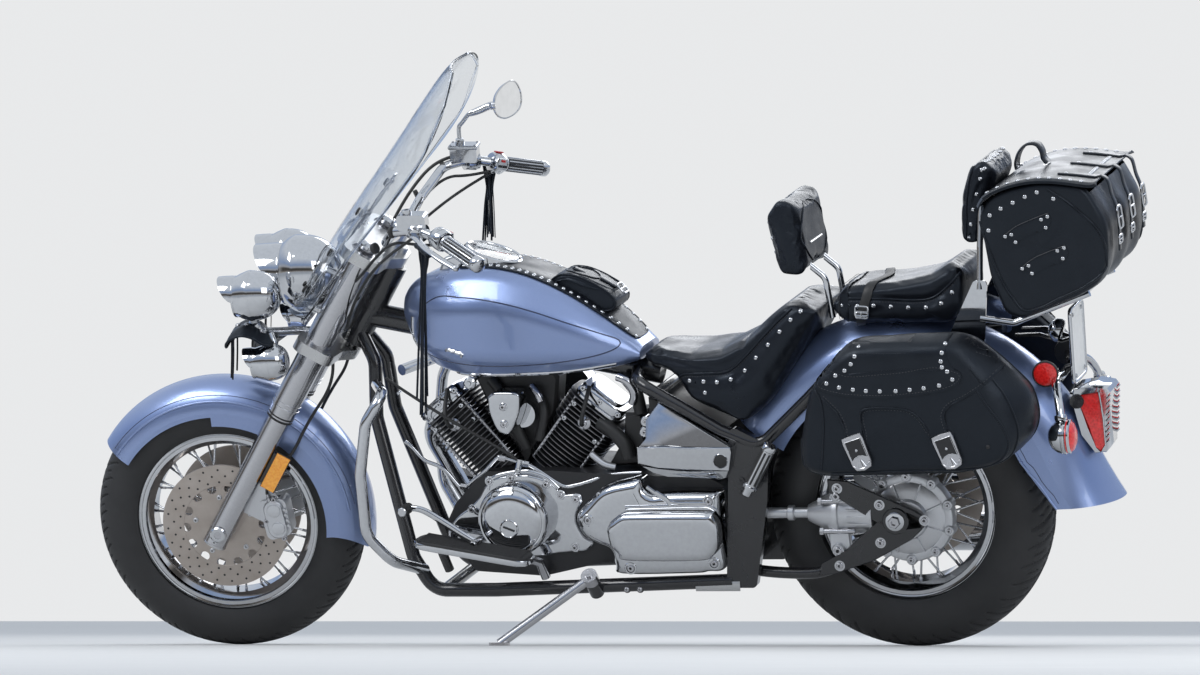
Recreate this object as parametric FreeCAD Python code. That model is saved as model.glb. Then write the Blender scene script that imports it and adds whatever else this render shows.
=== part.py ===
import FreeCAD, Part
import math
import os
from types import SimpleNamespace

from FreeCAD import Placement, Rotation, Vector

# A large shaft-drive cruiser with a finned V-twin, parked on its side stand.
# Every piece is drawn on the upright machine in millimetres: X runs rearward from the rear
# axle, Y to the rider's right and Z up from the floor. The steered group is drawn with the
# wheel straight ahead. Placements then turn the fork, lean the whole machine on its stand
# and bring the middle of its footprint to the origin.

os.makedirs("parts", exist_ok=True)
doc = FreeCAD.newDocument("cruiser_motorcycle")
sheet = doc.addObject("Spreadsheet::Sheet", "sizes")

# columns: alias, value in millimetres or degrees, what it is
driving_sizes = [
    ("wheelbase", 1645, "between the axles, wheel straight ahead"),
    ("rake", 33, "steering head from the vertical"),
    ("trail", 132, "steering axis ahead of the front contact, on the floor"),
    ("fork_offset", 63.6, "fork legs ahead of the steering axis"),
    ("lean_angle", 15, "machine leaning left on its stand"),
    ("steer_angle", 9.5, "fork turned left as it is parked"),
    ("footprint_mid_x", -720.9, "middle of the outer box, from the rear axle"),
    ("footprint_mid_y", -215, "middle of the outer box, across"),
    ("seat_gap", 0.3, "between pieces that seat on each other"),
    ("swing_gap", 6, "between pieces that move past each other"),
    ("front_tyre_radius", 320, "outer radius"),
    ("front_tyre_half", 65, "half width and crown radius"),
    ("front_rim_radius", 215, "flange"),
    ("front_rim_half", 47, "half width over the flanges"),
    ("rear_tyre_radius", 326, "outer radius"),
    ("rear_tyre_half", 82, "half width and crown radius"),
    ("rear_rim_radius", 203, "flange"),
    ("rear_rim_half", 58, "half width over the flanges"),
    ("spoke_radius", 2.4, "wire spoke"),
    ("hub_radius", 33, "barrel of both hubs"),
    ("axle_radius", 12, "both axles"),
    ("axle_bore_radius", 6, "hole through the rear axle"),
    ("disc_thickness", 4.5, "all three brake discs"),
    ("front_disc_radius", 149, "outer radius"),
    ("rear_disc_radius", 141, "outer radius"),
    ("front_disc_y", 76, "middle plane, each side"),
    ("rear_disc_y", 98, "middle plane, right side"),
    ("leg_y", 115, "fork leg centre, each side"),
    ("slider_radius", 28, "lower fork leg"),
    ("cover_radius", 33, "fork cover above the slider"),
    ("slider_length", 350, "axle to the top of the slider"),
    ("fork_length", 752, "axle to the top yoke"),
    ("yoke_thickness", 26, "both yokes"),
    ("lower_yoke", 500, "axle to the lower yoke along the leg"),
    ("stem_radius", 15, "steering stem"),
    ("head_radius", 33, "steering head tube"),
    ("rail_radius", 16, "cradle tubes"),
    ("seat_rail_radius", 14, "tubes under the seat"),
    ("cradle_y", 130, "lower rail centre, each side"),
    ("backbone_radius", 28, "tube under the fuel tank"),
    ("bar_radius", 11, "handlebar tube"),
    ("grip_radius", 17, "hand grip"),
    ("fender_sheet", 3, "sheet of both fenders"),
    ("front_fender_half", 81.5, "half width"),
    ("rear_fender_half", 110, "half width"),
    ("fin_radius", 76, "cylinder fins"),
    ("barrel_radius", 56, "cylinder between the fins"),
    ("vee_half_angle", 39.5, "each cylinder from the vertical"),
    ("crank_x", -890, "crankshaft"),
    ("crank_z", 352, "crankshaft"),
    ("tank_half", 150, "half width of the fuel tank"),
    ("seat_half", 150, "half width of the rider seat"),
    ("pillion_half", 118, "half width of the passenger seat"),
    ("bag_inner_y", 195, "saddlebag back, each side"),
    ("bag_outer_y", 340, "saddlebag face, each side"),
    ("bag_wall", 6, "leather and board of the bags"),
    ("trunk_half", 218, "half width of the trunk"),
    ("lid_gap", 0.6, "between a lid and its bag"),
    ("screen_sheet", 4, "windshield"),
    ("screen_half", 245, "half width of the windshield"),
    ("board_inner_y", 215, "floorboard, inner edge"),
    ("board_outer_y", 330, "floorboard, outer edge"),
    ("stand_radius", 11, "side stand leg"),
    ("stand_pivot_x", -715, "side stand pivot"),
    ("stand_pivot_y", -178, "side stand pivot"),
    ("stand_pivot_z", 205, "side stand pivot"),
    ("stand_foot_x", -900, "middle of the foot, on the floor"),
    ("stand_foot_y", -316, "middle of the foot, on the floor, machine leaning"),
]
for row, (alias, value, note) in enumerate(driving_sizes, start=1):
    sheet.set("A%d" % row, alias)
    sheet.set("B%d" % row, str(value))
    sheet.set("C%d" % row, note)
    sheet.setAlias("B%d" % row, alias)
doc.recompute()
dim = SimpleNamespace(**{alias: float(sheet.get(alias)) for alias, value, note in driving_sizes})

lean_rad = math.radians(dim.lean_angle)
rake_rad = math.radians(dim.rake)
sides = (-1, 1)
axis_x = Vector(1, 0, 0)
axis_y = Vector(0, 1, 0)
axis_z = Vector(0, 0, 1)
origin = Vector(0, 0, 0)


# Where the wheels stand
front_crown = dim.front_tyre_radius - dim.front_tyre_half
rear_crown = dim.rear_tyre_radius - dim.rear_tyre_half
rear_axle = Vector(0, 0, rear_crown + dim.rear_tyre_half / math.cos(lean_rad))
steer_foot = Vector(-dim.wheelbase - dim.trail, 0, 0)
steer_up = Vector(math.sin(rake_rad), 0, math.cos(rake_rad))
steer_back = Vector(math.cos(rake_rad), 0, -math.sin(rake_rad))
lean = Placement(Vector(-dim.footprint_mid_x, -dim.footprint_mid_y, 0), Rotation(axis_x, dim.lean_angle))
steer = Placement(origin, Rotation(steer_up, dim.steer_angle), steer_foot)
fork_frame = Placement(steer_foot, Rotation(axis_y, dim.rake))


# The front axle's place along the fork is the one that sets the turned, leaning tyre on the floor
def front_axle_station():
    leaned_axle = lean.Rotation.multVec(steer.Rotation.multVec(axis_y))
    wanted = front_crown * math.sqrt(1 - leaned_axle.z ** 2) + dim.front_tyre_half
    start = fork_frame.multVec(Vector(-dim.fork_offset, 0, 0))
    start_z = lean.multVec(steer.multVec(start)).z
    rise = lean.Rotation.multVec(steer_up).z
    return (wanted - start_z) / rise


axle_station = front_axle_station()
front_axle = fork_frame.multVec(Vector(-dim.fork_offset, 0, axle_station))
top_yoke_station = axle_station + dim.fork_length
lower_yoke_station = axle_station + dim.lower_yoke


# Shape helpers
def rounded(points, radii, closed=True):
    # wire through the points with a tangent arc of the given radius at each corner
    count = len(points)
    if not isinstance(radii, (list, tuple)):
        radii = [radii] * count
    trims = []
    for i, corner in enumerate(points):
        if not closed and i in (0, count - 1):
            trims.append((corner, corner, None))
            continue
        before = points[i - 1]
        after = points[(i + 1) % count]
        back = (before - corner).normalize()
        ahead = (after - corner).normalize()
        half = back.getAngle(ahead) / 2
        room = 0.49 * min((before - corner).Length, (after - corner).Length)
        if radii[i] <= 0 or half > math.radians(89.9):
            trims.append((corner, corner, None))
            continue
        reach = min(radii[i] / math.tan(half), room)
        radius = reach * math.tan(half)
        inward = (back + ahead).normalize()
        middle = corner + inward * (radius / math.sin(half) - radius)
        trims.append((corner + back * reach, corner + ahead * reach, middle))
    edges = []
    for i in range(count):
        first, last, middle = trims[i]
        if middle is not None:
            edges.append(Part.Arc(first, middle, last).toShape())
        if i < count - 1 or closed:
            following = trims[(i + 1) % count][0]
            if (following - last).Length > 1e-4:
                edges.append(Part.LineSegment(last, following).toShape())
    return Part.Wire(edges)


def fused(shapes):
    return shapes[0].multiFuse(shapes[1:]) if len(shapes) > 1 else shapes[0]


def moved(shape, placement):
    return shape.transformed(placement.toMatrix(), True)


def rod(start, end, radius, end_radius=None):
    along = end - start
    if end_radius is None or end_radius == radius:
        return Part.makeCylinder(radius, along.Length, start, along)
    return Part.makeCone(radius, end_radius, along.Length, start, along)


def pipe(points, radius, bend):
    path = rounded(points, bend, closed=False)
    ring = Part.Wire([Part.Circle(points[0], points[1] - points[0], radius).toShape()])
    return path.makePipeShell([ring], True, True)


def side_slab(outline, radii, y_from, y_to):
    # plate with an outline in (x, z), from one y to the other
    wire = rounded([Vector(x, y_from, z) for x, z in outline], radii)
    return Part.Face(wire).extrude(Vector(0, y_to - y_from, 0))


def softened(shape, radius, keep):
    # rounds the edges for which keep(edge) holds
    return shape.makeFillet(radius, [edge for edge in shape.Edges if keep(edge)])


def flat_at(y):
    # picks the edges that lie in the plane at y
    return lambda edge: abs(edge.BoundBox.YMin - y) < 0.01 and abs(edge.BoundBox.YMax - y) < 0.01


def turned(profile, centre, axis=axis_y, angle=360):
    return Part.Face(profile).revolve(centre, axis, angle)


def ring(profile_rows, centre, angle=360):
    # turned about the Y axis; rows are (radius, y)
    wire = rounded([centre + Vector(radius, y, 0) for radius, y in profile_rows], 0)
    return turned(wire, centre, axis_y, angle)


def half_space(point, normal, size=3000):
    # a big block that lies on the normal's side of the plane
    block = Part.makeBox(size, size, size, Vector(-size / 2, -size / 2, 0))
    return moved(block, Placement(point, Rotation(axis_z, normal)))


nodes = []


def add_node(name, shape, steered=False, in_fork=False):
    item = doc.addObject("Part::Feature", name)
    item.Label = name
    if in_fork:
        shape = moved(shape, fork_frame)
    item.Shape = shape
    item.Placement = lean.multiply(steer) if steered else lean
    nodes.append(item)
    return shape


# Tyres and rims, turned about the axle
def tyre(axle, radius, half, rim_radius, rim_half):
    crown = radius - half
    bead_half = rim_half - 6
    shoulder = math.sqrt(half ** 2 - (crown - rim_radius - 2) ** 2)
    seat = rim_radius - 11.5
    low_left = axle + Vector(rim_radius + 2, -shoulder, 0)
    low_right = axle + Vector(rim_radius + 2, shoulder, 0)
    crown_arc = Part.Arc(low_left, axle + Vector(radius, 0, 0), low_right).toShape()
    rest = Part.makePolygon([
        low_right,
        axle + Vector(rim_radius + 2, bead_half, 0),
        axle + Vector(seat, bead_half, 0),
        axle + Vector(seat, -bead_half, 0),
        axle + Vector(rim_radius + 2, -bead_half, 0),
        low_left,
    ])
    return turned(Part.Wire([crown_arc] + rest.Edges), axle)


def wire_wheel(axle, rim_radius, rim_half, hub_half, boss_rows, spoke_pairs):
    bead = rim_radius - 12
    well = rim_radius - 27
    wall = 4
    rim_rows = [
        (rim_radius, -rim_half), (rim_radius, -rim_half + wall), (bead, -rim_half + 5),
        (bead, -rim_half + 17), (well, -rim_half + 25), (well, rim_half - 25),
        (bead, rim_half - 17), (bead, rim_half - 5), (rim_radius, rim_half - wall),
        (rim_radius, rim_half), (bead - wall, rim_half), (bead - wall, rim_half - 14),
        (well - wall, rim_half - 23), (well - wall, -rim_half + 23),
        (bead - wall, -rim_half + 14), (bead - wall, -rim_half),
    ]
    rim = ring(rim_rows, axle)
    bore = dim.axle_radius + dim.seat_gap
    flange = dim.hub_radius + 20
    spoke_y = hub_half - 14
    hub_rows = [
        (bore, -hub_half), (dim.hub_radius, -hub_half), (dim.hub_radius, -spoke_y - 4),
        (flange, -spoke_y - 4), (flange, -spoke_y + 4), (dim.hub_radius - 4, -spoke_y + 4),
        (dim.hub_radius - 4, spoke_y - 4), (flange, spoke_y - 4), (flange, spoke_y + 4),
        (dim.hub_radius, spoke_y + 4), (dim.hub_radius, hub_half), (bore, hub_half),
    ] + boss_rows
    hub = ring(hub_rows, axle)
    spokes = []
    lace = math.radians(38)
    rim_hole_y = rim_half - 30
    for i in range(spoke_pairs * 2):
        side = sides[i % 2]
        hand = sides[(i // 2) % 2]
        at_rim = 2 * math.pi * (i + 0.5) / (spoke_pairs * 2)
        at_hub = at_rim + hand * lace
        inner = Vector(math.cos(at_hub) * (flange - 5), side * spoke_y, math.sin(at_hub) * (flange - 5))
        outer = Vector(math.cos(at_rim) * (well - 1), side * rim_hole_y, math.sin(at_rim) * (well - 1))
        spokes.append(rod(axle + inner, axle + outer, dim.spoke_radius))
    return fused([rim, hub] + spokes)


def brake_disc(axle, radius, middle_y, boss_radius, hole_count):
    half = dim.disc_thickness / 2
    carrier = radius * 0.62
    plate = Part.makeCylinder(radius, 2 * half, axle + Vector(0, middle_y - half, 0), axis_y)
    near_face = axle + Vector(0, middle_y - half, 0)
    plate = plate.cut(Part.makeCylinder(boss_radius, 2 * half, near_face, axis_y))
    holes = []
    for i in range(hole_count):
        angle = 2 * math.pi * i / hole_count
        centre = axle + Vector(math.cos(angle) * carrier, middle_y - half, math.sin(angle) * carrier)
        holes.append(Part.makeCylinder(radius * 0.075, 2 * half, centre, axis_y))
    return plate.cut(fused(holes))


front_hub_half = dim.front_disc_y - dim.disc_thickness / 2
rear_hub_half = 82
disc_boss = dim.hub_radius - 6


def build_front_wheel():
    add_node("front_tyre", tyre(front_axle, dim.front_tyre_radius, dim.front_tyre_half,
                                dim.front_rim_radius, dim.front_rim_half), steered=True)
    wheel = wire_wheel(front_axle, dim.front_rim_radius, dim.front_rim_half, front_hub_half, [], 20)
    bosses = []
    for side in sides:
        start = front_axle + Vector(0, side * front_hub_half, 0)
        bosses.append(rod(start, start + Vector(0, side * 7, 0), disc_boss))
    bore = Part.makeCylinder(dim.axle_radius + dim.seat_gap, 300, front_axle - Vector(0, 150, 0), axis_y)
    add_node("front_wheel", fused([wheel] + bosses).cut(bore), steered=True)
    discs = [brake_disc(front_axle, dim.front_disc_radius, side * dim.front_disc_y, disc_boss, 14)
             for side in sides]
    add_node("front_brake_discs", Part.makeCompound(discs), steered=True)


def build_rear_wheel():
    add_node("rear_tyre", tyre(rear_axle, dim.rear_tyre_radius, dim.rear_tyre_half,
                               dim.rear_rim_radius, dim.rear_rim_half))
    wheel = wire_wheel(rear_axle, dim.rear_rim_radius, dim.rear_rim_half, rear_hub_half - 20, [], 20)
    disc_face = dim.rear_disc_y - dim.disc_thickness / 2
    start = rear_axle + Vector(0, rear_hub_half - 22, 0)
    boss = rod(start, rear_axle + Vector(0, disc_face, 0), dim.hub_radius)
    nose = rod(rear_axle + Vector(0, disc_face, 0), rear_axle + Vector(0, disc_face + 8, 0), disc_boss)
    bore = Part.makeCylinder(dim.axle_radius + dim.seat_gap, 300, rear_axle - Vector(0, 150, 0), axis_y)
    add_node("rear_wheel", fused([wheel, boss, nose]).cut(bore))
    add_node("rear_brake_disc", brake_disc(rear_axle, dim.rear_disc_radius, dim.rear_disc_y, disc_boss, 14))


# Handlebar clamps stand this far behind the steering axis and above the top yoke
clamp_back = -20
clamp_rise = 52


# Fork, drawn in the fork's own frame: Z along the steering axis, X back from it
def build_fork(bar):
    legs = []
    for side in sides:
        foot = Vector(-dim.fork_offset, side * dim.leg_y, axle_station)
        slider = rod(foot - axis_z * 34, foot + axis_z * dim.slider_length, dim.slider_radius)
        collar = rod(foot + axis_z * (dim.slider_length - 26), foot + axis_z * dim.slider_length,
                     dim.slider_radius + 3)
        cover = rod(foot + axis_z * dim.slider_length, foot + axis_z * (dim.fork_length + 22),
                    dim.cover_radius)
        cap = rod(foot + axis_z * (dim.fork_length + 22), foot + axis_z * (dim.fork_length + 34), 20)
        legs.append(fused([slider, collar, cover, cap]))
    axle_end = dim.leg_y + dim.slider_radius + 6
    middle = Vector(-dim.fork_offset, 0, axle_station)
    axle = rod(middle - axis_y * axle_end, middle + axis_y * axle_end, dim.axle_radius)
    spacers = []
    for side in sides:
        start = middle + axis_y * side * (front_hub_half + 7 + dim.seat_gap)
        spacers.append(rod(start, middle + axis_y * side * (dim.leg_y - 10), dim.axle_radius + 6))
    legs_shape = add_node("fork_legs", fused(legs + [axle] + spacers), steered=True, in_fork=True)

    bore = dim.cover_radius + dim.seat_gap
    reach = dim.cover_radius + 14
    yokes = []
    for station in (lower_yoke_station, top_yoke_station):
        outline = [
            (-dim.fork_offset - reach, dim.leg_y - 20), (-dim.fork_offset + reach, dim.leg_y + reach),
            (-dim.fork_offset + reach + 10, dim.leg_y - 30), (dim.stem_radius + 8, 25),
            (dim.stem_radius + 8, -25), (-dim.fork_offset + reach + 10, -dim.leg_y + 30),
            (-dim.fork_offset + reach, -dim.leg_y - reach), (-dim.fork_offset - reach, -dim.leg_y + 20),
        ]
        front = -dim.fork_offset - reach
        outline[0:1] = [(front, dim.leg_y - 20), (front, dim.leg_y + reach)]
        outline[-1:] = [(front, -dim.leg_y - reach), (front, -dim.leg_y + 20)]
        wire = rounded([Vector(x, y, station) for x, y in outline], 26)
        plate = Part.Face(wire).extrude(axis_z * dim.yoke_thickness)
        for side in sides:
            foot = Vector(-dim.fork_offset, side * dim.leg_y, station - 1)
            plate = plate.cut(Part.makeCylinder(bore, dim.yoke_thickness + 2, foot))
        yokes.append(plate)
    stem_length = top_yoke_station - lower_yoke_station + dim.yoke_thickness + 14
    stem = Part.makeCylinder(dim.stem_radius, stem_length,
                             Vector(0, 0, lower_yoke_station))
    risers = []
    for side in sides:
        foot = Vector(clamp_back, side * 48, top_yoke_station + dim.yoke_thickness)
        risers.append(rod(foot, foot + axis_z * (clamp_rise + 17), 18))
    shape = moved(fused(yokes + [stem] + risers), fork_frame).cut(bar)
    return legs_shape, add_node("fork_yokes", shape, steered=True)


def head_tube():
    start = lower_yoke_station + dim.yoke_thickness + dim.swing_gap
    end = top_yoke_station - dim.swing_gap
    tube = Part.makeCylinder(dim.head_radius, end - start, Vector(0, 0, start))
    tube = tube.cut(Part.makeCylinder(dim.stem_radius + dim.seat_gap, end - start, Vector(0, 0, start)))
    return moved(tube, fork_frame)


def on_steering_axis(station):
    return steer_foot + steer_up * station


# Side stand: it swings from its deployed line back to its folded line about a slanted pin
lean_only = Placement(origin, Rotation(axis_x, dim.lean_angle))
stand_pivot = Vector(dim.stand_pivot_x, dim.stand_pivot_y, dim.stand_pivot_z)
stand_foot_floor = Vector(dim.stand_foot_x, dim.stand_foot_y, 0)
stand_ankle = lean_only.inverse().multVec(stand_foot_floor + axis_z * 4)
stand_down = (stand_ankle - stand_pivot).normalize()
stand_folded = Vector(0.985, -0.08, -0.06).normalize()
stand_axis = stand_down.cross(stand_folded).normalize()
stand_eye_half = dim.stand_radius + 1
stand_pin_radius = 8

# Backbone tube, from the head down to the seat
backbone_start = on_steering_axis(lower_yoke_station + dim.yoke_thickness + 80)
backbone_end = Vector(-560, 0, 642)


# Cradle frame
def build_frame():
    head_low = on_steering_axis(lower_yoke_station + dim.yoke_thickness + 42)
    head_back = on_steering_axis(lower_yoke_station + dim.yoke_thickness + 4) + steer_back * 76
    bore = Part.makeCylinder(dim.stem_radius + dim.seat_gap, 900,
                             Vector(0, 0, lower_yoke_station - 200))
    bore = moved(bore, fork_frame)
    backbone = rod(backbone_start, backbone_end, dim.backbone_radius)
    tubes = [backbone]
    for side in sides:
        tubes.append(pipe([
            head_low + axis_y * side * 12, head_back + axis_y * side * 38,
            Vector(-1240, side * 62, 560), Vector(-1158, side * 118, 240),
            Vector(-1110, side * dim.cradle_y, 166), Vector(-960, side * dim.cradle_y, 166),
            Vector(-392, side * dim.cradle_y, 186),
        ], dim.rail_radius, 60))
        tubes.append(pipe([
            Vector(-612, side * 24, 652), Vector(-585, side * 126, 645),
            Vector(-486, side * dim.cradle_y, 588), Vector(-397, side * dim.cradle_y, 533),
            Vector(-307, side * dim.cradle_y, 494), Vector(-190, side * 128, 600),
            Vector(-120, side * 124, 668), Vector(205, side * 124, 700),
        ], dim.seat_rail_radius, 50))
        tubes.append(side_slab(
            [(-406, 172), (-336, 172), (-296, 374), (-284, 500), (-372, 545)], 12,
            side * (dim.cradle_y - 12), side * (dim.cradle_y + 12)))
    for x, z, radius in [(-1085, 166, 14), (-402, 185, 14), (-330, 500, 12), (-540, 619, 12)]:
        tubes.append(rod(Vector(x, -dim.cradle_y, z), Vector(x, dim.cradle_y, z), radius))
    lug = rod(stand_pivot - stand_axis * 60, stand_pivot - stand_axis * (stand_eye_half + dim.seat_gap), 17)
    tubes.append(lug)
    bore_pin = rod(stand_pivot - stand_axis * 40, stand_pivot, stand_pin_radius + dim.seat_gap)
    return add_node("frame", fused([head_tube()] + tubes).cut(bore).cut(bore_pin))


# Engine: crankcase, two finned cylinders at the vee angle, covers on both sides
def finned_cylinder(tilt):
    crank = Vector(dim.crank_x, 0, dim.crank_z)
    frame_here = Placement(crank, Rotation(axis_y, tilt))
    # stations along the cylinder from the crankshaft
    barrel_from, head_from, cover_from, cover_to = 98, 216, 288, 322
    fin_pitch, fin = 12.4, 5.2
    rows = [(0, barrel_from), (dim.barrel_radius, barrel_from)]
    station = barrel_from + 8
    while station + fin < head_from:
        rows += [(dim.barrel_radius, station), (dim.fin_radius, station),
                 (dim.fin_radius, station + fin), (dim.barrel_radius, station + fin)]
        station += fin_pitch
    rows += [(dim.barrel_radius, head_from), (0, head_from)]
    wire = Part.makePolygon([Vector(radius, 0, height) for radius, height in rows + rows[:1]])
    barrel = Part.Face(wire).revolve(origin, axis_z, 360)
    head_rows = []
    side = dim.fin_radius
    core = side - 14
    height = head_from
    while height + fin < cover_from:
        head_rows += [(core, height), (side, height), (side, height + fin), (core, height + fin)]
        height += fin_pitch
    outline = [(core, head_from)] + head_rows[1:] + [(core, cover_from)]
    points = [Vector(x, -side, z) for x, z in outline]
    points += [Vector(-x, -side, z) for x, z in reversed(outline)]
    head = Part.Face(Part.makePolygon(points + points[:1])).extrude(axis_y * 2 * side)
    cover = Part.Face(rounded([
        Vector(-60, -66, cover_from), Vector(60, -66, cover_from),
        Vector(60, 66, cover_from), Vector(-60, 66, cover_from)], 30))
    cover = cover.extrude(axis_z * (cover_to - cover_from))
    cover = softened(cover, 14, lambda edge: edge.BoundBox.ZMin > cover_to - 0.01)
    return moved(fused([barrel, head]), frame_here), moved(cover, frame_here)


def build_engine():
    front, front_cover = finned_cylinder(-dim.vee_half_angle)
    rear, rear_cover = finned_cylinder(dim.vee_half_angle)
    crankcase = side_slab([(-1076, 313), (-1046, 366), (-975, 440), (-805, 440), (-700, 432),
                           (-440, 420), (-400, 400), (-400, 250), (-440, 222), (-697, 226),
                           (-845, 194), (-1013, 206)], 22, -112, 112)
    crankcase = crankcase.cut(front).cut(rear)
    front = front.cut(half_space(Vector(dim.crank_x, 0, 0), axis_x))
    rear = rear.cut(half_space(Vector(dim.crank_x + dim.seat_gap, 0, 0), axis_x * -1))
    add_node("engine_block", crankcase)
    add_node("cylinders", Part.makeCompound([front, rear]))
    add_node("rocker_covers", Part.makeCompound([front_cover, rear_cover]))
    return crankcase, front, rear, front_cover, rear_cover


def cover_disc(x, z, radius, y_from, y_to, edge_radius):
    disc = rod(Vector(x, y_from, z), Vector(x, y_to, z), radius)
    return softened(disc, edge_radius, flat_at(y_to))


def build_engine_covers():
    rear = -401  # just ahead of the frame's pivot plate
    gear = side_slab([(-716, 343), (-668, 395), (-609, 439), (-562, 439), (-410, 412), (rear, 390),
                      (rear, 262), (-432, 226), (-639, 227), (-680, 262)], 16, -112, -176)
    gear = softened(gear, 8, flat_at(-176))
    oval = side_slab([(-672, 372), (rear, 372), (rear, 252), (-672, 252)], 59, -176, -204)
    oval = softened(oval, 12, flat_at(-204))
    alternator = cover_disc(dim.crank_x + 5, dim.crank_z, 84, -112, -186, 16)
    cap = cover_disc(dim.crank_x + 5, dim.crank_z, 50, -186, -194, 4)
    clutch = cover_disc(dim.crank_x + 20, dim.crank_z - 10, 96, 112, 178, 16)
    primary = side_slab([(-800, 400), (-470, 395), (-440, 360), (-450, 262), (-490, 240), (-800, 240)],
                        30, 112, 150)
    primary = softened(primary, 10, flat_at(150))
    left = fused([gear, oval, alternator, cap])
    right = fused([clutch, primary])
    add_node("engine_covers", Part.makeCompound([left, right]))
    return left, right


def build_vee_cover(front, rear):
    plate = side_slab([(-944, 626), (-858, 626), (-878, 566), (-906, 533), (-932, 560)], 14, -60, -112)
    plate = softened(plate, 5, flat_at(-112))
    return add_node("vee_cover", plate.cut(front).cut(rear))


def build_air_cleaner(front, rear, covers):
    body = rod(Vector(dim.crank_x + 30, 120, 560), Vector(dim.crank_x + 30, 196, 560), 92)
    body = softened(body, 24, flat_at(196))
    throat = rod(Vector(dim.crank_x + 5, -60 + dim.seat_gap, 560), Vector(dim.crank_x + 5, 122, 560), 30)
    ports = rod(Vector(dim.crank_x - 120, 0, 560), Vector(dim.crank_x + 130, 0, 560), 22)
    shape = fused([body, throat, ports])
    for other in [front, rear] + covers:
        shape = shape.cut(other)
    return add_node("air_cleaner", largest(shape))


def largest(shape):
    # keeps the biggest solid, where a cut leaves crumbs behind
    return max(shape.Solids, key=lambda solid: solid.Volume)


def build_exhaust(cutters):
    front_pipe = pipe([Vector(-1092, 60, 556), Vector(-1150, 108, 540), Vector(-1190, 150, 470),
                       Vector(-1098, 178, 270), Vector(-1030, 184, 214), Vector(-560, 205, 212)], 21, 60)
    rear_pipe = pipe([Vector(-742, 60, 500), Vector(-690, 120, 470), Vector(-660, 176, 400),
                      Vector(-600, 205, 318), Vector(-500, 220, 318)], 21, 50)
    pipes = []
    for header, z, length in [(front_pipe, 212, 770), (rear_pipe, 318, 790)]:
        start = Vector(-560, 215, z)
        cone = rod(start, start + Vector(110, 0, 0), 22, 44)
        body = rod(start + Vector(110, 0, 0), start + Vector(length - 60, 0, 0), 44)
        tail = rod(start + Vector(length - 60, 0, 0), start + Vector(length, 0, 0), 44, 36)
        hollow = rod(start + Vector(length - 80, 0, 0), start + Vector(length, 0, 0), 28)
        pipes.append(fused([header, cone, body, tail]).cut(hollow))
    hanger = side_slab([(-380, 190), (-330, 190), (-330, 350), (-380, 350)], 6, 142.3, 178)
    shape = fused(pipes + [hanger])
    for other in cutters:
        shape = shape.cut(other)
    return add_node("exhaust", largest(shape))


# Swingarm, shaft housing and final drive
def build_swingarm():
    arm = dim.cradle_y - 12 - dim.seat_gap
    parts = []
    pivot = rod(Vector(-362, -arm, 330), Vector(-362, arm, 330), 16)
    right = side_slab([(-384, 352), (-384, 306), (-60, 300), (28, 306), (40, 329), (28, 352), (-60, 362)],
                      12, arm - 10, arm)
    parts += [pivot, right]
    left = side_slab([(-140, 418), (-103, 418), (58, 346), (70, 329), (58, 312), (-48, 235), (-140, 214)],
                     12, -152, -136)
    lower = pipe([Vector(-362, -101, 205), Vector(-290, -101, 198), Vector(-200, -128, 206),
                  Vector(-110, -142, 240)], 13, 60)
    bridge = rod(Vector(-362, -101, 200), Vector(-362, -101, 330), 14)
    axle = rod(rear_axle + Vector(0, -166, 0), rear_axle + Vector(0, arm + 16, 0), dim.axle_radius)
    bore = rod(rear_axle + Vector(0, -167, 0), rear_axle + Vector(0, arm + 17, 0), dim.axle_bore_radius)
    disc_nose = dim.rear_disc_y - dim.disc_thickness / 2 + 8 + dim.seat_gap
    spacer = rod(rear_axle + Vector(0, disc_nose, 0), rear_axle + Vector(0, arm, 0), dim.axle_radius + 6)
    shape = fused(parts + [left, lower, bridge, axle, spacer]).cut(bore)
    return add_node("swingarm", shape)


def build_final_drive(swingarm, frame):
    hub = rod(rear_axle + Vector(18, -70, -6), rear_axle + Vector(18, -118, -6), 100)
    hub = softened(hub, 16, flat_at(-118))
    boss = rod(rear_axle + Vector(0, -70, 0), rear_axle + Vector(0, -136, 0), 52)
    nose = rod(Vector(-210, -118, 325), Vector(-40, -104, 325), 20, 58)
    shaft = rod(Vector(-318, -118, 325), Vector(-200, -118, 325), 15)
    shape = fused([hub, boss, nose, shaft])
    tyre_room = Part.makeCylinder(dim.rear_tyre_radius + dim.swing_gap, 2 * (dim.rear_tyre_half + 8),
                                  rear_axle - Vector(0, dim.rear_tyre_half + 8, 0), axis_y)
    shape = shape.cut(tyre_room).cut(swingarm).cut(frame)
    return add_node("final_drive", largest(shape))


# Fuel tank: lofted through cross sections
# columns: x, bottom z, top z, half width at the bottom, share of the full half width
tank_sections = [
    (-1152, 772, 846, 30, 0.36),
    (-1118, 712, 878, 52, 0.60),
    (-1040, 674, 901, 98, 0.90),
    (-920, 662, 908, 118, 1.0),
    (-790, 662, 868, 112, 0.97),
    (-680, 668, 800, 92, 0.80),
    (-588, 684, 712, 60, 0.52),
]


def tank_section(x, low, high, foot, share, grow):
    wide = dim.tank_half * share + grow
    middle = low + (high - low) * 0.42
    top_half = wide * 0.62
    low -= grow
    high += grow
    points = [(-foot, low), (foot, low),
              (wide, low + (middle - low) * 0.5), (wide, middle + (high - middle) * 0.4),
              (top_half, high), (-top_half, high), (-wide, middle + (high - middle) * 0.4),
              (-wide, low + (middle - low) * 0.5)]
    radii = [18, 18, 60, 90, 70, 70, 90, 60]
    return rounded([Vector(x, y, z) for y, z in points], radii)


def tank_body(grow):
    return Part.makeLoft([tank_section(*row, grow) for row in tank_sections], True, False)


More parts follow.
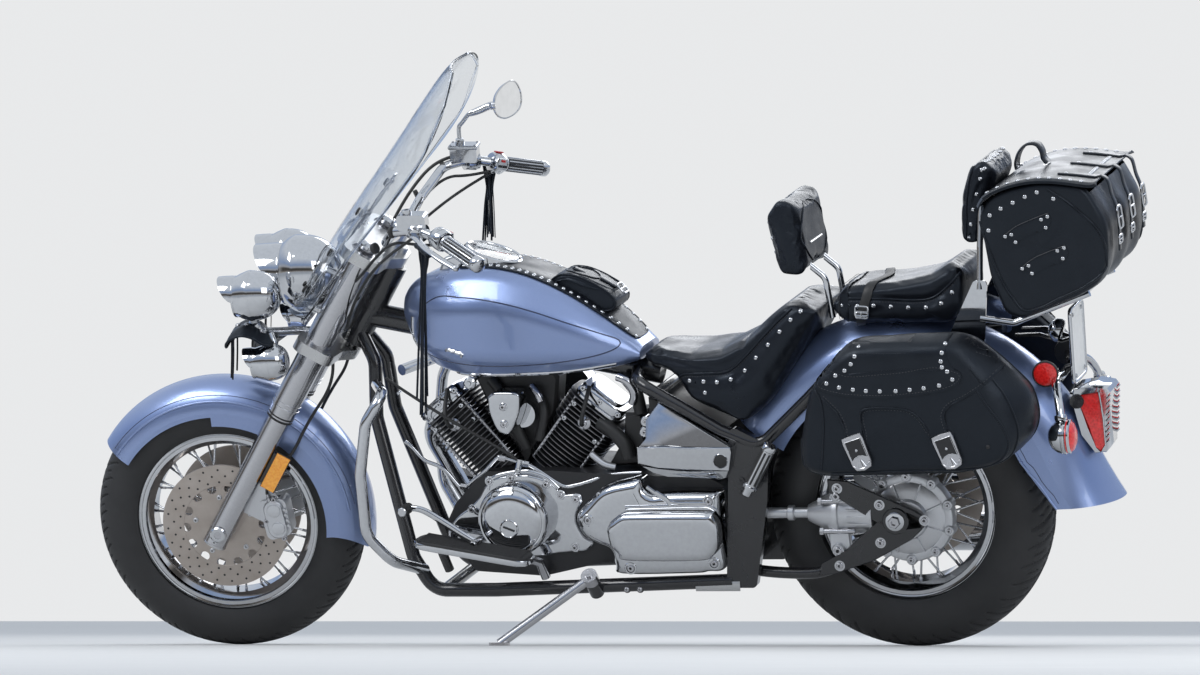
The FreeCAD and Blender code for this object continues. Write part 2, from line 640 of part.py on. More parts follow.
def build_tank():
    # straddles the backbone
    slope = (backbone_start.z - backbone_end.z) / (backbone_start.x - backbone_end.x)
    clear = dim.backbone_radius + 10
    roof = [(x, backbone_end.z + slope * (x - backbone_end.x) + clear) for x in (-560, -1200)]
    tunnel = side_slab([(-1200, 560), (-560, 560)] + roof, 0, -clear, clear)
    shape = tank_body(0).cut(tunnel)
    return add_node("fuel_tank", shape)


def build_console(tank):
    body = side_slab([(-1072, 880), (-1050, 925), (-1012, 938), (-893, 898), (-812, 874), (-762, 846),
                      (-770, 820), (-900, 850), (-1060, 850)], 12, -44, 44)
    body = softened(body, 10, flat_at(44))
    body = softened(body, 10, flat_at(-44))
    dial_up = Vector(0.35, 0, 0.937)
    dial = rod(Vector(-957, 0, 885), Vector(-957, 0, 885) + dial_up * 46, 66)
    shape = fused([body, dial]).cut(tank)
    return add_node("tank_console", largest(shape))


def build_bib(tank, console):
    region = side_slab([(-1022, 860), (-1022, 1000), (-592, 1000), (-592, 700), (-660, 724), (-860, 800)],
                       0, -80, 80)
    bib = tank_body(4).common(region).cut(tank).cut(console)
    bib = largest(bib)
    pouch = side_slab([(-795, 800), (-795, 868), (-770, 884), (-700, 866), (-640, 826), (-646, 780)],
                      14, -58, 58)
    pouch = pouch.cut(tank_body(4)).cut(console)
    add_node("tank_bib", Part.makeCompound([bib, largest(pouch)]))


# Fenders: an arched section turned or lofted round the axle
def arch(axle, angle, crown, half, skirt, sheet, swell=0):
    # closed arch section in the plane that holds the axle, at an angle from the rear
    out = Vector(math.cos(angle), 0, math.sin(angle))
    knee = crown - half * 0.85 + swell

    def at(radius, y):
        return axle + out * radius + axis_y * y

    outer = [Part.LineSegment(at(skirt, -half), at(knee, -half)).toShape(),
             Part.Arc(at(knee, -half), at(crown, 0), at(knee, half)).toShape(),
             Part.LineSegment(at(knee, half), at(skirt, half)).toShape()]
    inner_half = half - sheet
    inner = [Part.LineSegment(at(skirt, half), at(skirt, inner_half)).toShape(),
             Part.LineSegment(at(skirt, inner_half), at(knee, inner_half)).toShape(),
             Part.Arc(at(knee, inner_half), at(crown - sheet, 0), at(knee, -inner_half)).toShape(),
             Part.LineSegment(at(knee, -inner_half), at(skirt, -inner_half)).toShape(),
             Part.LineSegment(at(skirt, -inner_half), at(skirt, -half)).toShape()]
    return Part.Wire(outer + inner)


def arch_turn(axle, start, end, crown, half, skirt, sheet):
    face = Part.Face(arch(axle, math.radians(start), crown, half, skirt, sheet))
    return face.revolve(axle, axis_y * -1, end - start)


def build_front_fender():
    crown = dim.front_tyre_radius + 25
    half = dim.front_fender_half
    shape = arch_turn(front_axle, -14, 143, crown, half, 244, dim.fender_sheet)
    notch = rod(front_axle + Vector(0, -200, 0), front_axle + Vector(0, 200, 0), 266)
    keep_low = Part.makeBox(260, 400, 150, front_axle + Vector(-260, -200, 150))
    tail = Part.makeCylinder(90, 400, front_axle + Vector(250, -200, -130), axis_y)
    bosses = []
    for side in sides:
        leg_x = front_axle.x + steer_up.x * 284
        leg_z = front_axle.z + steer_up.z * 284
        bosses.append(rod(Vector(leg_x, side * (half - 4), leg_z),
                          Vector(leg_x, side * (dim.leg_y - dim.slider_radius - dim.seat_gap), leg_z), 16))
    lobes = largest(shape.cut(notch.common(keep_low)).cut(tail))
    return add_node("front_fender", fused([lobes] + bosses), steered=True)


def rear_fender_shape(extra):
    crown = 444 + extra
    half = dim.rear_fender_half + extra
    sheet = dim.fender_sheet + (0 if extra == 0 else 60)
    main = arch_turn(rear_axle, 22, 150, crown, half, 300, sheet)
    flare = [(22, 444, 300, 0), (12, 454, 318, 2), (2, 486, 352, 8)]
    wires = [arch(rear_axle, math.radians(angle), radius + extra, half + widen, skirt, sheet)
             for angle, radius, skirt, widen in flare]
    return fused([main, Part.makeLoft(wires, True, False)])


def build_rear_fender():
    return add_node("rear_fender", rear_fender_shape(0))


# Seats, cut to sit on the tank, the frame and the fender
def build_seats(frame):
    outline = [(-596, 690), (-590, 716), (-520, 706), (-460, 700), (-385, 708), (-325, 735),
               (-262, 786), (-219, 817), (-165, 812), (-140, 806), (-196, 714), (-273, 602),
               (-336, 544), (-391, 572), (-459, 608), (-512, 663)]
    rider = side_slab(outline, [10, 16, 60, 60, 60, 60, 40, 30, 14, 10, 30, 40, 30, 60, 40, 10],
                      -dim.seat_half, dim.seat_half)
    for y in (-dim.seat_half, dim.seat_half):
        rider = softened(rider, 12, flat_at(y))
    nose = Part.Face(rounded([Vector(-640, 0, 500), Vector(-560, 100, 500), Vector(-420, 160, 500),
                              Vector(-100, 160, 500), Vector(-100, -160, 500), Vector(-420, -160, 500),
                              Vector(-560, -100, 500)], 60)).extrude(axis_z * 400)
    rider = rider.common(nose)
    under = fender_envelope()
    rider = largest(rider.cut(under).cut(tank_body(4.3)).cut(frame))
    add_node("rider_seat", rider)
    pillion = side_slab([(-132, 790), (-134, 812), (-96, 842), (20, 848), (100, 862), (150, 892),
                         (176, 896), (178, 800), (150, 764), (-90, 764)],
                        [10, 16, 30, 60, 60, 30, 12, 30, 20, 20], -dim.pillion_half, dim.pillion_half)
    for y in (-dim.pillion_half, dim.pillion_half):
        pillion = softened(pillion, 12, flat_at(y))
    pillion = largest(pillion.cut(under).cut(rider))
    add_node("passenger_seat", pillion)
    return rider, pillion


def fender_envelope():
    crown = 444 + dim.seat_gap
    half = dim.rear_fender_half + dim.seat_gap
    face = Part.Face(Part.Wire(arch_outline(rear_axle, math.radians(22), crown, half, 150)))
    return face.revolve(rear_axle, axis_y * -1, 128)


def arch_outline(axle, angle, crown, half, skirt):
    out = Vector(math.cos(angle), 0, math.sin(angle))
    knee = crown - half * 0.85
    corners = [axle + out * skirt - axis_y * half, axle + out * knee - axis_y * half,
               axle + out * knee + axis_y * half, axle + out * skirt + axis_y * half]
    return [Part.LineSegment(corners[0], corners[1]).toShape(),
            Part.Arc(corners[1], axle + out * crown, corners[2]).toShape(),
            Part.LineSegment(corners[2], corners[3]).toShape(),
            Part.LineSegment(corners[3], corners[0]).toShape()]


# Backrests and the bracket that carries them and the trunk
def build_sissy_bar():
    plates = []
    inner = dim.rear_fender_half + 2
    for side in sides:
        plates.append(side_slab([(150, 690), (222, 690), (222, 720), (236, 860), (206, 860), (146, 745)],
                                10, side * (inner + 30), side * (inner + 24)))
        plates.append(rod(Vector(188, side * 124, 700), Vector(188, side * (inner + 25), 700), 11))
        plates.append(pipe([Vector(218, side * (inner + 27), 840), Vector(220, side * 120, 930),
                            Vector(226, side * 100, 1040)], 7, 40))
        plates.append(pipe([Vector(216, side * (inner + 27), 776), Vector(290, side * 140, 764),
                            Vector(332.5, side * 140, 779.6), Vector(460, side * 140, 826.2)], 7, 20))
    for x, z in [(332.5, 779.6), (442.5, 819.8)]:
        plates.append(rod(Vector(x, -140, z), Vector(x, 140, z), 6))
    return fused(plates)


def pad(outline, half, radius):
    shape = side_slab(outline, 18, -half, half)
    shape = softened(shape, radius, flat_at(-half))
    return softened(shape, radius, flat_at(half))


def build_backrests(frame, pillion, rider_seat):
    bar = build_sissy_bar().cut(frame).cut(pillion)
    rest = pad([(176, 935), (186, 1040), (206, 1108), (238, 1124), (262, 1096), (238, 1035), (214, 925)],
               112, 14)
    sissy = bar.cut(rest)
    add_node("passenger_backrest", rest)
    rider_rest = pad([(-238, 876), (-262, 1010), (-232, 1050), (-196, 1040), (-176, 870)], 120, 14)
    stay = []
    for side in sides:
        stay.append(pipe([Vector(-205, side * 60, 910), Vector(-148, side * 60, 860),
                          Vector(-137, side * 60, 770)], 7, 30))
    stay_shape = fused(stay).cut(rider_rest).cut(pillion).cut(rider_seat).cut(frame)
    add_node("rider_backrest", rider_rest)
    stays = [solid for solid in stay_shape.Solids if solid.Volume > 5000]
    add_node("sissy_bar", Part.makeCompound([largest(sissy)] + stays))
    return sissy, rest, rider_rest


# Trunk: hollow leather box with a lid hinged at its front top edge
trunk_outline = [(240, 1015), (262, 1052), (309, 1074), (375, 1087), (478, 1080), (521, 990),
                 (521, 914), (502, 860), (446, 829), (323, 784), (286, 796), (258, 880)]


def hollow_box(outline, corner, y_from, y_to, wall, edge_radius):
    outer = side_slab(outline, corner, y_from, y_to)
    for y in (y_from, y_to):
        outer = softened(outer, edge_radius, flat_at(y))
    face = Part.Face(rounded([Vector(x, 0, z) for x, z in outline], corner))
    inner_wire = face.makeOffset2D(-wall)
    step = wall if y_to > y_from else -wall
    inner = Part.Face(inner_wire.Wires[0]).extrude(Vector(0, y_to - y_from - 2 * step, 0))
    inner.translate(Vector(0, y_from + step, 0))
    for y in (y_from + step, y_to - step):
        inner = softened(inner, edge_radius - wall, flat_at(y))
    return outer, inner


def build_trunk(cutters):
    outer, inner = hollow_box(trunk_outline, 20, -dim.trunk_half, dim.trunk_half, dim.bag_wall, 22)
    shell = outer.cut(inner)
    normal = Vector(0.25, 0, 0.968)
    split = Vector(258, 0, 1040)
    lid = shell.common(half_space(split + normal * dim.lid_gap, normal))
    base = shell.cut(half_space(split, normal))
    for other in cutters:
        base = base.cut(other)
    add_node("trunk_bag", largest(base))
    add_node("trunk_lid", largest(lid))


# Saddlebags: hollow, each with a lid hinged along the top of its back
bag_outline = [(-160, 486), (-160, 545), (-136, 654), (-108, 690), (-39, 767), (215, 773), (298, 702),
               (364, 613), (353, 548), (295, 494), (195, 473), (-120, 468)]


def build_saddlebags(cutters):
    for side, name in zip(sides, ("left", "right")):
        outer, inner = hollow_box(bag_outline, 26, side * dim.bag_inner_y, side * dim.bag_outer_y,
                                  dim.bag_wall, 20)
        shell = outer.cut(inner)
        normal = Vector(0, side * 0.48, 0.877)
        split = Vector(0, side * dim.bag_inner_y, 752)
        lid_room = half_space(split + normal * dim.lid_gap, normal)
        lid_room = lid_room.common(Part.makeBox(700, 1200, 900, Vector(-470, -600, 300)))
        base_room = half_space(split, normal)
        base_room = base_room.common(Part.makeBox(701, 1200, 900, Vector(-470, -600, 300)))
        lid = largest(shell.common(lid_room))
        base = largest(shell.cut(base_room))
        for other in cutters:
            base = base.cut(other)
        add_node("saddlebag_" + name, largest(base))
        add_node("saddlebag_lid_" + name, lid)


def build_bag_stays(frame, sissy):
    stays = []
    back = dim.bag_inner_y - dim.seat_gap
    for side in sides:
        feet = []
        for x, z in [(-70, 673), (160, 696)]:
            start = Vector(x, side * 124, z)
            feet.append(rod(start, Vector(x, side * back, z), 8))
            feet.append(rod(Vector(x, side * (back - 5), z), Vector(x, side * back, z), 20))
        feet.append(rod(Vector(-70, side * (back - 18), 673), Vector(160, side * (back - 18), 696), 7))
        stays.append(fused(feet).cut(frame).cut(sissy))
    add_node("bag_stays", Part.makeCompound([largest(stay) for stay in stays]))


# Lamps at the back, plate and small fittings
def build_tail():
    lamp = side_slab([(392, 592), (438, 600), (471, 594), (462, 456), (434, 452), (404, 480)], 12, -58, 58)
    lamp = softened(lamp, 8, flat_at(-58))
    lamp = softened(lamp, 8, flat_at(58))
    lamp = lamp.cut(rear_fender_filled())
    plate_x, plate_top, plate_low = 405, 776, 612
    plate = side_slab([(plate_x, plate_top), (plate_x + 3, plate_top), (plate_x + 13, plate_low),
                       (plate_x + 10, plate_low)], 0, -98, 98)
    carrier = side_slab([(250, 640), (416, 640), (412, 700), (250, 720)], 6, -40, 40)
    carrier = carrier.cut(rear_fender_filled()).cut(plate)
    add_node("number_plate", fused([plate, largest(carrier)]))
    bar = rod(Vector(400, -205, 560), Vector(400, 205, 560), 8)
    lamps = []
    for side in sides:
        centre = Vector(405, side * 228, 542)
        bowl = rod(centre - axis_x * 34, centre + axis_x * 22, 24, 38)
        glass = rod(centre + axis_x * 22, centre + axis_x * 32, 38, 32)
        lamps.append(fused([bowl, glass]))
    shape = fused([bar] + lamps).cut(lamp).cut(rear_fender_filled())
    solids = [solid for solid in shape.Solids if solid.Volume > 20000]
    add_node("tail_lamp", Part.makeCompound([largest(lamp)] + solids))


def rear_fender_filled():
    crown = 444 + dim.seat_gap
    half = dim.rear_fender_half + dim.seat_gap
    turn = Part.Face(Part.Wire(arch_outline(rear_axle, math.radians(22), crown, half, 150)))
    main = turn.revolve(rear_axle, axis_y * -1, 128)
    flare = [(22, 444, 0), (12, 454, 2), (2, 486, 8)]
    wires = [Part.Wire(arch_outline(rear_axle, math.radians(angle), radius + dim.seat_gap,
                                    half + widen, 150))
             for angle, radius, widen in flare]
    return fused([main, Part.makeLoft(wires, True, False)])


# Side covers, floorboards, bars and pedals
def build_side_covers(frame):
    plates = []
    for side in sides:
        plate = side_slab([(-592, 470), (-586, 524), (-516, 598), (-360, 506), (-366, 430), (-522, 436)], 22,
                          side * (dim.cradle_y + dim.seat_rail_radius - 2), side * (dim.cradle_y + 38))
        plate = softened(plate, 10, flat_at(side * (dim.cradle_y + 38)))
        plates.append(plate.cut(frame))
    box = side_slab([(-566, 446), (-566, 606), (-486, 590), (-392, 530), (-392, 446)], 12,
                    -dim.cradle_y + dim.seat_rail_radius + dim.seat_gap,
                    dim.cradle_y - dim.seat_rail_radius - dim.seat_gap)
    add_node("side_covers", Part.makeCompound([largest(plate) for plate in plates + [box.cut(frame)]]))


def build_floorboards(frame, neighbours):
    boards = []
    for side in sides:
        top = side_slab([(-1110, 306), (-1106, 322), (-813, 282), (-811, 262)], 4,
                        side * dim.board_inner_y, side * dim.board_outer_y)
        stays = []
        for x, z in [(-1066, 296), (-860, 268)]:
            stays.append(pipe([Vector(x, side * (dim.board_inner_y + 30), z - 6),
                               Vector(x, side * 180, z - 8), Vector(x, side * 160, 190),
                               Vector(x, side * dim.cradle_y, 168)], 9, 20))
        board = fused([top] + stays).cut(frame)
        for other in neighbours:
            board = board.cut(other)
        boards.append(largest(board))
    return add_node("floorboards", Part.makeCompound(boards))


def build_highway_bars(frame):
    bars = []
    for side in sides:
        bar = pipe([Vector(-1224, side * 84, 640), Vector(-1150, side * 240, 652), Vector(-1190, side * 262, 590),
                    Vector(-1212, side * 268, 470), Vector(-1212, side * 264, 330),
                    Vector(-1165, side * 240, 262), Vector(-1132, side * 122, 212)], 13, 60)
        bars.append(largest(bar.cut(frame)))
    add_node("highway_bars", Part.makeCompound(bars))


def build_side_stand():
    foot_pad = moved(Part.makeCylinder(24, 7, stand_foot_floor), lean_only.inverse())
    leg = rod(stand_pivot, stand_ankle, dim.stand_radius)
    leg = leg.cut(moved(half_space(origin, axis_z * -1), lean_only.inverse()))
    eye = rod(stand_pivot - stand_axis * stand_eye_half, stand_pivot + stand_axis * stand_eye_half, 19)
    pin = rod(stand_pivot - stand_axis * 38, stand_pivot + stand_axis * (stand_eye_half + 6), stand_pin_radius)
    add_node("side_stand", fused([leg, eye, pin, foot_pad]))


# Fork furniture
headlamp_z = 898
headlamp_radius = 88
lamp_bar_z = 790


def build_lamps(yokes):
    lamp_x, lamp_z, lamp_radius = -1395, headlamp_z, headlamp_radius
    bowl = rod(Vector(lamp_x - 24, 0, lamp_z), Vector(lamp_x + 20, 0, lamp_z), lamp_radius)
    back = rod(Vector(lamp_x + 20, 0, lamp_z), Vector(lamp_x + 84, 0, lamp_z), lamp_radius, 44)
    glass = rod(Vector(lamp_x - 24, 0, lamp_z), Vector(lamp_x - 36, 0, lamp_z),
                lamp_radius - 6, lamp_radius - 30)
    mount = side_slab([(-1392, 780), (-1350, 760), (-1330, 775), (-1350, 830), (-1392, 830)], 6, -14, 14)
    add_node("headlamp", largest(fused([bowl, back, glass, mount]).cut(yokes)), steered=True)
    bar = pipe([Vector(-1418, -190, lamp_bar_z), Vector(-1424, 0, lamp_bar_z),
                Vector(-1418, 190, lamp_bar_z)], 13, 200)
    spots = []
    indicators = []
    for side in sides:
        y = side * 185
        centre = Vector(-1462, y, 900)
        spot = fused([rod(centre - axis_x * 28, centre + axis_x * 14, 56),
                      rod(centre + axis_x * 14, centre + axis_x * 50, 56, 26),
                      rod(centre - axis_x * 28, centre - axis_x * 36, 52, 40),
                      rod(Vector(-1424, y, lamp_bar_z), Vector(-1448, y, 860), 9)])
        spots.append(spot)
        low = Vector(-1450, side * 190, 742)
        indicators.append(fused([rod(low - axis_x * 16, low + axis_x * 10, 41),
                                 rod(low + axis_x * 10, low + axis_x * 36, 41, 20),
                                 rod(low - axis_x * 16, low - axis_x * 26, 37, 26),
                                 rod(Vector(-1440, side * 190, 765), Vector(-1422, side * 190, lamp_bar_z), 8)]))
    arms = []
    for side in sides:
        arms.append(rod(Vector(-1420, side * 70, lamp_bar_z), Vector(-1340, side * 70, 765), 10))
    horn = rod(Vector(-1478, -50, 694), Vector(-1440, -50, 700), 44, 40)
    horn_neck = rod(Vector(-1440, -50, 700), Vector(-1400, -68, 784), 9)
    add_node("lamp_bar", largest(fused([bar, horn, horn_neck] + arms + spots + indicators).cut(yokes)),
             steered=True)


def build_windshield():
    # columns: x on the centre line, z, share of the half width, sweep back at the edge
    rows = [(-1446, 830, 0.63, 70), (-1336, 965, 0.80, 76), (-1248, 1075, 0.95, 92),
            (-1138, 1209, 1.0, 98), (-1044, 1325, 0.78, 62), (-1000, 1368, 0.42, 20)]
    wires = []
    for x, z, share, sweep in rows:
        half = dim.screen_half * share
        front = Part.Arc(Vector(x + sweep, -half, z), Vector(x, 0, z), Vector(x + sweep, half, z)).toShape()
        back_x = x + dim.screen_sheet * 1.3
        back = Part.Arc(Vector(back_x + sweep, half, z), Vector(back_x, 0, z),
                        Vector(back_x + sweep, -half, z)).toShape()
        ends = [Part.LineSegment(Vector(x + sweep, half, z), Vector(back_x + sweep, half, z)).toShape(),
                Part.LineSegment(Vector(back_x + sweep, -half, z), Vector(x + sweep, -half, z)).toShape()]
        wires.append(Part.Wire([front, ends[0], back, ends[1]]))
    sheet_shape = Part.makeLoft(wires, True, False)
    notch = rod(Vector(-1600, 0, headlamp_z), Vector(-1200, 0, headlamp_z), headlamp_radius + 10)
    low_notch = Part.makeBox(400, 2 * 70, 80, Vector(-1600, -70, 790))
    sheet_shape = largest(sheet_shape.cut(notch).cut(low_notch))
    add_node("windshield", sheet_shape, steered=True)
    return sheet_shape


def reach(start, direction, target):
    # distance along a line from its start to where it meets the target
    line = Part.makeLine(start, start + direction * 600)
    return min((vertex.Point - start).Length for vertex in line.common(target).Vertexes)


def build_windshield_brackets(screen, legs):
    struts = []
    for side in sides:
        forward = Vector(-0.757, side * 0.345, 0.553).normalize()
        for station in (600, 700):
            start = front_axle + steer_up * station + axis_y * side * dim.leg_y
            length = reach(start, forward, screen)
            strut = rod(start, start + forward * length, 7)
            while strut.distToShape(screen)[0] < dim.seat_gap / 2:
                length -= dim.seat_gap
                strut = rod(start, start + forward * length, 7)
            struts.append(strut)
    shape = fused(struts).cut(legs)
    add_node("windshield_brackets", shape, steered=True)


def build_handlebar():
    clamp = fork_frame.multVec(Vector(clamp_back, 0, top_yoke_station + dim.yoke_thickness + clamp_rise))
    half_path = [(clamp.x, 70, clamp.z), (clamp.x + 4, 200, clamp.z + 18), (-1112, 300, 1058),
                 (-1050, 325, 1066), (-990, 350, 1046), (-897, 432, 1006)]
    left = [Vector(x, -y, z) for x, y, z in reversed(half_path)]
    right = [Vector(x, y, z) for x, y, z in half_path]
    bar = pipe(left + right, dim.bar_radius, 45)
    add_node("handlebar", bar, steered=True)
    grips = []
    for side in sides:
        inner = Vector(-990, side * 350, 1046)
        outer = Vector(-897, side * 432, 1006)
        along = (outer - inner).normalize()
        grips.append(rod(inner + along * 12, outer + along * 6, dim.grip_radius))
    add_node("hand_grips", Part.makeCompound([grip.cut(bar) for grip in grips]), steered=True)
    return bar


# Each perch has a threaded boss for a mirror; the left one is empty
mirror_hole_radius = 5
mirror_hole_depth = 20


def mirror_hole_top(side):
    return Vector(-1070, side * 318, 1112)


def build_controls(bar):
    housings = []
    for side in sides:
        inner = Vector(-990, side * 350, 1046)
        outer = Vector(-897, side * 432, 1006)
        along = (outer - inner).normalize()
        switch_box = rod(inner - along * 20, inner + along * 11.7, 23)
        perch = rod(Vector(-1064, side * 312, 1064), Vector(-1034, side * 332, 1060), 20)
        reservoir = side_slab([(-1092, 1068), (-1092, 1104), (-1028, 1100), (-1028, 1064)], 8,
                              side * 292, side * 334)
        lever = pipe([Vector(-1052, side * 345, 1062), Vector(-1030, side * 392, 1048),
                      Vector(-968, side * 452, 1020), Vector(-940, side * 470, 1012)], 6, 30)
        pivot = rod(Vector(-1046, side * 322, 1062), Vector(-1050, side * 352, 1062), 12)
        top = mirror_hole_top(side)
        boss = rod(top - axis_z * 30, top, 11)
        housing = fused([switch_box, perch, reservoir, pivot, lever, boss]).cut(bar)
        housings.append(housing.cut(rod(top - axis_z * mirror_hole_depth, top, mirror_hole_radius)))
    shape = Part.makeCompound([largest(housing) for housing in housings])
    add_node("hand_controls", shape, steered=True)
    centre = Vector(-955, 376, 1192)
    face = Part.Ellipse(centre + axis_y * 62, centre + axis_z * 48, centre)
    head = Part.Face(Part.Wire([face.toShape()])).extrude(axis_x * -18)
    head = softened(head, 7, lambda edge: edge.BoundBox.XMax < centre.x - 17)
    foot = mirror_hole_top(1)
    stalk = pipe([foot - axis_z * (mirror_hole_depth - dim.seat_gap), foot + axis_z * 12,
                  Vector(-1062, 336, 1144), Vector(-1000, 360, 1196), centre - axis_x * 12],
                 mirror_hole_radius - dim.seat_gap, 30)
    shape = fused([stalk, head]).cut(housings[1]).cut(bar)
    add_node("mirror", largest(shape), steered=True)


# Brake calipers straddle their discs and are bolted to what carries the wheel
def caliper(axle, angle, disc_radius, disc_y, room, width):
    out = Vector(math.cos(angle), 0, math.sin(angle))
    up = Vector(-math.sin(angle), 0, math.cos(angle))
    centre = axle + out * (disc_radius - 14)
    corners = [centre + out * a + up * b - axis_y * width / 2
               for a, b in [(-34, -50), (26, -44), (30, 44), (-34, 50)]]
    body = Part.Face(rounded([c + axis_y * disc_y for c in corners], 14)).extrude(axis_y * width)
    slot = Part.makeCylinder(disc_radius + 7, 2 * room, axle + axis_y * (disc_y - room), axis_y)
    return body.cut(slot)


def build_front_calipers(legs):
    pieces = []
    room = dim.disc_thickness / 2 + 5
    for side in sides:
        body = caliper(front_axle, math.radians(8), dim.front_disc_radius, side * dim.front_disc_y, room, 52)
        leg_at = front_axle + steer_up * 150
        low = front_axle + steer_up * 60
        bracket = side_slab([(low.x, low.z), (leg_at.x, leg_at.z), (front_axle.x + 150, front_axle.z + 56),
                             (front_axle.x + 150, front_axle.z - 20)], 10,
                            side * (dim.front_disc_y + room + 2), side * (dim.front_disc_y + room + 14))
        pieces.append(largest(fused([body, bracket]).cut(legs)))
    add_node("front_calipers", Part.makeCompound(pieces), steered=True)


def build_rear_caliper(swingarm):
    room = dim.disc_thickness / 2 + 4
    body = caliper(rear_axle, math.radians(150), dim.rear_disc_radius, dim.rear_disc_y, room, 44)
    shape = largest(body.cut(swingarm))
    add_node("rear_caliper", shape)


# Pedals and pegs
def build_foot_pieces(neighbours):
    shifter = pipe([Vector(-1150, -205, 366), Vector(-1060, -205, 342), Vector(-965, -205, 312),
                    Vector(-812, -205, 292)], 7, 60)
    pivot = rod(Vector(-965, -205, 312), Vector(-965, -120, 312), 9)
    toe = rod(Vector(-1150, -240, 366), Vector(-1150, -190, 366), 12)
    heel = rod(Vector(-812, -236, 292), Vector(-812, -196, 292), 12)
    brake = pipe([Vector(-1150, 222, 350), Vector(-1080, 212, 338), Vector(-1010, 206, 300),
                  Vector(-1000, 150, 236), Vector(-1000, 128, 176)], 7, 24)
    tread = side_slab([(-1184, 352), (-1178, 366), (-1120, 350), (-1126, 336)], 4, 200, 262)
    pieces = [fused([shifter, pivot, toe, heel]), fused([brake, tread])]
    for side in sides:
        hinge = rod(Vector(-336, side * dim.cradle_y, 400), Vector(-336, side * 178, 400), 13)
        peg = rod(Vector(-336, side * 172, 398), Vector(-292, side * 176, 494), 12, 14)
        pieces.append(fused([hinge, peg]))
    kept = []
    for piece in pieces:
        for other in neighbours:
            piece = piece.cut(other)
        kept.append(largest(piece))
    add_node("foot_controls", Part.makeCompound(kept))


build_front_wheel()
build_rear_wheel()
bar_shape = build_handlebar()
fork_shape, yoke_shape = build_fork(bar_shape)
frame_shape = build_frame()
crankcase, front_cylinder, rear_cylinder, front_cover, rear_cover = build_engine()
left_covers, right_covers = build_engine_covers()
build_vee_cover(front_cylinder, rear_cylinder)
build_air_cleaner(front_cylinder, rear_cylinder, [front_cover, rear_cover])
exhaust_shape = build_exhaust([front_cylinder, rear_cylinder, front_cover, rear_cover, frame_shape,
                               right_covers])
swingarm_shape = build_swingarm()
build_final_drive(swingarm_shape, frame_shape)
tank_shape = build_tank()
console_shape = build_console(tank_shape)
build_bib(tank_shape, console_shape)
build_front_fender()
build_rear_fender()
rider_seat, pillion_seat = build_seats(frame_shape)
sissy_shape, rest_shape, rider_rest = build_backrests(frame_shape, pillion_seat, rider_seat)
build_trunk([sissy_shape, rest_shape])
build_saddlebags([sissy_shape, frame_shape])
build_bag_stays(frame_shape, sissy_shape)
build_tail()
build_side_covers(frame_shape)
boards_shape = build_floorboards(frame_shape, [left_covers, right_covers, exhaust_shape])
build_highway_bars(frame_shape)
build_side_stand()
build_lamps(yoke_shape)
screen_shape = build_windshield()
build_windshield_brackets(screen_shape, fork_shape)
build_controls(bar_shape)
build_front_calipers(fork_shape)
build_rear_caliper(swingarm_shape)
build_foot_pieces([left_covers, right_covers, crankcase, frame_shape, boards_shape, exhaust_shape])

doc.recompute()
faults = []
for item in doc.Objects:
    if "Invalid" in item.State or "Error" in item.State:
        faults.append(item.Name + " failed")
for item in nodes:
    if item.Shape.isNull() or not item.Shape.isValid() or item.Shape.Volume <= 0:
        faults.append(item.Label + " has no valid solid")
if faults:
    raise RuntimeError("; ".join(faults))

whole = FreeCAD.BoundBox()
for item in nodes:
    whole.add(item.Shape.optimalBoundingBox(True, False))
    item.Shape.exportStep("parts/%s.step" % item.Label)
print("outer box %.0f x %.0f x %.0f mm, middle %.1f, %.1f, floor %.1f" % (
    whole.XLength, whole.YLength, whole.ZLength, whole.Center.x, whole.Center.y, whole.ZMin))
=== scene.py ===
import random
from math import acos, copysign, cos, pi, radians, sin, sqrt

import bmesh
import bpy
from mathutils import Matrix, Vector, noise
from mathutils.bvhtree import BVHTree
from mathutils.kdtree import KDTree


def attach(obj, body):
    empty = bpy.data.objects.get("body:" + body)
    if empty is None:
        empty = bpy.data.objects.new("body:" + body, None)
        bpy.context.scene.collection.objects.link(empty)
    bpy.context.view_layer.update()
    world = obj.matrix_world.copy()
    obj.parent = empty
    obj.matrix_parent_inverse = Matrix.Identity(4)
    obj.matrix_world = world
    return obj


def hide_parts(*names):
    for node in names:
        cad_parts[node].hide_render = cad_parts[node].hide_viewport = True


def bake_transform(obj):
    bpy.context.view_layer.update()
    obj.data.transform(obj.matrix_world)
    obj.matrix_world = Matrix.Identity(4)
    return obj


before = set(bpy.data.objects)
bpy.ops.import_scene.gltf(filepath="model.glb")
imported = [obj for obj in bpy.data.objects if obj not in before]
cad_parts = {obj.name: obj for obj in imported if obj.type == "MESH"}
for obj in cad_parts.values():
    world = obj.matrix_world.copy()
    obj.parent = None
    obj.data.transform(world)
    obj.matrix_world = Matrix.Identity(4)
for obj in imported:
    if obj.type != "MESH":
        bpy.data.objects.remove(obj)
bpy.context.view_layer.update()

# The machine's own upright frame, in millimetres: x to the tail from the rear axle, y to the rider's right,
# z up
stance = {"shift": (0.7209, 0.215, 0), "lean": 15, "turn": 9.5, "rake": 33, "steerFoot": (-1777, 0, 0)}
millimetre = Matrix.Scale(0.001, 4)
leaning = (Matrix.Translation(stance["shift"]) @ Matrix.Rotation(radians(stance["lean"]), 4, "X")
           @ millimetre)
steerUp = Vector((sin(radians(stance["rake"])), 0, cos(radians(stance["rake"]))))
steerFoot = Vector(stance["steerFoot"])
steering = (leaning @ Matrix.Translation(steerFoot)
            @ Matrix.Rotation(radians(stance["turn"]), 4, steerUp) @ Matrix.Translation(-steerFoot))
frontAxle = Vector((-1645.9, 0, 318.65))
rearAxle = Vector((0, 0, 328.9))
sides = (-1, 1)
toLeft, toRight, toSky, toGround, toTail = (0, -1, 0), (0, 1, 0), (0, 0, 1), (0, 0, -1), (1, 0, 0)


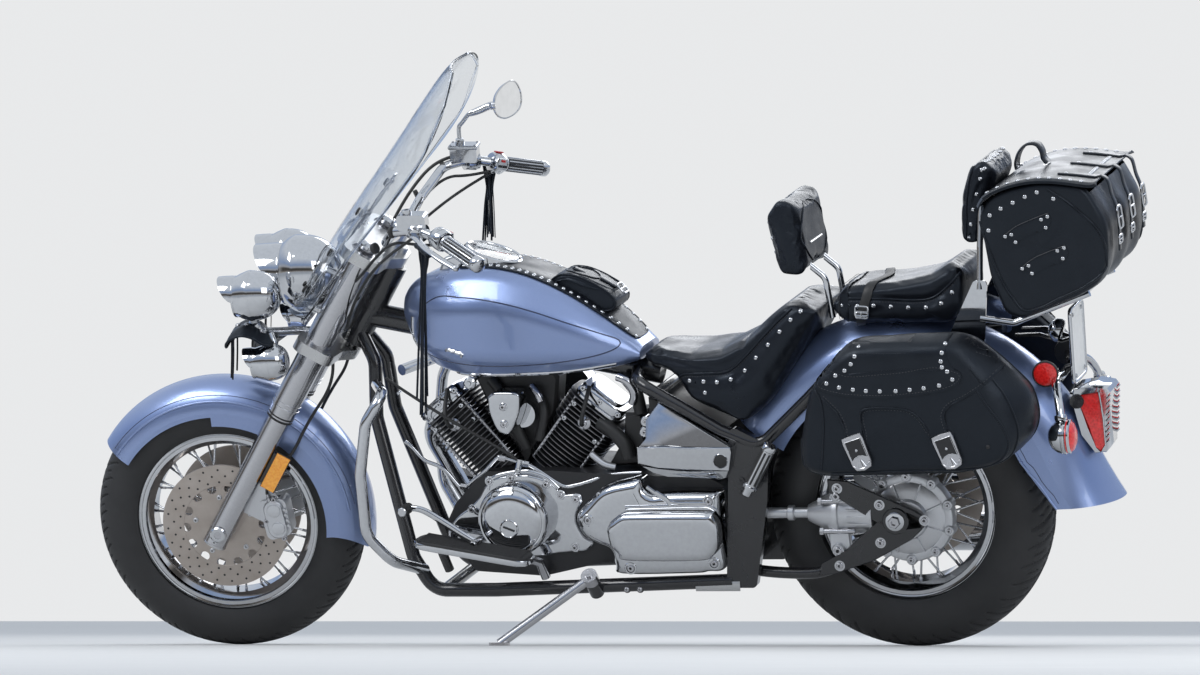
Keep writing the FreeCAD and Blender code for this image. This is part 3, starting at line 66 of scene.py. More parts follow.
def sideName(side):
    return "Left" if side < 0 else "Right"


# Camera: long lens from the left, low over the ground
view = {"focalPixels": 4316, "pictureWide": 1200, "sensor": 36, "target": (-0.0438, 0.215, 0.712),
        "place": (3.048, -9.295, 0.063)}
cameraData = bpy.data.cameras.new("photoCamera")
camera = bpy.data.objects.new("photoCamera", cameraData)
bpy.context.scene.collection.objects.link(camera)
cameraData.sensor_width = view["sensor"]
cameraData.lens = view["focalPixels"] / view["pictureWide"] * view["sensor"]
camera.location = view["place"]
aim = Vector(view["target"]) - Vector(view["place"])
camera.rotation_euler = aim.to_track_quat("-Z", "Y").to_euler()
bpy.context.scene.camera = camera
print("camera set")


# Finishes: procedural materials, colours written as linear values
def finishBase(name, colour, metal, rough, coat=0.0):
    material = bpy.data.materials.new(name)
    material.use_nodes = True
    shader = material.node_tree.nodes["Principled BSDF"]
    shader.inputs["Base Color"].default_value = (*colour, 1)
    shader.inputs["Metallic"].default_value = metal
    shader.inputs["Roughness"].default_value = rough
    shader.inputs["Coat Weight"].default_value = coat
    shader.inputs["Coat Roughness"].default_value = 0.04
    return material, material.node_tree.nodes, material.node_tree.links, shader


def addNode(nodes, kind, **values):
    node = nodes.new(kind)
    for key, value in values.items():
        if key in node.inputs:
            node.inputs[key].default_value = value
        else:
            setattr(node, key, value)
    return node


def vary(nodes, links, socket, low, high, scale, source):
    # a socket that wanders between two values in a soft cloud
    noise = addNode(nodes, "ShaderNodeTexNoise", Scale=scale, Detail=4.0)
    links.new(source, noise.inputs["Vector"])
    span = addNode(nodes, "ShaderNodeMapRange")
    span.inputs["From Min"].default_value = 0.3
    span.inputs["From Max"].default_value = 0.7
    span.inputs["To Min"].default_value = low
    span.inputs["To Max"].default_value = high
    links.new(noise.outputs["Fac"], span.inputs["Value"])
    links.new(span.outputs["Result"], socket)
    return noise


def tint(nodes, links, shader, first, second, factor):
    mix = addNode(nodes, "ShaderNodeMix", data_type="RGBA")
    mix.inputs[6].default_value = (*first, 1)
    mix.inputs[7].default_value = (*second, 1)
    links.new(factor, mix.inputs[0])
    links.new(mix.outputs[2], shader.inputs["Base Color"])
    return mix


def bump(nodes, links, shader, height, strength, distance, previous=None):
    node = addNode(nodes, "ShaderNodeBump", Strength=strength, Distance=distance)
    links.new(height, node.inputs["Height"])
    if previous:
        links.new(previous.outputs["Normal"], node.inputs["Normal"])
    links.new(node.outputs["Normal"], shader.inputs["Normal"])
    return node


def place(nodes):
    return nodes.new("ShaderNodeTexCoord").outputs["Object"]


def paintFinish(name, colour, flake):
    # metallic base with fine flakes under a clear coat
    material, nodes, links, shader = finishBase(name, colour, 0.72, 0.32, 1.0)
    spot = place(nodes)
    flakes = addNode(nodes, "ShaderNodeTexVoronoi", Scale=2600.0)
    links.new(spot, flakes.inputs["Vector"])
    tint(nodes, links, shader, colour, flake, flakes.outputs["Distance"])
    bump(nodes, links, shader, flakes.outputs["Distance"], 0.06, 0.0004)
    vary(nodes, links, shader.inputs["Roughness"], 0.27, 0.36, 9.0, source=spot)
    return material


def metalFinish(name, colour, rough, spread, grain, grainSize, metal=1.0, coat=0.0):
    material, nodes, links, shader = finishBase(name, colour, metal, rough, coat)
    spot = place(nodes)
    vary(nodes, links, shader.inputs["Roughness"], rough - spread, rough + spread, 14.0, source=spot)
    marks = addNode(nodes, "ShaderNodeTexNoise", Scale=grainSize, Detail=5.0)
    links.new(spot, marks.inputs["Vector"])
    dark = tuple(value * 0.82 for value in colour)
    tint(nodes, links, shader, dark, colour, marks.outputs["Fac"])
    bump(nodes, links, shader, marks.outputs["Fac"], grain, 0.001)
    return material


def leatherFinish(name, colour, rough, grain=1.0):
    # pebbled grain, softer creases over it, a little wear in the sheen, and a blue tint in the sheen that is
    # a painted reflection
    material, nodes, links, shader = finishBase(name, colour, 0.0, rough)
    spot = place(nodes)
    pebbles = addNode(nodes, "ShaderNodeTexVoronoi", Scale=620.0 * grain, feature="SMOOTH_F1")
    creases = addNode(nodes, "ShaderNodeTexNoise", Scale=22.0, Detail=7.0, Roughness=0.62)
    links.new(spot, pebbles.inputs["Vector"])
    links.new(spot, creases.inputs["Vector"])
    first = bump(nodes, links, shader, pebbles.outputs["Distance"], 0.28, 0.0008)
    bump(nodes, links, shader, creases.outputs["Fac"], 0.22, 0.004, first)
    worn = tuple(value * 1.8 + 0.002 for value in colour)
    tint(nodes, links, shader, colour, worn, creases.outputs["Fac"])
    vary(nodes, links, shader.inputs["Roughness"], rough - 0.08, rough + 0.1, 17.0, source=spot)
    shader.inputs["Specular IOR Level"].default_value = 0.34
    # blue specular tint: painted reflection, the sky's blue laid into the leather's sheen
    shader.inputs["Specular Tint"].default_value = (0.72, 0.84, 1.0, 1)
    return material


def rubberFinish(name, colour, rough, scale=160.0):
    material, nodes, links, shader = finishBase(name, colour, 0.0, rough)
    spot = place(nodes)
    dust = addNode(nodes, "ShaderNodeTexNoise", Scale=11.0, Detail=8.0, Roughness=0.65)
    pores = addNode(nodes, "ShaderNodeTexNoise", Scale=scale * 6, Detail=3.0)
    links.new(spot, dust.inputs["Vector"])
    links.new(spot, pores.inputs["Vector"])
    tint(nodes, links, shader, colour, tuple(value * 1.9 + 0.003 for value in colour), dust.outputs["Fac"])
    bump(nodes, links, shader, pores.outputs["Fac"], 0.14, 0.0006)
    vary(nodes, links, shader.inputs["Roughness"], rough - 0.07, rough + 0.08, 13.0, source=spot)
    return material


def lensFinish(name, colour, rough=0.12, glow=0.35):
    # moulded lens: ribs under a glossy face
    material, nodes, links, shader = finishBase(name, colour, 0.0, rough, 0.8)
    spot = place(nodes)
    ribs = addNode(nodes, "ShaderNodeTexVoronoi", Scale=190.0)
    links.new(spot, ribs.inputs["Vector"])
    bright = tuple(min(1, value * 1.5 + 0.02) for value in colour)
    tint(nodes, links, shader, colour, bright, ribs.outputs["Distance"])
    bump(nodes, links, shader, ribs.outputs["Distance"], 0.3, 0.002)
    shader.inputs["Subsurface Weight"].default_value = glow
    shader.inputs["Subsurface Radius"].default_value = (0.01, 0.004, 0.003)
    return material


def clearFinish(name, colour, rough, ior):
    material, nodes, links, shader = finishBase(name, colour, 0.0, rough)
    shader.inputs["Transmission Weight"].default_value = 1.0
    shader.inputs["IOR"].default_value = ior
    spot = place(nodes)
    vary(nodes, links, shader.inputs["Roughness"], rough, rough + 0.03, 8.0, source=spot)
    return material


def discFinish(name):
    # brake steel: fine rings round the axle are too small to model, so they come from the grain
    material, nodes, links, shader = finishBase(name, (0.44, 0.40, 0.36), 0.85, 0.36)
    spot = place(nodes)
    marks = addNode(nodes, "ShaderNodeTexNoise", Scale=420.0, Detail=4.0)
    heat = addNode(nodes, "ShaderNodeTexNoise", Scale=26.0, Detail=6.0)
    links.new(spot, marks.inputs["Vector"])
    links.new(spot, heat.inputs["Vector"])
    tint(nodes, links, shader, (0.36, 0.31, 0.27), (0.52, 0.47, 0.43), heat.outputs["Fac"])
    bump(nodes, links, shader, marks.outputs["Fac"], 0.18, 0.0006)
    return material


finish = {
    "paint": paintFinish("bluePaint", (0.155, 0.225, 0.44), (0.30, 0.38, 0.60)),
    "darkBlue": metalFinish("stripeBlue", (0.03, 0.045, 0.10), 0.3, 0.05, 0.02, 90.0, 0.3, 0.8),
    "chrome": metalFinish("brightChrome", (0.62, 0.63, 0.65), 0.06, 0.02, 0.004, 120.0),
    "wornChrome": metalFinish("wornChrome", (0.55, 0.55, 0.57), 0.16, 0.06, 0.03, 220.0),
    "blackFrame": metalFinish("frameEnamel", (0.012, 0.012, 0.014), 0.24, 0.07, 0.03, 160.0, 0.0, 0.6),
    "castSilver": metalFinish("castSilver", (0.66, 0.67, 0.69), 0.36, 0.07, 0.16, 700.0, 0.85),
    "satinAlloy": metalFinish("satinAlloy", (0.60, 0.60, 0.60), 0.3, 0.06, 0.05, 500.0),
    "engineBlack": metalFinish("engineEnamel", (0.02, 0.02, 0.022), 0.42, 0.08, 0.16, 650.0, 0.1),
    # lighter grey metal for the fin rims: painted highlight on the fin edges
    "paintedFinHighlight": metalFinish("paintedFinHighlight", (0.26, 0.26, 0.27), 0.3, 0.08, 0.05, 420.0),
    "leather": leatherFinish("seatLeather", (0.004, 0.0047, 0.0068), 0.34),
    "bagLeather": leatherFinish("bagLeather", (0.0045, 0.0052, 0.0068), 0.36, 0.8),
    "rubber": rubberFinish("tyreRubber", (0.014, 0.014, 0.0145), 0.62),
    "softBlack": rubberFinish("mouldedBlack", (0.012, 0.012, 0.012), 0.5, 60.0),
    "discSteel": discFinish("discSteel"),
    "redLens": lensFinish("redLens", (0.62, 0.012, 0.01)),
    "orangeLens": lensFinish("orangeLens", (0.86, 0.23, 0.02)),
    "amber": lensFinish("amberReflector", (0.88, 0.30, 0.02), 0.2, 0.15),
    "clearGlass": clearFinish("lampGlass", (0.95, 0.97, 1.0), 0.02, 1.45),
    "screen": clearFinish("screenSheet", (0.84, 0.86, 0.88), 0.01, 1.25),
    "plateWhite": metalFinish("plateWhite", (0.86, 0.87, 0.86), 0.35, 0.05, 0.03, 60.0, 0.0, 0.3),
    "redSwitch": metalFinish("redSwitch", (0.55, 0.02, 0.02), 0.35, 0.06, 0.02, 200.0, 0.0, 0.3),
    "dialFace": metalFinish("dialFace", (0.60, 0.60, 0.58), 0.4, 0.05, 0.02, 200.0, 0.2),
    "mirrorGlass": metalFinish("mirrorGlass", (0.90, 0.91, 0.92), 0.03, 0.01, 0.0, 50.0),
    "stitch": leatherFinish("threadGrey", (0.05, 0.05, 0.052), 0.7, 2.0),
}
print("finishes made")

nodeFinish = {
    "frame": "blackFrame", "engine_block": "engineBlack", "cylinders": "engineBlack",
    "rocker_covers": "chrome", "engine_covers": "chrome", "vee_cover": "chrome", "air_cleaner": "chrome",
    "exhaust": "chrome", "swingarm": "blackFrame", "final_drive": "castSilver", "rear_caliper": "castSilver",
    "fuel_tank": "paint", "tank_console": "chrome", "side_covers": "chrome", "sissy_bar": "chrome",
    "rear_fender": "paint", "tail_lamp": "redLens", "number_plate": "plateWhite", "bag_stays": "chrome",
    "floorboards": "softBlack", "foot_controls": "chrome", "highway_bars": "chrome",
    "side_stand": "wornChrome",
    "rear_tyre": "rubber", "rear_wheel": "chrome", "rear_brake_disc": "discSteel", "fork_legs": "wornChrome",
    "fork_yokes": "satinAlloy", "front_tyre": "rubber", "front_wheel": "chrome",
    "front_brake_discs": "discSteel", "front_fender": "paint", "front_calipers": "castSilver",
    "handlebar": "chrome", "hand_grips": "chrome", "hand_controls": "chrome", "mirror": "chrome",
    "headlamp": "chrome", "lamp_bar": "chrome", "windshield": "screen", "windshield_brackets": "chrome",
    "tank_bib": "leather", "rider_seat": "leather", "passenger_seat": "leather",
    "rider_backrest": "leather", "passenger_backrest": "leather", "trunk_bag": "bagLeather",
    "trunk_lid": "bagLeather", "saddlebag_left": "bagLeather", "saddlebag_right": "bagLeather",
    "saddlebag_lid_left": "bagLeather", "saddlebag_lid_right": "bagLeather",
}
for name, key in nodeFinish.items():
    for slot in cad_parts[name].material_slots:
        slot.material = finish[key]


# Shape tools: each piece gathers simple forms in millimetres, in the machine's upright frame
def linked(name, data):
    thing = bpy.data.objects.new(name, data)
    bpy.context.scene.collection.objects.link(thing)
    return thing


def settle(thing):
    # keeps what the modifiers made
    ready = bpy.data.meshes.new_from_object(thing.evaluated_get(bpy.context.evaluated_depsgraph_get()))
    thing.modifiers.clear()
    thing.data = ready


def smoothPath(points, steps):
    # a soft line through the points
    spots = [Vector(point) for point in points]
    if len(spots) < 3:
        return spots
    line = []
    for i in range(len(spots) - 1):
        before = spots[max(i - 1, 0)]
        after = spots[min(i + 2, len(spots) - 1)]
        for j in range(steps):
            t = j / steps
            a, b = spots[i], spots[i + 1]
            line.append(0.5 * (2 * a + (b - before) * t + (2 * before - 5 * a + 4 * b - after) * t * t
                               + (3 * a - before - 3 * b + after) * t ** 3))
    line.append(spots[-1])
    return line


def spoke(turn):
    # the way out from an axle, turned in the machine's long plane
    return Vector((cos(turn), 0, sin(turn)))


def evenPath(points, spacing):
    # the same line with points an equal distance apart
    line = [Vector(point) for point in points]
    lengths = [0.0]
    for a, b in zip(line, line[1:]):
        lengths.append(lengths[-1] + (b - a).length)
    count = max(1, round(lengths[-1] / spacing))
    spots = []
    at = 0
    for i in range(count + 1):
        wanted = lengths[-1] * i / count
        while at < len(lengths) - 2 and lengths[at + 1] < wanted:
            at += 1
        part = (wanted - lengths[at]) / max(1e-9, lengths[at + 1] - lengths[at])
        spots.append(line[at].lerp(line[at + 1], part))
    return spots


class Shape:
    def __init__(self):
        self.points = []
        self.faces = []
        self.kinds = []
        self.keys = []

    def add(self, points, faces, key):
        if key not in self.keys:
            self.keys.append(key)
        start = len(self.points)
        self.points += [Vector(point) for point in points]
        self.faces += [[start + i for i in face] for face in faces]
        self.kinds += [self.keys.index(key)] * len(faces)

    def loft(self, rings, key, closed=True, caps=True):
        # skin over rings that have the same number of points
        count = len(rings[0])
        faces = []
        for i in range(len(rings) - 1):
            for j in range(count if closed else count - 1):
                k = (j + 1) % count
                faces.append([i * count + j, i * count + k, (i + 1) * count + k, (i + 1) * count + j])
        if caps and closed:
            faces.append(list(range(count))[::-1])
            faces.append([(len(rings) - 1) * count + j for j in range(count)])
        self.add([point for ring in rings for point in ring], faces, key)

    def turn(self, rows, centre, axis, key, steps=32, hollow=False):
        # rows are (radius, distance along the axis)
        centre, axis = Vector(centre), Vector(axis).normalized()
        side = axis.orthogonal().normalized()
        up = axis.cross(side)
        rings = []
        for radius, along in rows:
            ring = []
            for i in range(steps):
                turn = radians(360 * i / steps)
                ring.append(centre + axis * along + (side * cos(turn) + up * sin(turn)) * max(radius, 0.01))
            rings.append(ring)
        self.loft(rings, key, caps=not hollow)

    def tube(self, path, radius, key, sides=12, flat=1.0, up=None, closed=False):
        # round tube, or a strap when flat is small; up then faces the strap's broad side
        spots = [Vector(point) for point in path]
        count = len(spots)
        normal = Vector(up) if up is not None else None
        rings = []
        for i, spot in enumerate(spots):
            if closed:
                ahead = (spots[(i + 1) % count] - spots[i - 1]).normalized()
            else:
                ahead = (spots[min(i + 1, count - 1)] - spots[max(i - 1, 0)]).normalized()
            if normal is None:
                normal = ahead.orthogonal()
            face = up[i] if isinstance(up, list) else normal
            normal = (Vector(face) - ahead * ahead.dot(Vector(face))).normalized()
            across = ahead.cross(normal)
            wide = radius[i] if isinstance(radius, list) else radius
            rings.append([spot + across * cos(2 * pi * j / sides) * wide
                          + normal * sin(2 * pi * j / sides) * wide * flat for j in range(sides)])
        if closed:
            rings.append(rings[0])
        self.loft(rings, key, caps=not closed)

    def strap(self, path, up, wide, thick, key):
        # flat band with soft edges; up is one direction or one for each point
        spots = [Vector(point) for point in path]
        rings = []
        for i, spot in enumerate(spots):
            ahead = (spots[min(i + 1, len(spots) - 1)] - spots[max(i - 1, 0)]).normalized()
            face = Vector(up[i]) if isinstance(up, list) else Vector(up)
            face = (face - ahead * ahead.dot(face)).normalized()
            across = ahead.cross(face)
            span = wide[i] if isinstance(wide, list) else wide
            half, edge = span / 2, min(thick, span / 4)
            rings.append([spot + across * a + face * b for a, b in (
                (-half, thick * 0.3), (-half + edge, thick), (half - edge, thick), (half, thick * 0.3),
                (half, -thick * 0.2), (-half, -thick * 0.2))])
        self.loft(rings, key)

    def plate(self, outline, low, high, key, soft=0.0, across=(0, 1, 0), flatX=(1, 0, 0), flatZ=(0, 0, 1),
              at=(0, 0, 0)):
        # flat plate with an outline in two directions and softened rims
        at, across, flatX, flatZ = Vector(at), Vector(across), Vector(flatX), Vector(flatZ)
        middle = sum((Vector(spot) for spot in outline), Vector((0, 0))) / len(outline)
        rings = []
        sign = 1 if high > low else -1
        levels = [(low, soft), (low + sign * soft, 0), (high - sign * soft, 0), (high, soft)] if soft else [
            (low, 0), (high, 0)]
        for level, inset in levels:
            ring = []
            for spot in outline:
                away = Vector(spot) - middle
                spot = Vector(spot) - away.normalized() * inset
                ring.append(at + flatX * spot.x + flatZ * spot.y + across * level)
            rings.append(ring)
        self.loft(rings, key)

    def stud(self, centre, normal, radius, key="chrome"):
        high = radius * 0.55
        self.turn([(radius * 1.05, -0.4), (radius, high * 0.35), (radius * 0.72, high * 0.8),
                   (radius * 0.3, high), (0, high * 1.03)], centre, normal, key, 10)

    def bolt(self, centre, normal, radius, key="chrome", tall=None):
        # hexagon socket cap; the inside of its socket is painted black, painted shade in the recess
        tall = radius * 0.8 if tall is None else tall
        self.turn([(radius * 1.15, -0.5), (radius * 1.15, tall * 0.2), (radius, tall * 0.25),
                   (radius, tall * 0.85),
                   (radius * 0.88, tall), (radius * 0.5, tall)], centre, normal, key, 14)
        self.turn([(radius * 0.5, tall), (radius * 0.48, tall * 0.4), (0, tall * 0.4)], centre, normal,
                  "engineBlack", 6)

    def build(self, name, body, where=None, slotName=None, sharp=38, stands=()):
        mesh = bpy.data.meshes.new(name)
        mesh.from_pydata([tuple(point) for point in self.points], [], self.faces)
        for key in self.keys:
            mesh.materials.append(finish[key])
        mesh.polygons.foreach_set("material_index", self.kinds)
        mesh.transform(where if where is not None else leaning)
        mesh.validate()
        thing = linked(name, mesh)
        tidy = bmesh.new()
        tidy.from_mesh(mesh)
        bmesh.ops.remove_doubles(tidy, verts=tidy.verts, dist=0.00002)
        bmesh.ops.recalc_face_normals(tidy, faces=tidy.faces)
        tidy.to_mesh(mesh)
        tidy.free()
        thing.data.shade_smooth()
        thing.data.set_sharp_from_angle(angle=radians(sharp))
        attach(thing, body)
        if stands:
            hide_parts(*stands)
        return thing


def skin(where, *things):
    # what pieces land on: faces of CAD nodes or made pieces, in the machine's own frame
    back = where.inverted()
    points, faces = [], []
    for thing in things:
        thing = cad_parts[thing] if isinstance(thing, str) else thing
        start = len(points)
        turn = back @ thing.matrix_world
        points += [turn @ vertex.co for vertex in thing.data.vertices]
        faces += [[start + i for i in face.vertices] for face in thing.data.polygons]
    return BVHTree.FromPolygons(points, faces)


outside = {"aside": 420, "above": 1300}  # where the lines that look for a surface start


def land(ground, start, direction, lift=0.0):
    # where a line from start meets the ground, and the way the ground faces there
    direction = Vector(direction).normalized()
    spot, normal = ground.ray_cast(Vector(start), direction)[:2]
    if spot is None:
        spot, normal = ground.find_nearest(Vector(start))[:2]
    if normal.dot(direction) > 0:
        normal = -normal
    return spot + normal * lift, normal


def landAside(ground, side, x, z, lift=0.0):
    return land(ground, (x, side * outside["aside"], z), (0, -side, 0), lift)


def landAbove(ground, x, y, lift=0.0):
    return land(ground, (x, y, outside["above"]), toGround, lift)


def lineOn(ground, points, direction, lift, spacing=12):
    # a line laid on the ground, with the ground's facing at each point
    spots = evenPath(smoothPath(points, 8), spacing)
    landed = [land(ground, spot, direction, lift) for spot in spots]
    return [spot for spot, normal in landed], [normal for spot, normal in landed]


print("shape tools ready")


# Tyres: round carcass as the CAD has it, with a cut tread
tyreLook = {
    "front": {"radius": 320, "half": 65, "rim": 215, "seat": 41, "pitches": 44, "body": "front_wheel"},
    "rear": {"radius": 326, "half": 82, "rim": 203, "seat": 52, "pitches": 40, "body": "rear_wheel"},
    "depth": 4.5, "round": 528,
}


def treadCut(share, turn):
    # how deep the tread is cut at a share of the half width (-1..1) and a turn in whole pitches
    side = 1 if share > 0 else -1
    wide = abs(share)
    cut = 0.0
    if 0.10 < wide < 0.80:
        sweep = turn + (0.5 if side > 0 else 0) + 0.95 * (wide - 0.1) ** 0.8 * 1.5
        away = abs(sweep - round(sweep))
        cut = max(cut, 1 - away / 0.085) if away < 0.085 else cut
    if 0.34 < wide < 0.62:
        sweep = turn + (0.0 if side > 0 else 0.5) + 0.95 * (wide - 0.1) ** 0.8 * 1.5
        away = abs(sweep - round(sweep))
        cut = max(cut, 0.8 - away / 0.07) if away < 0.055 else cut
    groove = abs(wide - 0.085 - 0.02 * sin(2 * pi * turn))
    if groove < 0.03:
        cut = max(cut, 1 - groove / 0.045)
    return min(1.0, cut * 1.7)


def dressTyre(name, axle, look, where, node):
    crown = look["radius"] - look["half"]
    low = look["rim"] + 2
    widest = acos((low - crown) / look["half"])
    shape = Shape()
    across = [-1 + 2 * i / 52 for i in range(53)]
    inner = [(low, look["seat"]), (look["rim"] - 11, look["seat"]), (look["rim"] - 11, -look["seat"]),
             (low, -look["seat"])]
    rings = []
    steps = tyreLook["round"]
    for j in range(steps):
        turn = 2 * pi * j / steps
        out = spoke(turn)
        ring = []
        for share in across:
            angle = share * widest
            tread = share * widest / radians(72)
            depth = 0.0
            if abs(tread) < 0.9:
                depth = treadCut(tread, turn / (2 * pi) * look["pitches"]) * tyreLook["depth"]
            radius = look["half"] - depth
            ring.append(Vector(axle) + out * (crown + cos(angle) * radius)
                        + Vector((0, sin(angle) * radius, 0)))
        ring += [Vector(axle) + out * radius + Vector((0, y, 0)) for radius, y in inner]
        rings.append(ring)
    rings.append(rings[0])
    shape.loft(rings, "rubber", closed=True, caps=False)
    return shape.build(name, look["body"], where, "tyre", sharp=28, stands=(node,))


dressTyre("frontTyreTread", frontAxle, tyreLook["front"], steering, "front_tyre")
dressTyre("rearTyreTread", rearAxle, tyreLook["rear"], leaning, "rear_tyre")
print("tyres dressed")


# Wheels: stepped rim faces, spoke nipples, drilled disc faces with their bolts
wheelLook = {
    "front": {"rim": 215, "half": 47, "spokes": 40, "disc": 76, "discRadius": 149},
    "rear": {"rim": 203, "half": 58, "spokes": 40, "disc": 98, "discRadius": 141},
    "lace": 38,
}


def dressWheel(name, axle, look, where, body):
    shape = Shape()
    well = look["rim"] - 27 - 4
    for side in sides:
        axis = (0, side, 0)
        outer = look["half"]
        rows = [(look["rim"] - 0.5, outer - 3), (look["rim"] - 1.5, outer + 1.6),
                (look["rim"] - 4, outer + 2.4),
                (look["rim"] - 7, outer + 1.2), (look["rim"] - 9, outer - 1.5),
                (look["rim"] - 11.5, outer - 2.2),
                (look["rim"] - 14.5, outer - 1), (look["rim"] - 16.5, outer - 2.2),
                (look["rim"] - 17.2, outer - 14)]
        shape.turn(rows, axle, axis, "chrome", 128, hollow=True)
    for i in range(look["spokes"]):
        side = sides[i % 2]
        hand = sides[(i // 2) % 2]
        atRim = 2 * pi * (i + 0.5) / look["spokes"]
        atHub = atRim + hand * radians(wheelLook["lace"])
        inner = Vector((cos(atHub) * 48, side * 60, sin(atHub) * 48))
        outer = Vector((cos(atRim) * (well + 2), side * (look["half"] - 30),
                        sin(atRim) * (well + 2)))
        toHub = (inner - outer).normalized()
        shape.turn([(4.6, 0), (4.6, 2.5), (3.4, 3.2), (3.2, 13), (2.6, 14)], Vector(axle) + outer, toHub,
                   "wornChrome", 8)
    shape.build(name, body, where, "chrome", sharp=30)


dressWheel("frontRimDress", frontAxle, wheelLook["front"], steering, "front_wheel")
dressWheel("rearRimDress", rearAxle, wheelLook["rear"], leaning, "rear_wheel")


def drilledDisc(name, axle, side, look, body, where):
    # swept ring with small black discs on its face for the drilled holes, painted shade in place of the
    # holes, and the bolts of its carrier
    shape = Shape()
    radius = look["discRadius"]
    face = side * look["disc"] + side * 2.25
    rim = radius - 0.4
    rows = [(rim, 0.0), (rim, 0.7), (radius * 0.66, 0.7), (radius * 0.655, 0.0)]
    shape.turn(rows, Vector(axle) + Vector((0, face, 0)), (0, side, 0), "discSteel", 96, hollow=True)
    # the holes are not cut: each is a thin black disc, painted shade
    for i in range(72):
        turn = 2 * pi * (i + 0.5 * (i % 3)) / 72
        reach = radius * (0.72 + 0.10 * (i % 3))
        spot = Vector(axle) + Vector((cos(turn) * reach, face + side * 0.75, sin(turn) * reach))
        shape.turn([(2.7, 0.0), (2.7, 0.25), (0, 0.3)], spot, (0, side, 0), "engineBlack", 8)
    for i in range(5):
        turn = 2 * pi * (i + 0.3) / 5
        spot = Vector(axle) + Vector((cos(turn) * radius * 0.47, face, sin(turn) * radius * 0.47))
        shape.bolt(spot, (0, side, 0), 5.5, "castSilver", 5)
    shape.build(name, body, where, "brake_steel", sharp=30)


for side in sides:
    drilledDisc("frontDiscFace" + sideName(side), frontAxle, side, wheelLook["front"], "front_wheel",
                steering)
drilledDisc("rearDiscFace", rearAxle, 1, wheelLook["rear"], "rear_wheel", leaning)
print("wheels dressed")


# Fork: seals, rings, pinch bolts, axle caps, reflectors, hoses
forkLook = {"legY": 115, "reflector": (92, 40), "reflectorAlong": 152, "caliperTurn": 8}
caliperOut = spoke(radians(forkLook["caliperTurn"]))
caliperUp = Vector((-caliperOut.z, 0, caliperOut.x))


def dressFork():
    shape = Shape()
    for side in sides:
        foot = frontAxle + Vector((0, side * forkLook["legY"], 0))
        for along, radius, deep in ((318, 31.8, 5), (327, 31.8, 5), (353, 33.9, 3), (366, 33.7, 2),
                                    (760, 33.8, 3)):
            shape.turn([(radius - 2, 0), (radius, 0.8), (radius, deep - 0.8), (radius - 2, deep)],
                       foot + steerUp * along, steerUp, "chrome" if along > 340 else "softBlack", 40)
        shape.turn([(28.6, 0), (28.6, 3), (26, 8)], foot + steerUp * -36, steerUp, "satinAlloy", 32)
        outward = Vector((0, side, 0))
        shape.turn([(19, 0), (19, 5), (16, 8), (9, 8), (8.6, 4), (0, 4)], foot + outward * 27, outward,
                   "chrome", 24)
        # black hexagon at the bottom of the cap's recess: painted shade in the axle's socket
        shape.turn([(6.4, 0), (6.4, 1.5), (0, 1.5)], foot + outward * 31, outward, "engineBlack", 6)
        shape.bolt(foot + steerUp * -22 + outward * 26.5, outward, 5, "castSilver", 5)
        shape.turn([(19.4, 0), (19.4, 8), (15, 12), (9, 13), (0, 13)], foot + steerUp * 786, steerUp,
                   "chrome", 24)
        # amber reflector on its bracket behind the leg
        back = Vector((cos(radians(stance["rake"])), 0, -sin(radians(stance["rake"]))))
        low = foot + steerUp * forkLook["reflectorAlong"] + back * 34
        wide, tall = forkLook["reflector"][1], forkLook["reflector"][0]
        plate = [(0, 0), (wide - 6, 0), (wide - 6, tall), (0, tall)]
        shape.plate([(-12, 6), (wide - 10, 6), (wide - 10, tall - 6), (-12, tall - 6)], 4, 8, "blackFrame",
                    0.6,
                    across=outward, flatX=back, flatZ=steerUp, at=low)
        shape.plate(plate, 8, 17, "amber", 2.2, across=outward, flatX=back, flatZ=steerUp, at=low)
        shape.plate([(-1.5, -1.5), (wide - 4.5, -1.5), (wide - 4.5, tall + 1.5), (-1.5, tall + 1.5)], 6.5, 11,
                    "softBlack", 0.8, across=outward, flatX=back, flatZ=steerUp, at=low)
        # fender stays bolted to the leg
        for along in (262, 232):
            shape.bolt(foot + steerUp * along - outward * 22 - back * -14, -outward, 5, "chrome", 6)
    shape.build("forkDress", "fork", steering, "satin_alloy", sharp=32)


def dressCalipers():
    # lobed two-piston body, pads, hose fitting and bolts over the CAD block
    shape = Shape()
    out, up = caliperOut, caliperUp
    for side in sides:
        centre = frontAxle + out * 135 + Vector((0, side * 102, 0))
        lobes = []
        for along, reach in ((-24, 23), (24, 23)):
            for i in range(13):
                turn = radians(90 + (180 if along < 0 else 0) - 90 + i * 15)
                lobes.append((cos(turn) * reach - 2, along + sin(turn) * reach))
        shape.plate(lobes, 0, 9, "castSilver", 3, across=(0, side, 0), flatX=out, flatZ=up, at=centre)
        for along in (-22, 22):
            spot = centre + up * along + Vector((0, side * 9, 0))
            shape.turn([(16, -1), (15, 2.5), (12.5, 3.5), (0, 3.5)], spot, (0, side, 0), "castSilver", 28)
        for along, aside in ((-48, 6), (48, 6), (0, -24)):
            shape.bolt(centre + up * along + out * aside + Vector((0, side * 2, 0)), (0, side, 0), 6,
                       "wornChrome", 7)
        for i in range(4):
            rib = centre + up * (-20 + i * 13) + out * 24
            shape.tube([rib + Vector((0, side * -24, 0)), rib + Vector((0, side * 6, 0))], 3.4, "castSilver",
                       8)
        shape.turn([(5, 0), (5, 9), (3.4, 10), (3.4, 18)], centre + up * 46 + out * -6
                   + Vector((0, side * 4, 0)), up,
                   "wornChrome", 12)
    shape.build("caliperDress", "fork", steering, "cast_silver", sharp=35)


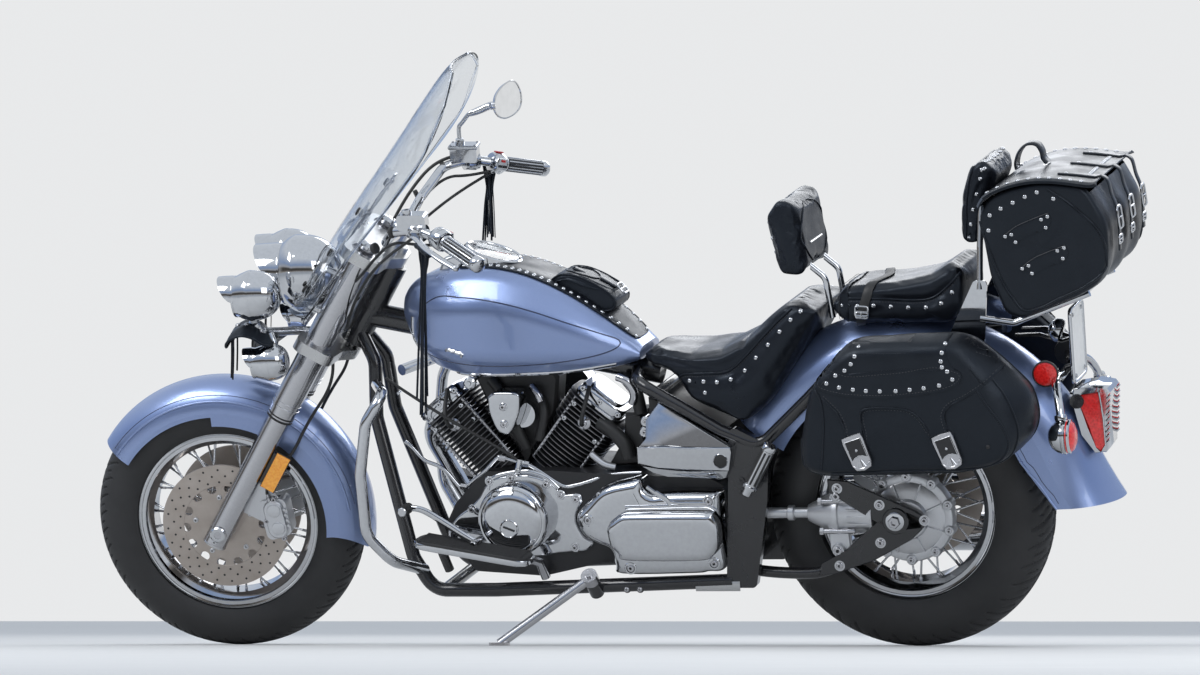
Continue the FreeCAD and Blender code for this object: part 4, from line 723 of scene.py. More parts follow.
def dressHoses():
    # brake hoses from the lower yoke down to each caliper
    out, up = caliperOut, caliperUp
    for side in sides:
        yoke = frontAxle + steerUp * 492 + Vector((40, side * 84, -6))
        down = frontAxle + out * 129 + up * 64 + Vector((0, side * 106, 0))
        route = [yoke, yoke + Vector((6, side * 8, -60)), frontAxle + Vector((236, side * 112, 250)),
                 frontAxle + Vector((190, side * 118, 170)), down + up * 40 + Vector((6, side * 4, 0)), down]
        makeHose("brakeHose" + sideName(side), route, 7.5, "fork", steering)


def makeHose(name, route, diameter, body, where):
    curve = bpy.data.curves.new(name, "CURVE")
    curve.dimensions = "3D"
    spline = curve.splines.new("NURBS")
    spline.points.add(len(route) - 1)
    for point, spot in zip(spline.points, route):
        point.co = (*(where @ Vector(spot)), 1)
    spline.order_u = 3
    spline.use_endpoint_u = True
    curve.bevel_depth = diameter / 2000
    curve.bevel_resolution = 3
    curve.resolution_u = 10
    curve.use_fill_caps = True
    curve.materials.append(finish["softBlack"])
    hose = linked(name, curve)
    bare = curve.copy()
    bare.bevel_depth = 0
    probe = bpy.data.objects.new(name + "Line", bare)
    line = bpy.data.meshes.new_from_object(probe)
    bpy.data.objects.remove(probe)
    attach(hose, body)
    return hose


dressFork()
dressCalipers()
dressHoses()
print("fork dressed")


# Lamps: lens, visors, rims, leather cover under the bar
lampLook = {
    "headX": -1419, "headZ": 898, "headRadius": 88,
    "spotX": -1490, "spotY": 185, "spotZ": 900, "spotRadius": 56,
    "turnX": -1466, "turnY": 190, "turnZ": 742, "turnRadius": 41,
    "hood": [(-1546, 800, 36), (-1544, 812, 46), (-1530, 826, 52), (-1504, 836, 56), (-1478, 828, 54),
             (-1458, 808, 46), (-1440, 800, 34)],
    "thongs": ((-1538, 142, 96), (-1544, 158, 112), (-1544, 172, 104), (-1536, 188, 88)),
    "hoodStuds": (-1528, 168, 828),
}


def visoredLamp(shape, centre, radius, visor, glassKey):
    # lamp facing forwards: the shell narrows to its rim; domed glass, the reflector behind it,
    # and a peak over the top
    forward = Vector((-1, 0, 0))
    rim = radius * 0.8
    shape.turn([(radius + 1.5, -12), (radius + 2.4, -8), (radius + 2.0, -3), (radius * 0.985, 5),
                (radius * 0.93, 14),
                (radius * 0.87, 21), (rim + 2.2, 26), (rim + 3.0, 28), (rim + 2.4, 31), (rim - 2, 32),
                (rim - 4, 28)],
               centre, forward,
               "chrome", 56, hollow=True)
    shape.turn([(rim - 3, 28), (rim * 0.8, 2), (rim * 0.45, -18), (rim * 0.2, -26), (0, -28)], centre,
               forward,
               "mirrorGlass", 40, hollow=True)
    shape.turn([(rim - 3, 29), (rim - 10, 32), (rim * 0.6, 35), (rim * 0.25, 36.5), (0, 37)], centre, forward,
               glassKey, 48)
    rings = []
    for reach, lip in ((1.8, 0), (3.4, 0.2), (3.6, 0.6), (3.0, 1.0), (1.6, 1.0), (1.0, 0.5), (0.2, 0.2)):
        ring = []
        for i in range(41):
            turn = radians(-4 + 188 * i / 40)
            share = sin(radians(180 * i / 40)) ** 0.55
            ring.append(Vector(centre) + Vector((-26 - visor * share * lip, -cos(turn) * (rim + reach),
                                                 sin(turn) * (rim + reach))))
        rings.append(ring)
    shape.loft(rings, "chrome", closed=False, caps=False)


def bowlBack(shape, centre, radius, deep):
    rows = []
    for i in range(13):
        turn = radians(90 * i / 12)
        rows.append((radius * cos(turn) ** 0.75 + 0.4, deep * sin(turn)))
    shape.turn(rows, centre, toTail, "chrome", 56)


def dressLamps():
    shape = Shape()
    look = lampLook
    visoredLamp(shape, (look["headX"], 0, look["headZ"]), look["headRadius"], 66, "clearGlass")
    bowlBack(shape, (look["headX"] + 12, 0, look["headZ"]), look["headRadius"] + 1.5, 92)
    shape.build("headlampShell", "fork", steering, "chrome", sharp=40, stands=("headlamp",))
    shape, hood = Shape(), Shape()
    down = (steering.to_3x3().inverted() @ Vector((0, 0, -1))).normalized()
    for side in sides:
        y = side * look["spotY"]
        visoredLamp(shape, (look["spotX"], y, look["spotZ"]), look["spotRadius"], 40, "clearGlass")
        bowlBack(shape, (look["spotX"] + 12, y, look["spotZ"]), look["spotRadius"] + 1, 62)
        low = (look["turnX"], side * look["turnY"], look["turnZ"])
        visoredLamp(shape, low, look["turnRadius"], 26, "orangeLens")
        bowlBack(shape, (look["turnX"] + 12, low[1], look["turnZ"]), look["turnRadius"] + 1, 40)
        # stem with a ball and lock nut under the lamp, arm to the fork
        shape.tube([(-1484, y, 850), (-1482, y, 832), (-1470, side * 178, 812)], 9, "chrome", 14)
        shape.turn([(0, -9), (9, -7), (13, 0), (9, 7), (0, 9)], (-1484, y, 838), toSky, "chrome", 20)
        shape.turn([(15, -4), (15, 4)], (-1474, side * 180, 815), (0.2, 0, 1), "wornChrome", 6)
        shape.tube(smoothPath([(-1448, side * 190, 762), (-1444, side * 188, 784), (-1452, side * 178, 806)],
                              5), 8,
                   "chrome", 14)
        shape.tube(smoothPath([(-1492, side * 196, 808), (-1478, side * 176, 810), (-1440, side * 120, 794),
                               (-1402, side * 86, 784), (-1362, side * 72, 776)], 6), 10, "chrome", 16)
        # leather cover over the bar end, curled at its rim, with three studs
        rings = []
        for i, (x, z, wide) in enumerate(look["hood"]):
            ring = []
            for j in range(17):
                across = -1 + j / 8
                fall = 16 * abs(across) ** 2.2 - 2 * cos(across * 6 + i)
                ring.append(Vector((x - 6 * across * across, side * (168 + across * wide), z - fall)))
            rings.append(ring)
        soft = [smoothPath([ring[j] for ring in rings], 4) for j in range(17)]
        upper = [[line[i] for line in soft] for i in range(len(soft[0]))]
        sheetRings = [ring + [spot - Vector((0, 0, 3.2)) for spot in reversed(ring)] for ring in upper]
        hood.loft(sheetRings, "leather")
        rim = upper[0] + [ring[-1] for ring in upper] + upper[-1][::-1] + [ring[0] for ring in upper][::-1]
        hood.tube(evenPath([spot - Vector((0, 0, 1.5)) for spot in rim], 7), 2.6, "leather", 8)
        for x, y, long in look["thongs"]:
            top = Vector((x, side * y, 812))
            hood.strap(smoothPath([top, top + down * 0.5 * long + Vector((0, 3, 0)), top + down * long], 5),
                       (1, 0.3 * side, 0), 6, 1.8, "leather")
        for x, y, z in (look["hoodStuds"], (-1502, 150, 839), (-1474, 186, 826), (-1502, 190, 834)):
            shape.stud((x, side * y, z), (-0.1, side * 0.3, 1), 6, "wornChrome")
    centre = Vector((-1512, -62, 728))
    face = Vector((-0.8, -0.6, 0))
    shape.turn([(0, -30), (20, -29), (38, -22), (45, -10), (46, 0), (46, 3), (42, 4), (41, 1), (36, 1),
                (34, 3), (28, 3),
                (26, 1), (20, 1), (18, 4), (0, 6)], centre, face, "softBlack", 44)
    shape.strap([centre - face * 28, (-1478, -54, 752), (-1440, -60, 774), (-1390, -62, 778)], (0, 0.3, 1),
                26, 4,
                "blackFrame")
    shape.build("lampBarDress", "fork", steering, "chrome", sharp=40, stands=("lamp_bar",))
    cover = hood.build("lampHoods", "fork", steering, "leather", sharp=50)


dressLamps()
print("lamps dressed")


# Windshield: edge bead, chrome side struts with grommets, cross bar
screenLook = {"rows": [(-1446, 830, 0.63, 70), (-1336, 965, 0.80, 76), (-1248, 1075, 0.95, 92),
                       (-1138, 1209, 1.0, 98), (-1044, 1325, 0.78, 62), (-1000, 1368, 0.42, 20)],
              "half": 245, "sheet": 5.2}


def screenSpot(height, share, lift=0.0):
    # a place on the sheet: height in the machine's frame, share of the half width, lift off its back face
    rows = screenLook["rows"]
    height = max(rows[0][1], min(rows[-1][1], height))
    for low, high in zip(rows, rows[1:]):
        if height <= high[1]:
            part = (height - low[1]) / (high[1] - low[1])
            x, z, wide, sweep = [a + (b - a) * part for a, b in zip(low, high)]
            break
    half = screenLook["half"] * wide
    radius = (half * half + sweep * sweep) / (2 * sweep)
    y = share * half
    return Vector((x + radius - sqrt(radius * radius - y * y) + screenLook["sheet"] + lift, y, z))


def dressScreen():
    shape = Shape()
    edge = [screenSpot(z, -1, -2.6) for z in range(860, 1369, 24)]
    top = [screenSpot(1368, share / 10, -2.6) for share in range(-10, 11, 2)]
    right = [screenSpot(z, 1, -2.6) for z in range(1368, 859, -24)]
    shape.tube(smoothPath(edge + top[1:-1] + right, 2), 3.1, "clearGlass", 8)
    shape.build("screenEdge", "fork", steering, "clear_screen", sharp=50)
    shape = Shape()
    for side in sides:
        run = [screenSpot(z, side * 0.62, 5) for z in range(872, 1090, 12)]
        shape.strap(run, (1, 0, 0.4), 24, 3.4, "chrome")
        for z in (888, 975, 1072):
            spot = screenSpot(z, side * 0.62, 9)
            shape.turn([(9, -3), (9, 1), (7, 3.4), (3, 4.2), (0, 4.2)], spot, (0.81, 0, -0.59), "chrome", 20)
            front = screenSpot(z, side * 0.62, -9)
            shape.turn([(10, -2), (10, 1), (8, 3), (0, 4)], front, (-0.81, 0, 0.59), "softBlack", 20)
    across = [screenSpot(1000, share / 12, 6) for share in range(-8, 9)]
    shape.strap(across, (1, 0, -0.7), 20, 3, "chrome")
    shape.build("screenStruts", "fork", steering, "chrome", sharp=40)


dressScreen()


# Handlebar: ribbed grips, switch boxes, levers, reservoirs, cables and fringes
barLook = {
    "inner": (-990, 350, 1046), "outer": (-897, 432, 1006), "ribs": 14,
    "lever": [(-1052, 338, 1062), (-1040, 372, 1056), (-1012, 412, 1042), (-975, 446, 1026),
              (-940, 470, 1012)],
}


mirrorLook = {
    "centre": (-955, 374, 1192), "turn": 22, "foot": (-1070, 318, 1112), "stalk": 5.2,
    "outline": [(-64, 0), (-50, 22), (-22, 37), (16, 43), (42, 35), (57, 15), (62, -6), (56, -26), (38, -38),
                (8, -43),
                (-24, -41), (-50, -29), (-62, -13)],
}


def mirrorPoint(point, side):
    return Vector((point[0], side * point[1], point[2]))


def dressGrips():
    shape = Shape()
    for side in sides:
        inner, outer = mirrorPoint(barLook["inner"], side), mirrorPoint(barLook["outer"], side)
        along = (outer - inner).normalized()
        start = inner + along * 12
        length = (outer - inner).length - 6
        out = along.orthogonal().normalized()
        up = along.cross(out)
        shape.turn([(12, 0), (17.6, 1), (18.4, 4), (17.2, 7), (16.4, 8)], start, along, "chrome", 40)
        shape.turn([(16.3, 7), (16.3, length - 18)], start, along, "softBlack", 40)
        shape.turn([(16.4, length - 19), (18.2, length - 18), (18.8, length - 12), (18.4, length - 4),
                    (15, length + 0.5), (6, length + 2), (0, length + 2)], start, along, "chrome", 40)
        for i in range(barLook["ribs"]):
            turn = 2 * pi * i / barLook["ribs"]
            away = (out * cos(turn) + up * sin(turn))
            rail = [start + along * 9 + away * 15.9, start + along * (length - 20) + away * 15.9]
            shape.strap(rail, away, 3.9, 1.9, "chrome")
    shape.build("gripDress", "fork", steering, "chrome", sharp=45, stands=("hand_grips",))


def leverShape(shape, side):
    # dog-leg lever blade, thick at the pivot, a ball at its end
    run = smoothPath([mirrorPoint(spot, side) for spot in barLook["lever"]], 6)
    wide = [15 - 6 * min(1, i / 8) for i in range(len(run))]
    shape.tube(run, wide, "chrome", 14, flat=0.52, up=(0.2, 0, 1))
    shape.turn([(0, -8), (5, -6.5), (7.5, -2.5), (7.5, 2.5), (5, 6.5), (0, 8)], run[-1], run[-1] - run[-2],
               "chrome", 18)
    pivot = mirrorPoint(barLook["lever"][0], side)
    shape.turn([(12.5, -9), (12.5, 10), (11, 12), (0, 12)], pivot, (0.1, 0, 1), "chrome", 24)
    shape.bolt(pivot + Vector((1, 0, 12)), (0.1, 0, 1), 5, "wornChrome", 3)


def dressControls():
    shape = Shape()
    for side in sides:
        inner, outer = mirrorPoint(barLook["inner"], side), mirrorPoint(barLook["outer"], side)
        along = (outer - inner).normalized()
        up = (Vector((0, 0, 1)) - along * along.z).normalized()
        back = along.cross(up) * side
        back = back if back.x > 0 else -back
        centre = inner - along * 4
        # switch box in two halves with a seam
        shape.turn([(12, -19), (22.5, -17), (24.6, -13), (24.8, -1.2), (24.0, -0.8), (24.0, 0.8), (24.8, 1.2),
                    (24.6, 11), (22.5, 14), (17, 15)], centre, along, "chrome", 40)
        shape.plate([(-13, -15), (13, -15), (15, 0), (12, 14), (-12, 14), (-15, 0)], 18, 27, "chrome", 2.5,
                    across=back, flatX=along, flatZ=up, at=centre)
        for a, b, key in ((0, 8, "redSwitch"), (-6, -5, "softBlack"), (7, -5, "softBlack")):
            shape.plate([(-4.5, -3), (4.5, -3), (4.5, 3), (-4.5, 3)], 26, 31, key, 1,
                        across=back, flatX=along, flatZ=up, at=centre + along * a + up * b)
        for a in (-9, 9):
            shape.bolt(centre + along * a - up * 24, -up, 3, "wornChrome", 2)
        leverShape(shape, side)
        # clamp and fluid reservoir or clutch perch
        clamp = mirrorPoint((-1049, 322, 1062), side)
        shape.turn([(20.6, -13), (21.4, -10), (21.4, 10), (20.6, 13)], clamp,
                   (mirrorPoint(barLook["inner"], side)
                   - mirrorPoint((-1064, 312, 1064), side)), "chrome", 36)
        if side > 0:
            top = mirrorPoint((-1060, 313, 1101), side)
            shape.plate([(-35, -23), (35, -23), (35, 23), (-35, 23)], -4, 6, "chrome", 3, across=(0.06, 0, 1),
                        flatX=(1, 0, -0.06), flatZ=toRight, at=top)
            for a in (-29, 29):
                for b in (-17, 17):
                    shape.bolt(top + Vector((a, b, 6 - a * 0.06)), (0.06, 0, 1), 2.8, "wornChrome", 1.4)
            shape.plate([(-10, -6), (10, -6), (10, 6), (-10, 6)], 25, 28, "redSwitch", 1, across=up,
                        flatX=along,
                        flatZ=back, at=centre)
    shape.build("controlDress", "fork", steering, "chrome", sharp=40)


def dressMirror():
    # rounded triangular shell turned to the rider, glass with a rim, ball joint and two-bend stalk
    look = mirrorLook
    turn = radians(look["turn"])
    across, out = Vector((sin(turn), cos(turn), 0)), Vector((cos(turn), -sin(turn), 0))
    centre, up = Vector(look["centre"]), Vector((0, 0, 1))
    outline = smoothPath([Vector((a, 0, b)) for a, b in look["outline"] + look["outline"][:1]], 6)[:-1]

    def ringAt(share, depth):
        return [centre + across * spot.x * share + up * spot.z * share + out * depth for spot in outline]

    shape = Shape()
    shape.loft([ringAt(share, depth) for share, depth in ((0.04, -20), (0.45, -18), (0.74, -13.5),
                                                          (0.93, -7.5),
                                                          (1.0, -1.5), (0.985, 0.2), (0.93, 0.3),
                                                          (0.915, -1.4))],
               "chrome")
    tip = centre + across * look["outline"][0][0] * 0.9 - out * 6
    foot = Vector(look["foot"])
    stalk = [foot + Vector((0, 0, -16)), foot + Vector((0, 0, 10)), foot + Vector((2, 0, 34)),
             foot + Vector((12, 0, 46)), foot + Vector((34, -1, 68)), tip + Vector((-30, 0, -8))]
    shape.tube(smoothPath(stalk, 6), look["stalk"], "chrome", 16)
    shape.turn([(11, 0), (11, 7), (7, 10)], foot - Vector((0, 0, 2)), toSky, "chrome", 6)
    sleeve = [stalk[-2] + Vector((-4, 0, -4)), stalk[-1], tip + Vector((-10, 0, -1)), tip + Vector((6, 0, 0))]
    shape.tube(smoothPath(sleeve, 5), [6 + 3.2 * sin(min(1, i / 5) * pi / 2) for i in range(16)],
               "chrome", 16)
    shape.turn([(0, -10), (7, -8), (10.5, 0), (7, 8), (0, 10)], tip + Vector((-4, 0, 0)), toSky, "chrome", 20)
    shape.build("mirrorShell", "fork", steering, "chrome", sharp=40, stands=("mirror",))
    glass = Shape()
    glass.loft([ringAt(share, depth) for share, depth in ((0.92, -1.0), (0.6, -0.6), (0.04, -0.4))],
               "mirrorGlass")
    glass.build("mirrorGlassPane", "fork", steering, "chrome", sharp=60)


def dressCables():
    # bundle of cables from each control down to the headlamp, and rubber bands on the bar
    shape = Shape()
    for side in sides:
        for spot in ((-1112, 300, 1058), (-1170, 240, 1008)):
            at = mirrorPoint(spot, side)
            shape.turn([(11.6, -5), (12.6, -4), (12.6, 4), (11.6, 5)], at, Vector((62, side * 25, 22)),
                       "softBlack", 20)
    shape.build("barBands", "fork", steering, "black_rubber", sharp=40)
    switchRoute = [(-1004, 338, 1032), (-1052, 314, 1028), (-1112, 296, 1036), (-1172, 226, 986),
                   (-1235, 156, 918),
                   (-1300, 86, 862)]
    routes = {
        "clutchCable": [(-1056, -334, 1052), (-1090, -322, 1030), (-1150, -262, 985), (-1210, -190, 925),
                        (-1262, -150, 850), (-1290, -104, 790)],
        "switchCableLeft": [mirrorPoint(spot, -1) for spot in switchRoute],
        "switchCableRight": switchRoute,
        "throttleCable": [(-1010, 340, 1026), (-1060, 324, 1004), (-1130, 268, 968), (-1200, 196, 920),
                          (-1258, 152, 850), (-1290, 104, 790)],
        "brakeLine": [(-1088, 312, 1078), (-1128, 300, 1074), (-1186, 262, 1020), (-1236, 206, 944),
                      (-1276, 160, 862), (-1300, 84, 790)],
    }
    for name, route in routes.items():
        makeHose(name, route, 7.0 if name != "brakeLine" else 8.0, "fork", steering)


def dressFringes():
    # leather strips tied to both levers, hanging straight down; the machine leans, so down is not its own z
    down = (steering.to_3x3().inverted() @ Vector((0, 0, -1))).normalized()
    for side, spot, length in ((-1, (-1022, 404, 1040), 380), (1, (-1022, 404, 1040), 200)):
        shape = Shape()
        random.seed(7 + side)
        top = mirrorPoint(spot, side)
        run = (mirrorPoint(barLook["lever"][3], side) - mirrorPoint(barLook["lever"][1], side)).normalized()
        wrap = [top + run * (-26 + i * 4) for i in range(14)]
        shape.tube(wrap, [9.6 + 0.7 * sin(i * 1.7) for i in range(14)], "leather", 14, flat=0.8,
                   up=(0.2, 0, 1))
        strips = 11
        for i in range(strips):
            start = top + run * (-22 + i * 44 / (strips - 1)) + down * 4
            reach = length * random.uniform(0.82, 1.0)
            sway = Vector((random.uniform(-5, 5), random.uniform(-4, 4), 0))
            gather = (top + down * 60 - (start + down * 60)) * 0.55
            line = [start, start + down * 20 + gather * 0.3, start + down * 60 + gather,
                    start + down * reach * 0.55 + gather + sway, start + down * reach + gather * 0.8
                    + sway * 1.8]
            path = smoothPath(line, 5)
            face = Vector((cos(i * 1.3), sin(i * 1.3), 0.1))
            shape.strap(path, face, 5.2, 1.6, "leather")
        fringe = shape.build("leverFringe" + sideName(side), "fork", steering, "leather", sharp=50)


dressGrips()
dressControls()
dressMirror()
dressCables()
dressFringes()
print("handlebar dressed")

# Leather pads: each starts from its solid, is pumped up a little, then sewn, piped and studded
padLook = {
    "riderSeatCushion": {"node": "rider_seat", "voxel": 6.5, "shrink": 3.5, "cap": 7, "pressure": 4.5,
                         "fill": 0.75,
                         "soften": 10},
    "passengerSeatCushion": {"node": "passenger_seat", "voxel": 6, "shrink": 3, "cap": 7, "pressure": 4.5,
                             "fill": 0.8, "soften": 10},
    "riderBackPad": {"node": "rider_backrest", "voxel": 4.5, "shrink": 2, "cap": 6, "pressure": 4,
                     "fill": 0.85,
                     "soften": 6},
    "passengerBackPad": {"node": "passenger_backrest", "voxel": 5, "shrink": 2, "cap": 6, "pressure": 4,
                         "fill": 0.85, "soften": 6},
}


def padFrom(name, look):
    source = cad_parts[look["node"]]
    mesh = source.data.copy()
    mesh.transform(source.matrix_world)
    pad = linked(name, mesh)
    even = pad.modifiers.new("even", "REMESH")
    even.mode = "VOXEL"
    even.voxel_size = look["voxel"] / 1000
    settle(pad)
    work = bmesh.new()
    work.from_mesh(pad.data)
    for step in range(look["soften"]):
        bmesh.ops.smooth_vert(work, verts=work.verts, factor=0.5, use_axis_x=True, use_axis_y=True,
                              use_axis_z=True)
    work.normal_update()
    for vertex in work.verts:
        vertex.co -= vertex.normal * look["shrink"] / 1000
    work.to_mesh(pad.data)
    work.free()
    pad.data.materials.clear()
    pad.data.materials.append(finish["leather"])
    return pad


def pumpUp(pads):
    # air pressure from inside, all pads at once; how far a point may move is capped
    scene = bpy.context.scene
    for pad, look in pads:
        cloth = pad.modifiers.new("air", "CLOTH")
        cloth.settings.quality = 4
        cloth.settings.use_pressure = True
        cloth.settings.uniform_pressure_force = look["pressure"]
        cloth.settings.effector_weights.gravity = 0
    for step in range(1, 21):
        scene.frame_set(step)
    graph = bpy.context.evaluated_depsgraph_get()
    for pad, look in pads:
        swollen = [vertex.co.copy() for vertex in pad.evaluated_get(graph).data.vertices]
        pad.modifiers.clear()
        for vertex, target in zip(pad.data.vertices, swollen):
            move = target - vertex.co
            reach = look["cap"] / 1000
            vertex.co += move * min(1.0, reach / max(move.length, 1e-9))
    scene.frame_set(1)


def sew(piece, lines, width, depth):
    # presses a soft channel along each line; lines, width and depth in the machine's frame
    spots = [spot for line in lines for spot in evenPath(line, 4)]
    tree = KDTree(len(spots))
    for i, spot in enumerate(spots):
        tree.insert(spot, i)
    tree.balance()
    back = leaning.inverted()
    normals = [vertex.normal.copy() for vertex in piece.data.vertices]
    for vertex, normal in zip(piece.data.vertices, normals):
        away = tree.find(back @ vertex.co)[2]
        if away < width:
            vertex.co -= normal * depth / 1000 * (1 - (away / width) ** 2) ** 2


def smoothOnce(piece):
    rounding = piece.modifiers.new("rounding", "SUBSURF")
    rounding.levels = rounding.render_levels = 1
    settle(piece)
    piece.data.shade_smooth()


def sideLine(ground, side, points, lift=0.0, spacing=8):
    # a line of (x, z) places laid on a piece from one side
    spots = [(x, side * outside["aside"], z) for x, z in points]
    return lineOn(ground, spots, (0, -side, 0), lift, spacing)


def sideStuds(shape, ground, side, points, radius):
    for x, z in points:
        spot, normal = landAside(ground, side, x, z)
        shape.stud(spot, normal, radius)


def stitches(shape, line, radius=0.55):
    for i in range(0, len(line) - 1, 2):
        shape.tube([line[i], line[i + 1]], radius, "stitch", 5)


def buckle(shape, centre, out, along, wide, tall):
    # frame of rounded bar with a tongue across it
    out, along = Vector(out).normalized(), Vector(along).normalized()
    across = along.cross(out)
    centre = Vector(centre)
    corners = []
    for a, b in ((1, 1), (-1, 1), (-1, -1), (1, -1)):
        for c, d in ((1, 0.72), (0.9, 0.92), (0.66, 1)) if a * b > 0 else ((0.66, 1), (0.9, 0.92), (1, 0.72)):
            corners.append(centre + across * a * c * wide / 2 + along * b * d * tall / 2)
    shape.tube(corners, wide * 0.075, "chrome", 8, flat=0.8, up=out, closed=True)
    shape.tube([centre + across * wide * 0.48, centre - across * wide * 0.48], wide * 0.06, "chrome", 8)
    shape.tube([centre + out * wide * 0.06, centre + out * wide * 0.1 - along * tall * 0.25,
                centre + out * wide * 0.04 - along * tall * 0.5], wide * 0.05, "chrome", 8)


def wrapped(ground, middle, lean, turns, lift):
    # a band round a piece across the machine; turns in degrees, 0 to the right, 90 up
    spots, faces = [], []
    for turn in turns:
        way = Vector((0, cos(radians(turn)), sin(radians(turn))))
        start = Vector(middle) + way * 320
        start.x += lean * start.z - lean * middle[2]
        spot, normal = land(ground, start, -way, lift)
        spots.append(spot)
        faces.append(normal)
    return spots, faces


seatLook = {
    "studs": [(-493, 635), (-459, 647), (-424, 646), (-392, 645), (-359, 651), (-326, 670), (-298, 699),
              (-267, 728), (-238, 757), (-211, 783), (-188, 801)],
    "seam": [(-501, 640), (-474, 660), (-428, 664), (-377, 666), (-350, 678), (-320, 704), (-283, 741),
             (-243, 779), (-210, 806)],
    "topCrease": [(-548, 694), (-500, 690), (-445, 682), (-392, 678), (-352, 690), (-322, 716)],
    "studRadius": 5.4,
    "passengerStuds": [(-100, 806), (-65, 804), (-29, 804), (9, 800), (48, 797), (88, 797), (124, 806),
                       (150, 830)],
    "passengerSeam": [(-118, 822), (-91, 822), (-12, 818), (66, 813), (108, 820), (146, 848), (168, 872)],
    "strapTurns": range(-24, 206, 6), "strapMiddle": (-54, 0, 792), "strapLean": 0.11,
}


def dressSeats(rider, passenger):
    crease = []
    riderGround, passengerGround = skin(leaning, rider), skin(leaning, passenger)
    for side in sides:
        crease.append(sideLine(riderGround, side, seatLook["seam"])[0])
        crease.append(sideLine(riderGround, side, seatLook["topCrease"])[0])
    across = [land(riderGround, (-330, y, 900), toGround)[0] for y in range(-130, 131, 10)]
    crease.append(across)
    sew(rider, crease, 14, 4.5)
    smoothOnce(rider)
    crease = [sideLine(passengerGround, side, seatLook["passengerSeam"])[0] for side in sides]
    sew(passenger, crease, 13, 4)
    smoothOnce(passenger)
    shape = Shape()
    riderGround, passengerGround = skin(leaning, rider), skin(leaning, passenger)
    for side in sides:
        line, faces = sideLine(riderGround, side, seatLook["seam"], 0.6, 6)
        shape.tube(line, 2.6, "leather", 8)
        line, faces = sideLine(passengerGround, side, seatLook["passengerSeam"], 0.6, 6)
        shape.tube(line, 2.6, "leather", 8)
        for points, ground in ((seatLook["seam"], riderGround), (seatLook["passengerSeam"], passengerGround)):
            low = [(x - 1, z - 6.5) for x, z in points]
            line, faces = sideLine(ground, side, low, 0.3, 3.2)
            stitches(shape, line, 0.6)
        sideStuds(shape, riderGround, side, seatLook["studs"], seatLook["studRadius"])
        sideStuds(shape, passengerGround, side, seatLook["passengerStuds"], seatLook["studRadius"])
    shape.build("seatTrim", "root", None, "leather", sharp=45)
    # band and buckled strap round the passenger seat
    shape = Shape()
    band, faces = wrapped(passengerGround, (-98, 0, 800), 0.02, range(-28, 209, 6), 1.2)
    shape.strap(band, faces, 24, 1.6, "leather")
    for shift in (-9.5, 9.5):
        shape.tube([spot + Vector((shift, 0, 0)) + face * 1.6 for spot, face in zip(band, faces)], 0.5,
                   "stitch", 5)
    strap, faces = wrapped(passengerGround, seatLook["strapMiddle"], seatLook["strapLean"],
                           seatLook["strapTurns"], 3.0)
    shape.strap(strap, faces, 21, 1.8, "softBlack")
    for side in sides:
        spot, normal = landAside(passengerGround, side, -56, 794, 5.5)
        buckle(shape, spot, normal, (0.1, 0, 1), 29, 22)
        buckle(shape, spot - Vector((0, 0, 9)), normal, (0.1, 0, 1), 27, 12)
    shape.build("passengerSeatStrap", "root", None, "leather", sharp=45)


backLook = {"studs": [(247, 1112), (239, 1100), (228, 1078), (217, 1044), (207, 1010), (200, 978),
                      (194, 950)],
            "frontPipe": [(186, 938), (195, 1040), (213, 1104), (238, 1117)],
            "backPipe": [(216, 932), (236, 1036), (256, 1094), (240, 1116)]}


def dressPads(rider, passenger):
    grounds = {"rider": skin(leaning, rider), "passenger": skin(leaning, passenger)}
    lines = [sideLine(grounds["passenger"], side, backLook[key])[0] for side in sides
             for key in ("frontPipe", "backPipe")]
    sew(passenger, lines, 10, 2.5)
    for pad in (rider, passenger):
        smoothOnce(pad)
    ground = skin(leaning, passenger)
    shape = Shape()
    for side in sides:
        for key in ("frontPipe", "backPipe"):
            line, faces = sideLine(ground, side, backLook[key], 0.5, 6)
            shape.tube(line, 2.3, "leather", 8)
        sideStuds(shape, ground, side, backLook["studs"], 4.8)
    for y in range(-90, 91, 30):
        spot, normal = landAbove(ground, 238, y)
        shape.stud(spot, normal, 4.8)
    shape.build("passengerBackTrim", "root", None, "leather", sharp=45)
    # rider's pad: zip down its back, studs along its edge
    box = [leaning.inverted() @ vertex.co for vertex in rider.data.vertices]
    low = Vector([min(spot[i] for spot in box) for i in range(3)])
    high = Vector([max(spot[i] for spot in box) for i in range(3)])
    middle = (low + high) / 2
    ground = skin(leaning, rider)
    shape = Shape()
    for side in sides:
        ring = []
        for i in range(36):
            turn = 2 * pi * i / 36
            way = Vector((cos(turn) * (high.x - low.x) * 0.1, sin(turn) * (high.y - low.y) * 0.40,
                          cos(turn) * (high.z - low.z) * 0.40))
            spot, normal = land(ground, middle + way + Vector((side * 200, 0, 0)), (-side, 0, 0), 0.6)
            ring.append(spot)
            if i % 3 == 0 and side < 0:
                shape.stud(spot, normal, 4.2)
        if side > 0:
            shape.tube(ring, 2.2, "leather", 8, closed=True)
    zipLine = [land(ground, (high.x + 200, y, middle.z - 20), (-1, 0, 0), 0.8)[0] for y in range(-50, 51, 5)]
    shape.tube(zipLine, 2.2, "wornChrome", 6)
    shape.build("riderBackTrim", "root", None, "leather", sharp=45)


pads = []
for name, look in padLook.items():
    pads.append((padFrom(name, look), look))
pumpUp(pads)
for pad, look in pads:
    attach(pad, "root")
    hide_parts(look["node"])
madePads = {pad.name: pad for pad, look in pads}
dressSeats(madePads["riderSeatCushion"], madePads["passengerSeatCushion"])
dressPads(madePads["riderBackPad"], madePads["passengerBackPad"])
print("seats and pads sewn")

